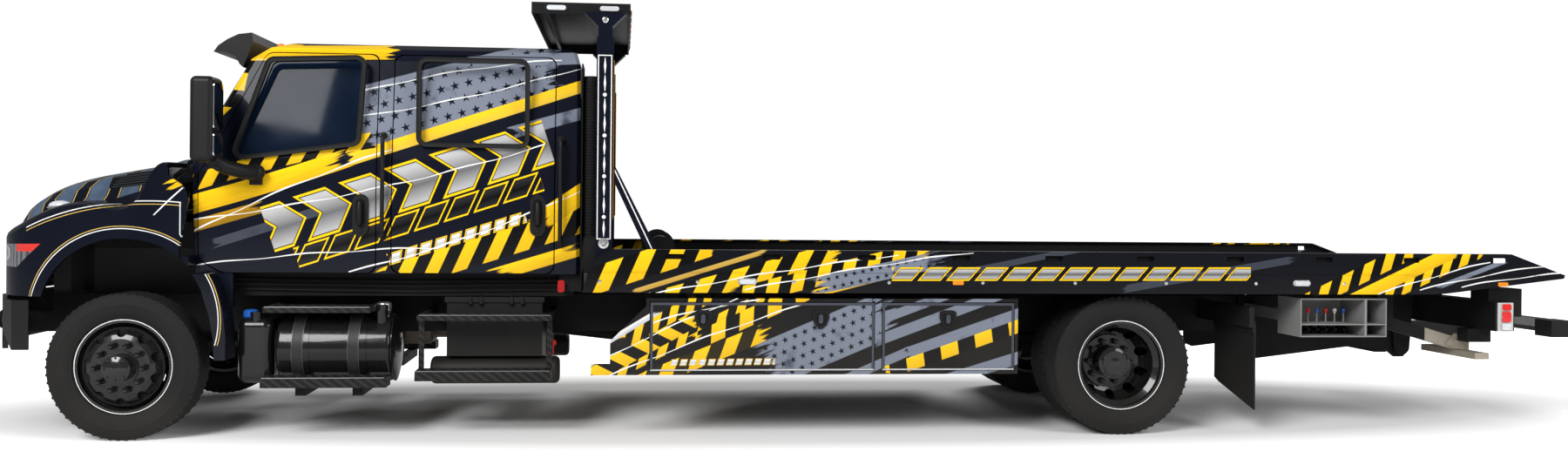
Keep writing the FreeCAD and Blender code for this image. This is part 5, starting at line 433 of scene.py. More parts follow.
FLANGE_OUT = 0.0955            # from a wheel's middle to its outer flange
wheel_paint = aged("black wheel enamel", (0.004, 0.004, 0.0045), 0.26, wear=0.3, dust=0.05, Coat_Weight=0.5)
ring_white = aged("white rim line", (0.80, 0.80, 0.79), 0.5, dust=0.1)
nut_cap = aged("black nut cover", (0.006, 0.006, 0.0065), 0.20, wear=0.3, dust=0.04, Coat_Weight=0.6)
drum_iron = aged("brake drum iron", (0.005, 0.005, 0.005), 0.8, wear=0.3, dust=0.03)
for word, side in SIDES:
    dress(wheel_paint, f"wheel_front_{word}", f"wheels_rear_{word}")
    for place, x, centres in WHEELS:
        line = Form().spin([(0.2935, -0.0012), (0.2985, -0.0012), (0.2985, 0.0022), (0.2935, 0.0022)],
                           (x, side * (centres[-1] + FLANGE_OUT), AXLE_Z), steps=96)
        line.place(f"{place}_rim_line_{word}", ring_white, wheel_body(place, word), "wheel_black")
    for place, x, y_face, reach, wide, drum_y in (("front", FRONT_X, 1.167, 0.072, 0.082, 1.100),
                                                  ("rear", REAR_X, 0.947, 0.118, 0.104, 0.820)):
        body = wheel_body(place, word)
        cover = Form().spin([(0.0001, 0.060), (0.010, 0.059), (0.016, 0.052), (0.0185, 0.040), (0.0205, 0.030),
                             (0.0205, 0.020), (0.0001, 0.020)], (0, 0, 0), steps=16, side=side)
        around.grow(f"{place}_nut_covers_{word}", cover, nut_cap, body, "wheel_black", Count=10, Radius=0.1429,
                    Centre=(x, side * y_face, AXLE_Z))
        cap = Form()
        cap.spin([(0.0001, reach + 0.020), (wide * 0.35, reach + 0.019), (wide * 0.72, reach + 0.012),
                  (wide * 0.9, reach + 0.004), (wide * 1.04, reach + 0.002), (wide * 1.04, reach - 0.016),
                  (0.0001, reach - 0.016)], (x, side * y_face, AXLE_Z), side=side)
        cap.place(f"{place}_hub_cover_{word}", nut_cap, body, "wheel_black")
        bolt = Form()
        bolt.spin([(0.0001, reach + 0.0155), (0.0055, reach + 0.0155), (0.0065, reach + 0.012),
                   (0.0065, reach + 0.001), (0.0001, reach + 0.001)], (0, 0, 0), steps=6, side=side)
        around.grow(f"{place}_hub_bolts_{word}", bolt, nut_cap, body, "wheel_black", Count=8, Radius=wide * 0.86,
                    Centre=(x, side * y_face, AXLE_Z))
        drum = Form().spin([(0.11, -0.012), (0.25, -0.012), (0.25, 0.012), (0.11, 0.012)],
                           (x, side * drum_y, AXLE_Z))
        drum.place(f"{place}_brake_drum_{word}", drum_iron, body, "wheel_black")

# Chassis: two black steel channels with the axles, springs and driveline, sprayed black and dusty from the road.
# The engine and exhaust are greyer. Channels with air lines run under the cab, and a red switch stands behind it.


def at(station, y, z):
    """A point given by its distance behind the front axle."""
    return station - STATION, y, z


def rounded(x0, z0, x1, z1, ease, parts=5):
    """A rectangle with round corners."""
    points = []
    for cx, cz, start in ((x1 - ease, z1 - ease, 0), (x0 + ease, z1 - ease, 90), (x0 + ease, z0 + ease, 180),
                          (x1 - ease, z0 + ease, 270)):
        for k in range(parts + 1):
            a = math.radians(start + 90 * k / parts)
            points.append((cx + ease * math.cos(a), cz + ease * math.sin(a)))
    return points


chassis_black = aged("chassis black", (0.005, 0.005, 0.0055), 0.55, wear=0.35, dust=0.07, Specular_IOR_Level=0.12)
engine_metal = aged("cast engine metal", (0.035, 0.035, 0.036), 0.6, wear=0.3, dust=0.10)
pipe_metal = aged("scaled exhaust steel", (0.20, 0.17, 0.14), 0.48, wear=0.35, grain=60, dust=0.25, Metallic=0.7)
dress(chassis_black, "frame", "driveline", "front_axle", "rear_axle", "leaf_springs", "knuckle_left",
      "knuckle_right", "tilt_frame", "cylinder_barrels")
dress(engine_metal, "engine")
dress(pipe_metal, "exhaust")
skirts, lines = Form(), Form()
for side in (-1, 1):
    skirts.box(at(0.40, side * 0.80, 0.895), at(2.79, side * 0.84, 1.046))
    for number in range(3):
        y, z = side * (0.852 + number * 0.010), 0.930 + number * 0.034
        lines.tube([at(0.46, y, z + 0.012), at(1.10, y, z), at(1.75, y, z - 0.006),
                    at(2.74, y, z + 0.008)], 0.008, 8)
skirts.box(at(2.700, -0.95, 0.935), at(2.846, 0.95, 1.045))
switch = Form().tube([at(2.660, -0.985, 0.520), at(2.660, -0.985, 0.580)], 0.009, 10)
switch.ball(at(2.660, -0.985, 0.598), (0.026, 0.016, 0.024))
switch.slab(rounded(2.690 - STATION, 0.930, 2.735 - STATION, 1.010, 0.012), -0.990, -0.982, 0.002)
skirts.place("under_cab_channels", chassis_black, "chassis", "frame_black")
lines.place("air_lines", chassis_black, "chassis", "frame_black")
signal_red = aged("red switch plastic", (0.36, 0.010, 0.009), 0.4, wear=0.15, dust=0.06)
switch.place("battery_switch", signal_red, "chassis", "box_black")

# Cab shell and doors: pressed steel sprayed gloss navy black, then wrapped in printed film: hazard tapes, a field
# of stars, grey stripes, slanted silver bars and thin bright wires, all rising towards the rear.
NAVY = (0.0040, 0.0055, 0.0120)
BLACK = (0.0030, 0.0030, 0.0035)
YELLOW = (0.90, 0.55, 0.008)
AMBER = (0.42, 0.22, 0.010)
OLD_GOLD = (0.50, 0.33, 0.075)
FLAG_GREY = (0.17, 0.19, 0.24)
SILVER = (0.45, 0.45, 0.45)
WHITE = (0.78, 0.78, 0.77)


class Wrap(Finish):
    """Gloss paint under a printed film. Each layer is laid over the last, by station and height in metres."""

    def __init__(self, name, ground=NAVY):
        super().__init__(name, roughness=0.25, Specular_IOR_Level=0.06, Coat_Weight=0.16, Coat_Roughness=0.05)
        self.s = self.x + STATION
        self.h = self.z
        self.colour = ground
        self.scratch = self.noise(5.5, 6.0)

    def lay(self, colour, mask):
        self.colour = self.mix(self.colour, colour, mask)

    def strip(self, start, end, width, bow=0.0, torn=0.0):
        """The share of a strip between two points, and the distances along it and across it."""
        (s0, h0), (s1, h1) = start, end
        length = math.hypot(s1 - s0, h1 - h0)
        run, rise = (s1 - s0) / length, (h1 - h0) / length
        along = (self.s - s0) * run + (self.h - h0) * rise
        across = (self.h - h0) * run - (self.s - s0) * rise
        if bow:
            across = across - along * (length - along) * (4 * bow / length ** 2)
        inside = self.edge(width / 2 - abs(across)) * self.edge(along) * self.edge(length - along)
        if torn:
            fibre = self.node("ShaderNodeCombineXYZ", None, {0: along * 2.2, 1: across * 34.0, 2: length})
            shred = self.noise(1.0, 3.0, fibre)
            ends = along.math("MINIMUM", length - along) / torn
            inside = inside * self.edge(ends * 0.7 + shred - 0.72, 14.0)
        return inside, along, across

    def tape(self, start, end, width, colour=YELLOW, shade=AMBER, bow=0.0, torn=0.3):
        """A plain strip of tape that fades to a darker edge."""
        inside, along, across = self.strip(start, end, width, bow, torn)
        fade = self.clamp(0.5 - across / width * 0.9)
        streak = self.noise(1.0, 2.0, self.node("ShaderNodeCombineXYZ", None, {0: along * 3.0, 1: across * 60.0}))
        self.lay(self.mix(colour, shade, self.clamp(fade * 0.55 + (streak - 0.5) * 0.6)), inside)

    def hazard(self, start, end, width, pitch=0.17, slant=-0.9, bow=0.0, torn=0.3, dark=BLACK):
        """A yellow tape with slanted dark blocks."""
        inside, along, across = self.strip(start, end, width, bow, torn)
        block = ((along + across * slant) / pitch).math("FRACT")
        fade = self.clamp(0.55 - across / width * 0.8)
        ink = self.edge((0.25 - abs(block - 0.5)) * pitch)
        self.lay(self.mix(self.mix(YELLOW, AMBER, fade * 0.45), dark, ink), inside)

    def grey(self, start, end, width, colour=FLAG_GREY, stars=0.0, bow=0.0, torn=0.2):
        """A worn grey stripe, with rows of dark stars where stars gives their size."""
        inside, along, across = self.strip(start, end, width, bow, torn)
        worn = self.edge(self.scratch - 0.36, 9.0)
        tone = self.mix((0.035, 0.042, 0.065), colour, self.clamp(worn * 0.9 + 0.08))
        if stars:
            pitch = stars * 2.9
            row = across / pitch + 40.0
            shift = (row.math("FLOOR") % 2.0) * 0.5
            cell = along / pitch + shift + 40.0
            u = (cell.math("FRACT") - 0.5) * pitch
            v = (row.math("FRACT") - 0.5) * pitch
            reach = (u * u + v * v) ** 0.5
            angle = u.math("ARCTAN2", v)
            fold = abs((angle + math.tau * 10.1) % (math.tau / 5) - math.tau / 10)
            tip = reach * fold.math("COSINE")
            side = reach * fold.math("SINE")
            star = self.edge((stars - tip) * 0.2245 - side * 0.691, 900.0)
            tone = self.mix(tone, NAVY, star)
        self.lay(tone, inside)

    def bars(self, start, end, height, pitch, share=0.74, slant=-0.35, rim=0.022, face=SILVER,
             low=(0.13, 0.13, 0.135), point=0.0):
        """A row of slanted bars or arrowheads, each with a dark keyline and a yellow edge."""
        inside, along, across = self.strip(start, end, height + rim * 2.4)
        place = (along + across * slant + abs(across) * point) / pitch
        part = abs(place.math("FRACT") - 0.5) * pitch
        far = (part - pitch * share / 2).math("MAXIMUM", abs(across) - height / 2)
        self.lay(YELLOW, inside * self.edge(rim - far))
        self.lay(BLACK, inside * self.edge(rim * 0.30 - far))
        glint = self.clamp(abs(across / height + 0.06) * 2.1)
        self.lay(self.mix(low, face, glint), inside * self.edge(0.0 - far))

    def wire(self, start, end, bow=0.0, thick=0.007, twist=0.55):
        """A thin bright line that swells and thins as a twisted wire does."""
        inside, along, across = self.strip(start, end, 0.06, bow)
        swell = (along * (math.tau / twist)).math("SINE")
        off = abs(across - swell * 0.005)
        self.lay(WHITE, inside * self.edge(thick * 0.55 + swell * thick * 0.2 - off, 500.0))

    def seal(self, dust=0.08):
        """Finishes the film with road dust near the ground and a very slight orange peel."""
        peel = self.noise(220.0, 2.0)
        low = self.clamp((1.15 - self.z) / 1.15)
        cloud = self.noise(2.1, 4.0)
        veil = self.clamp(low * cloud * (2 * dust))
        self.set(Base_Color=self.mix(self.colour, ROAD_DUST, veil),
                 Roughness=self.clamp(cloud * 0.10 + 0.20 + veil * 0.5), Normal=self.bump(peel, 0.00012))
        return self


cab_wrap = Wrap("cab wrap film")
cab_wrap.grey((1.26, 2.02), (2.72, 2.44), 0.40, stars=0.032, torn=0.30)
cab_wrap.grey((2.05, 2.44), (3.05, 2.50), 0.085)
cab_wrap.grey((2.35, 1.97), (3.00, 2.16), 0.080)
cab_wrap.grey((0.45, 1.22), (1.30, 1.50), 0.060, colour=(0.05, 0.055, 0.07))
cab_wrap.tape((1.30, 1.77), (3.00, 2.35), 0.080, shade=OLD_GOLD, torn=0.15)
cab_wrap.hazard((0.30, 1.60), (1.58, 1.93), 0.105, pitch=0.19, bow=0.030, torn=0.22)
cab_wrap.tape((0.20, 1.44), (1.45, 1.84), 0.120, bow=-0.015, torn=0.45)
cab_wrap.tape((0.25, 1.31), (0.95, 1.52), 0.075, colour=AMBER, shade=(0.10, 0.06, 0.01), torn=0.4)
cab_wrap.hazard((0.20, 1.86), (0.98, 2.66), 0.210, pitch=0.30, slant=0.8, torn=0.15)
cab_wrap.tape((0.62, 2.475), (1.66, 2.505), 0.105, torn=0.25)
cab_wrap.hazard((1.50, 0.98), (3.00, 1.46), 0.170, pitch=0.21, torn=0.4)
cab_wrap.tape((2.20, 1.02), (3.05, 1.28), 0.085, torn=0.5)
cab_wrap.tape((2.52, 1.36), (3.05, 1.72), 0.130, torn=0.35)
cab_wrap.bars((0.84, 1.33), (2.62, 1.92), 0.26, 0.300, share=0.56, slant=0.0, point=0.85)
cab_wrap.bars((1.02, 1.15), (2.58, 1.66), 0.100, 0.200, share=0.66, slant=-0.9, rim=0.016, face=(0.02, 0.02, 0.022),
              low=BLACK)
cab_wrap.bars((1.60, 1.14), (2.48, 1.425), 0.056, 0.100, share=0.56, slant=-0.5, rim=0.010, face=WHITE,
              low=(0.45, 0.45, 0.45))
cab_wrap.wire((0.30, 1.27), (1.62, 1.86), bow=0.03)
cab_wrap.wire((0.32, 1.38), (2.60, 1.90), bow=-0.05, thick=0.006)
cab_wrap.wire((1.30, 2.20), (2.70, 2.47), bow=0.04)
cab_wrap.wire((1.30, 2.05), (2.90, 2.44), bow=-0.03, thick=0.006)
cab_wrap.wire((1.35, 1.06), (2.95, 1.66), bow=-0.05)
cab_wrap.wire((0.40, 1.10), (1.90, 1.22), bow=0.02, thick=0.006)
pane_black = cab_wrap.strip((0.655, 1.825), (0.745, 2.375), 0.100)[0]
cab_wrap.lay((0.0025, 0.0050, 0.0110), pane_black)
cab_wrap.seal()
dress(cab_wrap, "cab_shell", "door_front_left", "door_front_right", "door_rear_left", "door_rear_right")

# Cab glass: dark tinted safety glass in the windscreen, front doors and back. The rear doors' panes are covered
# with the same printed film as the doors.
tinted = aged("dark tinted glass", (0.003, 0.008, 0.020), 0.05, wear=0.2, grain=3.0, depth=0.0, dust=0.01,
              Transmission_Weight=0.05, IOR=1.5, Specular_IOR_Level=0.07)
dress(tinted, "cab_glass", "door_glass_front_left", "door_glass_front_right")
dress(cab_wrap, "door_glass_rear_left", "door_glass_rear_right")

# Behind the cab: on each side a black steel backing plate, and two ribbed rubber hoses held by clips that climb
# the cab's back.

# A tree that sets copies along a straight row.
along_row = Growth("copies along a row", First="Vector", Step="Vector")
along_row.end(along_row.node("GeometryNodeMeshLine", None, {
    "Count": along_row.take("Count"), "Start Location": along_row.take("First"), "Offset": along_row.take("Step")}))

HOSE_S, HOSE_YS = 2.898, (0.93, 0.82)
back_plates, hoses = Form(), Form()
for side in (-1, 1):
    back_plates.box(at(2.836, side * 0.66, 0.93), at(2.846, side * 1.00, 2.44), 0.003)
    for y in HOSE_YS:
        hoses.tube([at(HOSE_S, side * y, 1.27), at(HOSE_S, side * y, 2.36)], 0.046, 20)
        for z in (1.29, 2.34):
            hoses.box(at(2.840, side * y - 0.018, z - 0.012),
                      at(2.900, side * y + 0.018, z + 0.012), 0.002)
back_plates.place("cab_back_plates", chassis_black, "chassis", "trim_black")
hoses.place("cab_back_hoses", rubber, "chassis", "trim_black")
for word, side in SIDES:
    for number, y in enumerate(HOSE_YS):
        rib = Form().spin([(0.045, -0.007), (0.052, -0.003), (0.052, 0.003), (0.045, 0.007)], (0, 0, 0), axis="Z",
                          steps=20)
        along_row.grow(f"hose_ribs_{number}_{word}", rib, rubber, "chassis", "trim_black", Count=52,
                       First=at(HOSE_S, side * y, 1.30), Step=(0.0, 0.0, 0.020))

# Window rubbers: black extruded rubber pressed round each door's pane. Each follows its pane's own outline and
# opens with its door.
seal_rubber = aged("window rubber", (0.007, 0.007, 0.0075), 0.6, wear=0.3, dust=0.03)


def outline(node, across=0, keep=lambda p: True):
    """The outer line of a pane in Z and the axis across it."""
    points = sorted({(round(v.co[across], 4), round(v.co.z, 4)) for v in nodes[node].data.vertices if keep(v.co)})
    hull = []
    for way in (points, points[::-1]):
        part = []
        for p in way:
            while len(part) > 1 and ((part[-1][0] - part[-2][0]) * (p[1] - part[-2][1])
                                     - (part[-1][1] - part[-2][1]) * (p[0] - part[-2][0])) <= 0:
                part.pop()
            part.append(p)
        hull += part[:-1]
    return hull


def grown_line(line, out):
    """A convex line moved outwards by a distance."""
    cx = sum(p[0] for p in line) / len(line)
    cz = sum(p[1] for p in line) / len(line)
    moved = []
    for i, p in enumerate(line):
        a, b = line[i - 1], line[(i + 1) % len(line)]
        dx, dz = b[0] - a[0], b[1] - a[1]
        size = math.hypot(dx, dz) or 1.0
        nx, nz = dz / size, -dx / size
        if nx * (p[0] - cx) + nz * (p[1] - cz) < 0:
            nx, nz = -nx, -nz
        moved.append((p[0] + nx * out, p[1] + nz * out))
    return moved


def rubber_ring(form, line, y_in, y_out, inner=-0.010, outer=0.020):
    """A flat ring with eased edges along a pane's line."""
    lines = [(grown_line(line, inner), y_in), (grown_line(line, inner), y_out - 0.002),
             (grown_line(line, inner + 0.003), y_out), (grown_line(line, outer - 0.004), y_out),
             (grown_line(line, outer), y_out - 0.004), (grown_line(line, outer), y_in)]
    form.skin([[form.mesh.verts.new((x, y, z)) for x, z in points] for points, y in lines])


SKIN = 1.012                  # the cab side's distance from the middle
for word, side in SIDES:
    for place in ("front", "rear"):
        ring = Form()
        line = outline(f"door_glass_{place}_{word}")
        rubber_ring(ring, line, side * (SKIN - 0.020), side * (SKIN + 0.009))
        ring.place(f"{place}_window_rubber_{word}", seal_rubber, f"door_{place}_{word}", "trim_black", crease=50)

# Door furniture: moulded black pull handles on oval plates with painted shade behind the grip, each with a round
# lock below, and black steel grab bars bolted to the pillars behind each door.
moulding = aged("black moulded plastic", (0.007, 0.007, 0.0075), 0.42, wear=0.25, grain=150.0, dust=0.04)
dress(moulding, "sun_visor", "mirror_left", "mirror_right")


def handle(form, side, middle, low, high, handle_shade):
    """A plate with a vertical grip that stands off it and a lock below, and an oval of painted shade behind the grip.
    """
    form.slab(rounded(middle - 0.050, low, middle + 0.050, high, 0.046), side * (SKIN - 0.004), side * (SKIN + 0.010),
              0.004)
    grip = [(middle, side * (SKIN + 0.004), high - 0.045), (middle, side * (SKIN + 0.034), high - 0.060),
            (middle, side * (SKIN + 0.046), high - 0.100), (middle, side * (SKIN + 0.046), low + 0.115),
            (middle, side * (SKIN + 0.036), low + 0.085), (middle, side * (SKIN + 0.004), low + 0.072)]
    form.tube(grip, 0.015, 12)
    form.spin([(0.0001, 0.016), (0.012, 0.016), (0.015, 0.013), (0.015, 0.002), (0.0001, 0.002)],
              (middle, side * SKIN, low + 0.034), steps=20, side=side)
    # A flat darker oval, proud of the plate, is painted shade where a dish would be.
    handle_shade.slab(rounded(middle - 0.030, low + 0.075, middle + 0.030, high - 0.030, 0.028), side * (SKIN + 0.0085),
              side * (SKIN + 0.0125))


# A flat near-black used as painted shade: behind the handle grips, on the latch faces and behind the rail slots.
shade_black = aged("shadowed recess", (0.003, 0.003, 0.003), 0.8, wear=0.2, dust=0.05)
for word, side in SIDES:
    for place, station, low in (("front", 1.424, 1.292), ("rear", 2.558, 1.298)):
        pull, handle_shade = Form(), Form()
        handle(pull, side, station - STATION, low, low + 0.272, handle_shade)
        pull.place(f"{place}_door_handle_{word}", moulding, f"door_{place}_{word}", "trim_black")
        handle_shade.place(f"{place}_handle_recess_{word}", shade_black, f"door_{place}_{word}", "trim_black")
    for number, (station, low, high) in enumerate(((1.568, 1.290, 1.945), (2.705, 1.252, 1.935))):
        bar = Form()
        x, y = station - STATION, side * (SKIN + 0.050)
        path = [(x, side * (SKIN - 0.004), low), (x, side * (SKIN + 0.034), low + 0.004), (x, y, low + 0.028),
                (x, y, low + 0.060), (x, y, high - 0.060), (x, y, high - 0.028),
                (x, side * (SKIN + 0.034), high - 0.004), (x, side * (SKIN - 0.004), high)]
        bar.tube(path, 0.0135, 12)
        for z in (low, high):
            bar.spin([(0.0001, 0.010), (0.021, 0.009), (0.024, -0.003), (0.0001, -0.003)], (x, side * SKIN, z),
                     steps=18, side=side)
        bar.place(f"grab_bar_{number}_{word}", moulding, "chassis", "trim_black")

# Mirrors: tall black plastic heads on thick moulded arms. Each carries a tall flat glass and, below it, a low
# wide-angle one.
mirror_glass = aged("silvered glass", (0.75, 0.77, 0.80), 0.04, wear=0.02, depth=0.0, dust=0.02, Metallic=1.0)
back = 0.600 - STATION         # the rear faces of both heads
for word, side in SIDES:
    face = Form()
    for z0, z1 in ((1.955, 2.245), (1.785, 1.935)):
        face.slab([(side * y, z) for y, z in rounded(1.152, z0, 1.333, z1, 0.022)], back - 0.004, back + 0.003, axis=0)
    face.place(f"mirror_glass_{word}", mirror_glass, f"door_front_{word}", "trim_black")
    arm = Form()
    arm.tube([at(0.500, side * 1.235, 1.820), at(0.560, side * 1.230, 1.765),
              at(0.640, side * 1.195, 1.722), at(0.720, side * 1.130, 1.700),
              at(0.775, side * 1.060, 1.697)], 0.046, 14)
    arm.ball(at(0.775, side * 1.055, 1.697), (0.062, 0.046, 0.054))
    arm.place(f"mirror_arm_{word}", moulding, f"door_front_{word}", "trim_black")

# Roof lamps: five round amber marker lamps stand in a row across the roof, just behind the moulded sun visor.
# Each is a low plastic dome.
amber_lens = aged("amber lens", (0.75, 0.22, 0.01), 0.15, wear=0.15, grain=200, dust=0.03, Coat_Weight=0.6)
marker = Form()
marker.spin([(0.0001, 0.016), (0.012, 0.015), (0.022, 0.010), (0.027, 0.000), (0.027, -0.006), (0.0001, -0.006)],
            (0, 0, 0), axis="Z", steps=20)
along_row.grow("roof_marker_lamps", marker, amber_lens, "chassis", "trim_black", Count=5,
               First=at(0.80, -0.56, 2.565), Step=(0.0, 0.28, 0.0))

# Windscreen: the wide laminated pane in front sits in a black rubber. Two black wipers are parked along its foot.
screen = [v.co for v in nodes["cab_glass"].data.vertices if v.co.x < -3.0]
foot = min(screen, key=lambda p: p.x)
head = min((p for p in screen if p.z > max(q.z for q in screen) - 0.02), key=lambda p: p.x)
lean = (head.x - foot.x) / (head.z - foot.z)


def on_screen(y, z, off=-0.022):
    """A point off the windscreen's sloping face."""
    return (foot.x + lean * (z - foot.z) + off, y, z)


ring = Form()
pane = outline("cab_glass", across=1, keep=lambda p: p.x < -3.0)
lines = [(grown_line(pane, -0.012), 0.004), (grown_line(pane, -0.010), -0.008), (grown_line(pane, 0.022), -0.008),
         (grown_line(pane, 0.026), 0.006)]
ring.skin([[ring.mesh.verts.new(on_screen(y, z, out)) for y, z in points] for points, out in lines])
ring.place("windscreen_rubber", seal_rubber, "chassis", "trim_black", crease=50)
wipers = Form()
base, tip_z = foot.z - 0.005, foot.z + 0.055
for pivot, tip in ((-0.62, -0.05), (0.10, 0.66)):
    wipers.tube([on_screen(pivot, base), on_screen(pivot + 0.02, base + 0.02, -0.034),
                 on_screen((pivot + tip) / 2, (base + tip_z) / 2 + 0.03, -0.032)], 0.008, 8)
    wipers.tube([on_screen(pivot + 0.05, base + 0.045, -0.020), on_screen(tip, tip_z + 0.035, -0.020)], 0.009, 6)
wipers.place("wipers", moulding, "chassis", "trim_black")

# Hood: one moulded shell of hood and fenders that tilts forward, painted gloss navy black. Its top carries
# slanted blue-grey stripes with gold pinstripes, and thin white and gold lines follow the fender and its arch.
# The grille's bars, the fluted headlamps, six intake slats and a small fender lamp on each side tilt with it.
STRIPE_BLUE = (0.085, 0.125, 0.19)
GOLD = (0.62, 0.42, 0.10)
hood_film = Wrap("hood film", ground=(0.0035, 0.0050, 0.0110))
STRIPE_PITCH = 0.235
cell = ((hood_film.s + abs(hood_film.y) * 0.55) / STRIPE_PITCH).math("FRACT")
crease = hood_film.clamp((hood_film.s + 0.67) * 1.1) * 0.20 + hood_film.s * 0.10 + 1.395
top = hood_film.edge(hood_film.h - crease - 0.035) * hood_film.edge(0.860 - abs(hood_film.y))
worn = hood_film.clamp(hood_film.noise(14.0, 6.0) * 1.5 - 0.25)
hood_film.lay(hood_film.mix((0.045, 0.065, 0.10), STRIPE_BLUE, worn),
              top * hood_film.edge(0.275 - abs(cell - 0.5), 60.0))
for middle in (0.815, 0.185):
    hood_film.lay(GOLD, top * hood_film.edge(0.012 - abs(cell - middle), 90.0))
arch = (hood_film.s * hood_film.s + (hood_film.h - 0.752) * (hood_film.h - 0.752)) ** 0.5
side_face = hood_film.edge(abs(hood_film.y) - 0.90)
upper = side_face * hood_film.edge(hood_film.h - 0.60)
hood_film.lay(WHITE, upper * hood_film.edge(0.0028 - abs(arch - 0.582), 600.0))
hood_film.lay(GOLD, upper * hood_film.edge(0.0022 - abs(arch - 0.597), 600.0))
for lift, colour, half in ((0.0, WHITE, 0.0030), (-0.020, GOLD, 0.0022)):
    inside, _, across = hood_film.strip((-0.60, 1.335 + lift), (0.34, 1.500 + lift), half * 2, bow=0.065)
    hood_film.lay(colour, side_face * inside)
for start, end in (((0.335, 1.500), (0.335, 1.30)), ((0.335, 1.30), (0.44, 1.12))):
    hood_film.lay(WHITE, side_face * hood_film.strip(start, end, 0.006)[0])
hood_film.tape((0.22, 1.585), (0.46, 1.690), 0.060, torn=0.25)
hood_film.lay(BLACK, hood_film.edge(0.90 - abs(hood_film.y))
              * hood_film.strip((-0.235, 1.628), (0.085, 1.668), 0.085)[0])
hood_film.wire((0.18, 1.42), (0.42, 1.66), thick=0.006)
hood_film.seal()
dress(hood_film, "hood", "fender_extensions")

bay_black = aged("grille black", (0.005, 0.005, 0.0055), 0.4, wear=0.3, grain=120, dust=0.06)
dress(bay_black, "grille", "front_bumper")
bright = aged("polished steel", (0.62, 0.62, 0.61), 0.22, wear=0.1, grain=120.0, dust=0.1, Metallic=0.9)
glow = aged("clear lamp lens", (0.55, 0.57, 0.60), 0.08, wear=0.1, grain=30, depth=0.0, dust=0.05, Coat_Weight=1.0)
lens = Finish("headlamp", roughness=0.08, Coat_Weight=1.0)
flute = (lens.y * 260.0).math("SINE")
# Pale rings round each lamp spot are chrome reflectors, partly their own silver and partly a painted reflection. The
# flutes are painted lighter on their crests and darker in their troughs, a painted shading that follows their bump.
chrome_rings_and_glints = 0.0
for sign in (-1, 1):
    for spot in (0.79, 0.93):
        away = ((lens.y - sign * spot) * (lens.y - sign * spot) + (lens.z - 1.17) * (lens.z - 1.17)) ** 0.5
        chrome_rings_and_glints = lens.edge(0.045 - away) * (1.0 - lens.edge(0.030 - away) * 0.85) + chrome_rings_and_glints
shell = lens.mix((0.03, 0.03, 0.035), (0.60, 0.62, 0.66), lens.clamp(chrome_rings_and_glints * 0.9 + flute * 0.10 + 0.12))
red_end = lens.edge((lens.x + STATION) + 0.68) * lens.edge(lens.z - 1.185)
lens.set(Base_Color=lens.mix(shell, (0.62, 0.03, 0.02), red_end), Normal=lens.bump(flute, 0.0008))
dress(lens, "headlamps")

touch_trees = {}


def touch(node, start, way):
    """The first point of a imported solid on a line, and its outward normal."""
    if node not in touch_trees:
        data = nodes[node].data
        touch_trees[node] = BVHTree.FromPolygons([v.co[:] for v in data.vertices],
                                                 [p.vertices[:] for p in data.polygons])
    point, normal, _, _ = touch_trees[node].ray_cast(Vector(start), Vector(way).normalized())
    if normal.dot(Vector(way)) > 0:
        normal = -normal
    return point, normal


slat = Form()
for side in (-1, 1):
    for k in range(6):
        path = []
        for step in range(7):
            s = -0.215 + k * 0.012 + step * 0.044
            z = 1.592 + k * 0.016 + (s + 0.215) * 0.12
            point, normal = touch("hood", at(s, side * 1.6, z), (0, -side, 0))
            path.append(point + normal * 0.004)
        slat.tube(path, 0.0055, 6)
slat_grey = aged("intake slat grey", (0.020, 0.022, 0.026), 0.35, wear=0.3, dust=0.05)
slat.place("hood_louvres", slat_grey, "hood", "grille_black")
for word, side in SIDES:
    point, normal = touch("hood", at(-0.485, side * 0.88, 3.0), (0, 0, -1))
    lamp = Form().ball(point + Vector((0, 0, 0.012)), (0.075, 0.040, 0.036))
    lamp.place(f"hood_lamp_{word}", glow, "hood", "headlamp_lens")
    base = Form().ball(point + Vector((0, 0, 0.002)), (0.084, 0.048, 0.020))
    base.place(f"hood_lamp_base_{word}", bright, "hood", "headlamp_lens")

grille_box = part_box("grille")
bar = Form().box((grille_box[0].x + 0.012, -0.002, 0.975), (grille_box[0].x + 0.020, 0.002, 1.170))
along_row.grow("grille_mesh", bar, bay_black, "hood", "grille_black", Count=45, First=(0.0, -0.44, 0.0),
               Step=(0.0, 0.02, 0.0))

# Front bumper: pressed steel, black, with a round fog lamp let into each side. A blank white plate hangs in its
# middle.
fog, fog_rim = Form(), Form()
for side in (-1, 1):
    point, _ = touch("front_bumper", (-6.5, side * 0.78, 0.735), (1, 0, 0))
    fog.spin([(0.0001, -0.004), (0.030, -0.003), (0.046, 0.002), (0.046, 0.012), (0.0001, 0.012)], point, axis="X",
             steps=28)
    fog_rim.spin([(0.046, -0.003), (0.056, -0.004), (0.060, 0.001), (0.060, 0.012), (0.046, 0.012)], point, axis="X",
                 steps=28)
fog.place("fog_lamps", glow, "chassis", "bumper_black")
fog_rim.place("fog_lamp_rims", moulding, "chassis", "bumper_black")
PLATE_HALF, PLATE_HEIGHT = 0.152, 0.150
plate_white = aged("blank plate", (0.62, 0.63, 0.63), 0.45, wear=0.08, grain=60, dust=0.2)
point, _ = touch("front_bumper", (-6.5, 0.0, 0.74), (1, 0, 0))
plate = Form().box((point.x - 0.006, -PLATE_HALF, 0.665), (point.x + 0.004, PLATE_HALF, 0.665 + PLATE_HEIGHT), 0.002)
plate.place("front_plate", plate_white, "chassis", "bumper_black")

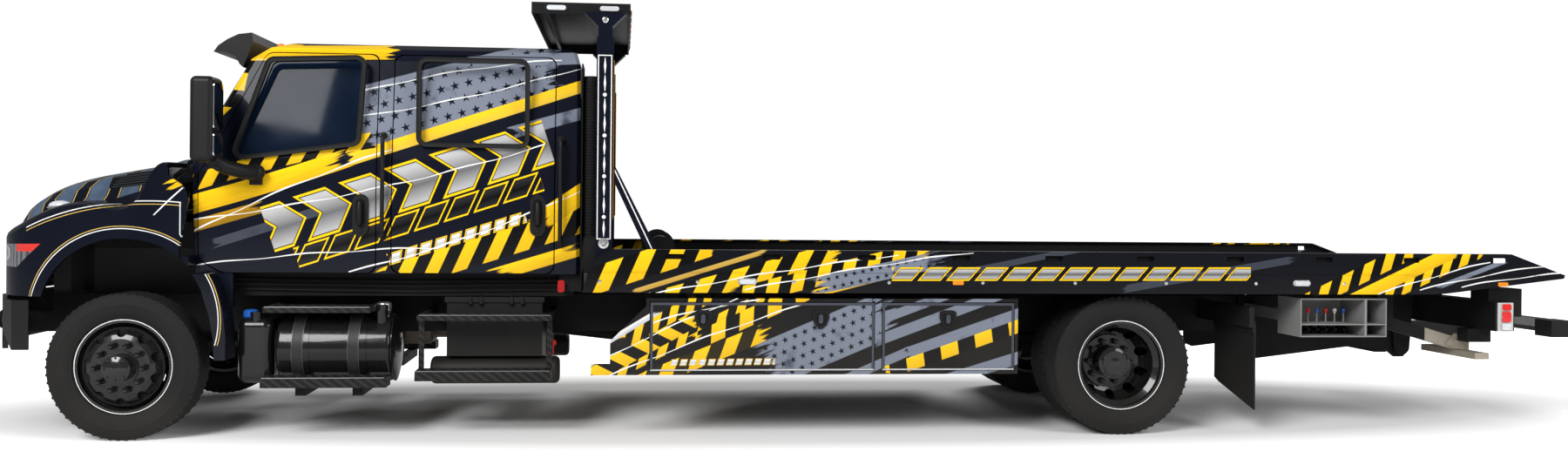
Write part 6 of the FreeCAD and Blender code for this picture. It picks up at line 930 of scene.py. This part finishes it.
# Inside the cab: a moulded dashboard with its steering wheel in dark plastic. The seats are woven grey cloth with
# sewn channels.
dash = aged("dash plastic", (0.030, 0.030, 0.032), 0.7, wear=0.15, grain=220, dust=0.05)
dress(dash, "dashboard")
cloth = Finish("seat cloth", roughness=0.95)
weave = (cloth.x * 900.0).math("SINE") * (cloth.z * 900.0).math("SINE")
seam = cloth.edge(0.006 - abs((cloth.y * 8.0).math("FRACT") - 0.5) * 0.12)
cloth.set(Base_Color=cloth.mix(cloth.mix((0.030, 0.032, 0.036), (0.060, 0.062, 0.068), cloth.noise(30.0)),
                               (0.012, 0.012, 0.013), seam),
          Normal=cloth.bump(weave * 0.3 - seam, 0.0015))
dress(cloth, "seats")

# Fuel tank and fluid tank: welded drums painted black, hung on the left rail by bright-edged steel straps. The
# fuel neck has a bright cap and the fluid tank a blue one.
tank_paint = aged("tank black", (0.004, 0.004, 0.005), 0.20, wear=0.3, dust=0.05, Coat_Weight=0.35)
dress(tank_paint, "fuel_tanks")
strap_steel = aged("strap steel", (0.020, 0.020, 0.021), 0.4, wear=0.3, dust=0.08)
TANK_Y, TANK_Z, TANK_R = -0.850, 0.560, 0.222
straps, strap_edges = Form(), Form()
for station in (1.046, 1.396):
    x = station - STATION
    straps.spin([(TANK_R + 0.001, -0.034), (TANK_R + 0.007, -0.034), (TANK_R + 0.007, 0.034), (TANK_R + 0.001, 0.034)],
                (x, TANK_Y, TANK_Z), axis="X", steps=64)
    for edge in (-0.034, 0.034):
        strap_edges.spin([(TANK_R + 0.001, edge - 0.002), (TANK_R + 0.0095, edge - 0.002),
                          (TANK_R + 0.0095, edge + 0.002), (TANK_R + 0.001, edge + 0.002)], (x, TANK_Y, TANK_Z),
                         axis="X", steps=64)
straps.place("tank_straps", strap_steel, "chassis", "tank_black")
grey_edge = aged("worn bright edge", (0.085, 0.085, 0.088), 0.35, wear=0.4, dust=0.1, Metallic=0.5)
strap_edges.place("tank_strap_edges", grey_edge, "chassis", "tank_black")
dome = Form().spin([(0.0001, 0.030), (0.10, 0.026), (0.17, 0.016), (TANK_R - 0.006, 0.004), (TANK_R + 0.002, 0.001),
                    (TANK_R + 0.002, -0.004), (0.0001, -0.004)], at(1.633, TANK_Y, TANK_Z), axis="X", steps=64)
dome.place("tank_end", tank_paint, "chassis", "tank_black")
cap = Form().spin([(0.0001, 0.052), (0.030, 0.050), (0.044, 0.044), (0.050, 0.034), (0.050, 0.006), (0.040, -0.03),
                   (0.0001, -0.03)], at(1.551, TANK_Y, 0.805), axis="Z", steps=24)
cap.place("fuel_cap", bright, "chassis", "tank_black")
blue = aged("blue cap plastic", (0.010, 0.10, 0.42), 0.4, wear=0.15, dust=0.08)
point, _ = touch("fuel_tanks", at(0.715, TANK_Y - 0.06, 2.0), (0, 0, -1))
cap = Form().spin([(0.0001, 0.050), (0.032, 0.049), (0.046, 0.040), (0.048, 0.006), (0.036, -0.012),
                   (0.0001, -0.012)], point, axis="Z", steps=24)
cap.place("fluid_cap", blue, "chassis", "tank_black")

# Cab steps and battery box: folded black steel treads with punched grip rows and a worn light front edge. The
# battery box is a moulded black cover on a steel tray.
step_black = Finish("step black", roughness=0.5, Specular_IOR_Level=0.15)
bands = ((step_black.x + step_black.y * 0.4 + step_black.z * 1.4) * 15.0).math("FRACT")
tone = step_black.mix((0.004, 0.004, 0.0045), (0.018, 0.018, 0.019), step_black.edge(0.22 - abs(bands - 0.5), 14.0))
dusty = step_black.clamp(step_black.noise(3.0, 4.0) * 0.55)
step_black.set(Base_Color=step_black.mix(tone, ROAD_DUST, dusty * 0.16),
               Roughness=step_black.clamp(dusty * 0.5 + 0.38), Normal=step_black.bump(step_black.noise(90.0), 0.0004))
dress(step_black, "cab_steps")
box_black = aged("moulded box black", (0.007, 0.007, 0.0075), 0.45, wear=0.25, grain=140, dust=0.12)
dress(box_black, "battery_box")
treads = (("front_upper", 0.848, 1.500, 0.839), ("front_lower", 0.855, 1.612, 0.396),
          ("rear_upper", 1.812, 2.650, 0.788), ("rear_lower", 1.800, 2.652, 0.436))
for word, side in SIDES:
    for name, start, end, height in treads:
        outer, _ = touch("cab_steps", at((start + end) / 2, side * 2.0, height - 0.012), (0, -side, 0))
        edge_y = abs(outer.y)
        lip = Form()
        lip.tube([at(start, side * (edge_y - 0.002), height - 0.001),
                  at(end, side * (edge_y - 0.002), height - 0.001)], 0.0045, 8)
        lip.place(f"{name}_step_edge_{word}", grey_edge, "chassis", "step_black")
        stud = Form()
        for row in range(4):
            y = side * (edge_y - 0.026 - row * 0.030)
            stud.spin([(0.0001, 0.0045), (0.0050, 0.0040), (0.0085, 0.0), (0.0085, -0.001), (0.0001, -0.001)],
                      ((row % 2) * 0.013, y, height), axis="Z", steps=8)
        count = int((end - start - 0.03) / 0.026)
        along_row.grow(f"{name}_step_studs_{word}", stud, step_black, "chassis", "step_black", Count=count,
                       First=at(start + 0.012, 0.0, 0.0), Step=(0.026, 0.0, 0.0))
low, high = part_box("battery_box")
rib = Form()
for station in (2.115, 2.185, 2.385, 2.455):
    rib.tube([at(station, low.y + 0.012, 0.838), at(station, low.y - 0.003, 0.850),
              at(station, low.y + 0.004, 0.882), at(station, low.y + 0.05, 0.893),
              at(station, high.y - 0.05 if high.y < 0 else low.y + 0.40, 0.893)], 0.013, 8)
rib.place("battery_cover_ribs", box_black, "chassis", "box_black")

# Toolboxes: folded and welded steel chests under the deck, in the same wrap film, with drop-down doors edged in
# worn grey steel. Each door is held by black shield-shaped compression latches, with painted shade in their bowls.
box_film = Wrap("toolbox wrap film", ground=(0.0055, 0.0055, 0.0060))
box_film.hazard((3.00, 0.40), (4.20, 1.00), 0.085, pitch=0.14, torn=0.15)
box_film.hazard((3.10, 0.62), (3.75, 0.98), 0.100, pitch=0.13, torn=0.2)
box_film.hazard((2.82, 0.36), (3.62, 0.80), 0.100, pitch=0.17, slant=0.7, torn=0.2)
box_film.tape((2.80, 0.50), (3.40, 0.86), 0.035, colour=WHITE, shade=FLAG_GREY, torn=0.2)
box_film.hazard((3.20, 0.36), (4.10, 0.72), 0.110, pitch=0.22, torn=0.3, dark=(0.02, 0.015, 0.004))
box_film.hazard((3.55, 0.62), (4.40, 1.00), 0.110, pitch=0.20, slant=-0.5, torn=0.25)
box_film.grey((3.95, 0.44), (4.95, 0.86), 0.300, stars=0.024, torn=0.45)
box_film.grey((4.45, 0.34), (5.05, 0.60), 0.060)
box_film.grey((4.72, 0.62), (5.80, 1.02), 0.070, torn=0.1)
box_film.grey((4.70, 0.74), (5.40, 1.00), 0.060, torn=0.1)
box_film.grey((4.95, 0.55), (5.85, 0.86), 0.075, torn=0.1)
box_film.grey((5.10, 0.34), (5.90, 0.58), 0.080, torn=0.2)
box_film.hazard((4.80, 0.42), (5.85, 0.78), 0.085, pitch=0.24, slant=-0.2, torn=0.1)
box_film.bars((3.42, 0.500), (4.10, 0.505), 0.034, 0.060, share=0.60, slant=-0.3, rim=0.004, face=WHITE,
              low=(0.5, 0.5, 0.5))
for start, end in (((2.85, 0.44), (3.90, 0.93)), ((3.00, 0.40), (4.30, 0.88)), ((3.3, 0.75), (4.0, 0.90))):
    box_film.wire(start, end, bow=0.02, thick=0.006)
box_film.seal(dust=0.12)
dress(box_film, "toolboxes", "toolbox_door_front_left", "toolbox_door_front_right", "toolbox_door_rear_left",
      "toolbox_door_rear_right")
frame_trim = aged("door frame steel", (0.045, 0.050, 0.065), 0.35, wear=0.3, dust=0.12)
LATCH_Z, TRIM = 0.778, 0.016   # the latches' height, and the width of a door's steel edge
pale_edge = aged("pale sill edge", (0.50, 0.51, 0.53), 0.45, wear=0.2, dust=0.3)
for word, side in SIDES:
    for place, latches in (("front", (3.633, 4.397)), ("rear", (5.240,))):
        body = f"toolbox_door_{place}_{word}"
        low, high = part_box(body)
        y = high.y if side > 0 else low.y
        trim = Form()
        for x0, x1, z0, z1 in ((low.x, high.x, high.z - TRIM, high.z), (low.x, low.x + TRIM, low.z, high.z - TRIM),
                               (high.x - TRIM, high.x, low.z, high.z - TRIM)):
            trim.box((x0, y, z0), (x1, y + side * 0.004, z1), 0.001)
        trim.place(f"{place}_box_door_trim_{word}", frame_trim, body, "toolbox_door_paint")
        sill = Form().box((low.x, y, low.z), (high.x, y + side * 0.005, low.z + 0.009), 0.001)
        sill.place(f"{place}_box_door_sill_{word}", pale_edge, body, "toolbox_door_paint")
        shield, latch_shade, lever = Form(), Form(), Form()
        for station in latches:
            x, z = station - STATION, LATCH_Z
            points = [(x - 0.055, z + 0.050), (x - 0.030, z + 0.060), (x + 0.030, z + 0.060), (x + 0.055, z + 0.050),
                      (x + 0.056, z + 0.006), (x + 0.040, z - 0.034), (x + 0.012, z - 0.062), (x - 0.012, z - 0.062),
                      (x - 0.040, z - 0.034), (x - 0.056, z + 0.006)]
            shield.slab(points, y - side * 0.002, y + side * 0.011, 0.003)
            inner = [(x + (px - x) * 0.70, z + (pz - z) * 0.70) for px, pz in points]
            # A flat dark shape, proud of each latch's face, is painted shade where its bowl would be.
            latch_shade.slab(inner, y + side * 0.010, y + side * 0.0125)
            lever.slab(rounded(x - 0.014, z - 0.026, x + 0.014, z + 0.032, 0.012), y + side * 0.011,
                       y + side * 0.019, 0.003)
            lever.spin([(0.0001, 0.021), (0.0055, 0.021), (0.0075, 0.018), (0.0001, 0.018)], (x, y, z + 0.016),
                       steps=14, side=side)
        shield.place(f"{place}_latch_{word}", moulding, body, "toolbox_door_paint")
        latch_shade.place(f"{place}_latch_bowl_{word}", shade_black, body, "toolbox_door_paint")
        lever.place(f"{place}_latch_lever_{word}", frame_trim, body, "toolbox_door_paint")
flap = aged("mudflap rubber", (0.006, 0.006, 0.0065), 0.7, wear=0.25, grain=70, depth=0.0008, dust=0.08)
dress(flap, "mudflaps")

# Control boxes: open grey steel bays, one on each side, with a row of six hydraulic levers over moulded valves.
# Each lever has a coloured ball on top.
bay_grey = aged("control bay grey", (0.20, 0.20, 0.20), 0.45, wear=0.25, dust=0.3)
dress(bay_grey, "control_boxes")
BAY_START, LEVER_PITCH, LEVER_Y = 7.685, 0.449 / 7, 1.100
knob_colours = {"white": (0.70, 0.70, 0.68), "red": (0.55, 0.02, 0.015), "blue": (0.02, 0.10, 0.45)}
knobs = {word: aged(f"{word} lever knob", colour, 0.3, wear=0.1, dust=0.08, Coat_Weight=0.4)
         for word, colour in knob_colours.items()}
for word, side in SIDES:
    balls = {name: Form() for name in knobs}
    valve = Form()
    for number, name in enumerate(("white", "red", "blue", "red", "white", "blue")):
        x = BAY_START + (number + 1) * LEVER_PITCH - STATION
        balls[name].ball((x, side * LEVER_Y, 0.828), (0.0145, 0.0145, 0.0145))
        balls[name].tube([(x, side * LEVER_Y, 0.805), (x, side * LEVER_Y, 0.817)], 0.0075, 8)
        valve.box((x - 0.022, side * 1.02 - 0.055, 0.668), (x + 0.022, side * 1.02 + 0.055, 0.722), 0.004)
        valve.tube([(x, side * 1.075, 0.695), (x, side * 1.115, 0.695)], 0.012, 8)
    for name, form in balls.items():
        form.place(f"lever_knobs_{name}_{word}", knobs[name], "chassis", "control_grey")
    valve.place(f"control_valves_{word}", moulding, "chassis", "control_grey")

# Deck rails: pressed steel channels along both sides of the deck, in the wrap film, with a dark strip of painted
# shade behind the lashing slots. Round bolt heads, long marker lamps and amber reflectors stand on their faces.
rail_film = Wrap("rail wrap film", ground=(0.0050, 0.0055, 0.0080))
rail_film.hazard((2.80, 0.98), (3.70, 1.28), 0.170, pitch=0.23, torn=0.1)
rail_film.tape((3.10, 0.93), (4.10, 1.24), 0.030, colour=OLD_GOLD, shade=AMBER, torn=0.3)
rail_film.hazard((3.20, 0.86), (4.60, 1.24), 0.130, pitch=0.22, torn=0.3)
rail_film.hazard((3.75, 0.90), (5.20, 1.26), 0.120, pitch=0.17, slant=-0.5, torn=0.3)
rail_film.tape((4.25, 0.92), (5.10, 1.14), 0.050, torn=0.4)
rail_film.grey((4.25, 0.97), (5.30, 1.20), 0.110, stars=0.020, torn=0.5)
rail_film.grey((5.10, 1.04), (6.40, 1.30), 0.040, colour=(0.040, 0.045, 0.060), torn=0.3)
rail_film.grey((6.30, 0.96), (7.70, 1.20), 0.050, colour=(0.040, 0.045, 0.060), torn=0.3)
rail_film.bars((4.86, 1.075), (7.30, 1.085), 0.060, 0.190, share=0.66, slant=-0.9, rim=0.014)
rail_film.hazard((7.66, 0.88), (8.46, 1.26), 0.110, pitch=0.17, torn=0.1)
rail_film.tape((8.00, 0.90), (8.78, 1.26), 0.090, torn=0.15)
rail_film.hazard((8.14, 0.88), (8.98, 1.26), 0.075, pitch=0.15, torn=0.2)
rail_film.grey((8.55, 0.97), (9.20, 1.21), 0.030, torn=0.3)
for start, end in (((3.3, 0.94), (4.9, 1.20)), ((3.9, 0.97), (5.4, 1.22)), ((8.2, 0.95), (9.1, 1.19)),
                   ((8.5, 0.98), (9.5, 1.16)), ((8.8, 1.00), (9.6, 1.10))):
    rail_film.wire(start, end, bow=0.015, thick=0.006)
rail_film.seal(dust=0.15)
dress(rail_film, "deck_rails")
RAIL_Y = 1.295
for word, side in SIDES:
    head = Form().spin([(0.0001, 0.006), (0.008, 0.005), (0.012, 0.001), (0.012, -0.002), (0.0001, -0.002)],
                       (0, side * RAIL_Y, 0), steps=12, side=side)
    along_row.grow(f"rail_bolts_{word}", head, bright, "deck", "rail_paint", Count=9,
                   First=at(2.97, 0.0, 1.020), Step=(0.624, 0.0, 0.0))
    lamp, base = Form(), Form()
    for station in (3.915, 7.657):
        x = station - STATION
        base.slab(rounded(x - 0.062, 1.004, x + 0.062, 1.044, 0.019), side * (RAIL_Y - 0.002), side * (RAIL_Y + 0.006),
                  0.002)
        lamp.slab(rounded(x - 0.050, 1.010, x + 0.050, 1.038, 0.013), side * (RAIL_Y + 0.004), side * (RAIL_Y + 0.014),
                  0.004)
    base.place(f"marker_bases_{word}", bright, "deck", "rail_paint")
    # A thin dark strip behind the lashing slots is painted shade, so that the slots show dark.
    slot_shade = Form().box(at(3.30, side * 1.262, 1.125), at(9.05, side * 1.266, 1.205))
    slot_shade.place(f"slot_backing_{word}", shade_black, "deck", "rail_paint")
    nose = Form().box(at(2.864, side * 1.15, 0.965), at(2.960, side * 1.21, 1.300), 0.004)
    nose.place(f"deck_nose_plate_{word}", chassis_black, "deck", "rail_paint")
    lamp.place(f"marker_lamps_{word}", glow, "deck", "rail_paint")
    reflector = Form()
    for station in (5.30, 9.10):
        x = station - STATION
        reflector.slab(rounded(x - 0.036, 1.006, x + 0.036, 1.034, 0.006), side * (RAIL_Y - 0.001),
                       side * (RAIL_Y + 0.004), 0.001)
    reflector.place(f"side_reflectors_{word}", amber_lens, "deck", "rail_paint")

# Deck floor: steel plate, painted black, with punched grip studs in cross rows. Scuffs show bare grey metal along
# the tyre tracks.
floor_steel = Finish("deck plate", roughness=0.55)
track = (floor_steel.edge(0.22 - abs(abs(floor_steel.y) - 0.78), 6.0)
         * floor_steel.clamp(floor_steel.noise(1.0, 4.0, floor_steel.stretched((1.5, 9.0, 1.0))) * 2.2 - 0.75))
grit = floor_steel.noise(45.0, 4.0)
paint = floor_steel.mix((0.020, 0.020, 0.022), (0.040, 0.040, 0.042), grit)
floor_steel.set(Base_Color=floor_steel.mix(paint, (0.22, 0.22, 0.225), track * 0.8), Metallic=track * 0.6,
                Roughness=floor_steel.clamp(grit * 0.2 + 0.42 - track * 0.1), Normal=floor_steel.bump(grit, 0.0005))
dress(floor_steel, "deck_floor")
stud = Form()
STUD_PITCH, DECK_TOP = 0.10, 1.070
for number in range(24):
    stud.spin([(0.0001, 0.0035), (0.010, 0.0030), (0.015, 0.0), (0.015, -0.001), (0.0001, -0.001)],
              (0.0, -1.15 + number * STUD_PITCH, DECK_TOP), axis="Z", steps=8)
along_row.grow("deck_grip_studs", stud, floor_steel, "deck", "deck_steel", Count=58,
               First=at(3.62, 0.0, 0.0), Step=(STUD_PITCH, 0.0, 0.0))

# Headboard: two box posts with braces and a sheet between them, all navy with a thin white outline and a white
# line of dots and tapered dashes. Amber strips and lamps stand on its rear face, and bright bolts hold its feet.
post_film = Wrap("headboard paint")
POST_S = 2.991                 # the middle of the posts
face_off = abs(post_film.s - POST_S)
tall = post_film.edge(2.470 - post_film.h) * post_film.edge(post_film.h - 1.290)
outside = post_film.edge(abs(post_film.y) - 1.18)
post_film.lay(WHITE, outside * tall * post_film.edge(0.0030 - abs(face_off - 0.042), 500.0))
post_film.lay(WHITE, outside * post_film.edge(0.045 - face_off)
              * post_film.edge(0.0030 - abs(abs(post_film.h - 1.880) - 0.590), 500.0))
DASH_PITCH = 0.262
spot = (((post_film.h - 1.300) / DASH_PITCH).math("FRACT") - 0.5) * DASH_PITCH
dot = (face_off * face_off + spot * spot) ** 0.5
from_dash = abs(abs(spot) - 0.075)
dash_body = post_film.edge(0.0075 - from_dash * 0.12 - face_off, 500.0) * post_film.edge(0.052 - from_dash)
post_film.lay(WHITE, outside * tall * post_film.clamp(post_film.edge(0.012 - dot) + dash_body))
brace_line = abs((post_film.s - 3.055) * 0.905 + (post_film.h - 1.762) * 0.435 + 0.010)
post_film.lay(WHITE, outside * post_film.edge(post_film.s - 3.06) * post_film.edge(0.0035 - brace_line, 500.0))
across_hole, up_hole = [(place * 40.0).math("FRACT") - 0.5 for place in (post_film.y, post_film.z)]
mesh_hole = across_hole * across_hole + up_hole * up_hole
sheet_only = post_film.edge(1.13 - abs(post_film.y)) * post_film.edge(post_film.h - 1.32)
post_film.lay((0.0015, 0.0015, 0.0015), sheet_only * post_film.edge(0.10 - mesh_hole, 30.0))
post_film.seal(dust=0.1)
dress(post_film, "headboard")
strips, foot_bolts = Form(), Form()
for side in (-1, 1):
    for y in (1.205, 1.165):
        strips.box(at(3.045, side * y - 0.009, 1.42), at(3.052, side * y + 0.009, 2.44), 0.002)
    foot_bolts.spin([(0.0001, 0.016), (0.014, 0.016), (0.020, 0.010), (0.034, 0.008), (0.034, -0.002),
                     (0.0001, -0.002)], at(POST_S, side * 1.222, 1.262), steps=24, side=side)
dull_amber = aged("dull amber strip", (0.26, 0.13, 0.010), 0.35, wear=0.2, dust=0.05)
strips.place("post_amber_strips", dull_amber, "deck", "headboard_paint")
foot_bolts.place("post_foot_bolts", bright, "deck", "headboard_paint")
along_lamp = Form().ball(at(3.012, 0.0, 2.452), (0.018, 0.040, 0.018))
along_row.grow("board_amber_lamps", along_lamp, amber_lens, "deck", "headboard_paint", Count=6,
               First=(0.0, -0.875, 0.0), Step=(0.0, 0.35, 0.0))

# Light wing: a shallow folded steel tray over the headboard, satin black, open below, with flush oval lamps.
# Each bracket has one bright pivot bolt, and a round spreader ties the sides.
wing_black = aged("wing black", (0.005, 0.005, 0.0055), 0.45, wear=0.3, dust=0.03, Specular_IOR_Level=0.12)
dress(wing_black, "light_wing")
oval_rims, ovals = Form(), Form()
WING_Y = 1.105
WING_ENDS = (("front", -1, 2.512 - STATION), ("rear", 1, 3.152 - STATION))
END_LAMPS = [-0.90 + number * 0.30 for number in range(7)]
for side in (-1, 1):
    for station in (2.672, 3.015):
        x = station - STATION
        oval_rims.slab(rounded(x - 0.078, 2.764, x + 0.078, 2.810, 0.022), side * (WING_Y - 0.001),
                       side * (WING_Y + 0.005), 0.002)
        ovals.slab(rounded(x - 0.062, 2.772, x + 0.062, 2.802, 0.014), side * (WING_Y + 0.004),
                   side * (WING_Y + 0.010), 0.003)
    for station in (2.56, 2.84, 3.10):
        oval_rims.spin([(0.0001, 0.004), (0.007, 0.004), (0.009, -0.001), (0.0001, -0.001)],
                       at(station, side * WING_Y, 2.785), steps=12, side=side)
for _, way, x in WING_ENDS:
    for y in END_LAMPS:
        oval_rims.slab(rounded(y - 0.075, 2.768, y + 0.075, 2.804, 0.016), x - way * 0.001, x + way * 0.005, axis=0)
oval_rims.place("wing_lamp_rims", moulding, "deck", "wing_black")
ovals.place("wing_lamps", glow, "deck", "wing_black")
for label, way, x in WING_ENDS:
    strip = Form()
    for y in END_LAMPS:
        strip.slab(rounded(y - 0.060, 2.775, y + 0.060, 2.797, 0.010), x + way * 0.004, x + way * 0.010, axis=0)
    strip.place(f"wing_amber_lamps_{label}", amber_lens, "deck", "wing_black")
pivot = Form()
for side in (-1, 1):
    pivot.spin([(0.0001, 0.014), (0.010, 0.014), (0.013, 0.010), (0.019, 0.008), (0.019, -0.002), (0.0001, -0.002)],
               at(POST_S, side * 1.197, 2.700), steps=18, side=side)
pivot.place("wing_pivot_bolts", bright, "deck", "wing_black")
spreader = Form().tube([at(2.60, -1.09, 2.765), at(2.60, 1.09, 2.765)], 0.014, 12)
spreader.place("wing_spreader", wing_black, "deck", "wing_black")

# Winch: a cast drum and gear case bolted to the deck behind the headboard. Close turns of bright wire rope cover
# the drum from side to side.
cast_black = aged("winch casting", (0.010, 0.010, 0.011), 0.45, wear=0.3, dust=0.06)
dress(cast_black, "winch")
rope = aged("wire rope", (0.28, 0.27, 0.25), 0.45, wear=0.3, grain=300, depth=0.0008, dust=0.12, Metallic=0.6)
DRUM_Z = 1.216
winch_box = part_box("winch")
drum_x = (winch_box[0].x + winch_box[1].x) / 2
turn = Form().spin([(0.078 + 0.0055 * math.cos(a), 0.0055 * math.sin(a)) for a in
                    [math.tau * k / 8 for k in range(8)]], (drum_x, 0, DRUM_Z), steps=40)
along_row.grow("winch_rope_turns", turn, rope, "deck", "winch_black", Count=46, First=(0.0, -0.2475, 0.0),
               Step=(0.0, 0.011, 0.0))

# Tail lamps: pale plates at the ends of the tilting frame's tail beam, with red and clear lenses. Three round
# lenses on each side and a blank plate face the rear.
plate_pale = aged("pale lamp plate", (0.50, 0.50, 0.49), 0.4, wear=0.15, dust=0.2)
dress(plate_pale, "tail_lamps")
red_lens = aged("red lens", (0.60, 0.010, 0.008), 0.12, wear=0.15, grain=200, dust=0.05, Coat_Weight=0.7)
red, clear = Form(), Form()
for side in (-1, 1):
    y = side * 1.2375
    for z0, z1, form in ((0.838, 0.882, red), (0.758, 0.828, red), (0.702, 0.748, clear)):
        form.slab(rounded(9.140 - STATION, z0, 9.204 - STATION, z1, 0.010), y - side * 0.004, y + side * 0.004, 0.002)
    for number in range(3):
        y = side * (1.218 - 0.068 - number * 0.102)
        (red if number != 1 else clear).spin([(0.0001, 0.022), (0.020, 0.020), (0.028, 0.016), (0.028, 0.0),
                                              (0.0001, 0.0)], at(9.242, y, 0.743), axis="X", steps=24)
red.place("tail_lenses", red_lens, "tilting_frame", "lamp_lens")
clear.place("reverse_lenses", glow, "tilting_frame", "lamp_lens")
plate = Form().box(at(9.240, -PLATE_HALF, 0.715), at(9.247, PLATE_HALF, 0.715 + PLATE_HEIGHT), 0.002)
plate.place("rear_plate", plate_white, "tilting_frame", "lamp_lens")

# Cylinders, stabiliser and wheel lift: chromed rods, a bare galvanised plate and feet, and black lift steel.
chrome = aged("chromed rod", (0.70, 0.70, 0.71), 0.10, wear=0.05, grain=150, depth=0.0, dust=0.08, Metallic=1.0)
dress(chrome, "cylinder_rods")
zinc = aged("galvanised steel", (0.36, 0.32, 0.26), 0.5, wear=0.2, grain=25, dust=0.3, Metallic=0.3)
bare = zinc.edge(zinc.x + STATION - 8.80)
zinc.set(Base_Color=zinc.mix((0.006, 0.006, 0.0065), zinc.tone, bare), Metallic=bare * 0.3)
dress(zinc, "stabilizer")
lift_black = aged("lift black", (0.006, 0.006, 0.0065), 0.42, wear=0.35, dust=0.10)
dress(lift_black, "wheel_lift_boom", "wheel_lift_extension", "wheel_lift_crossbar")
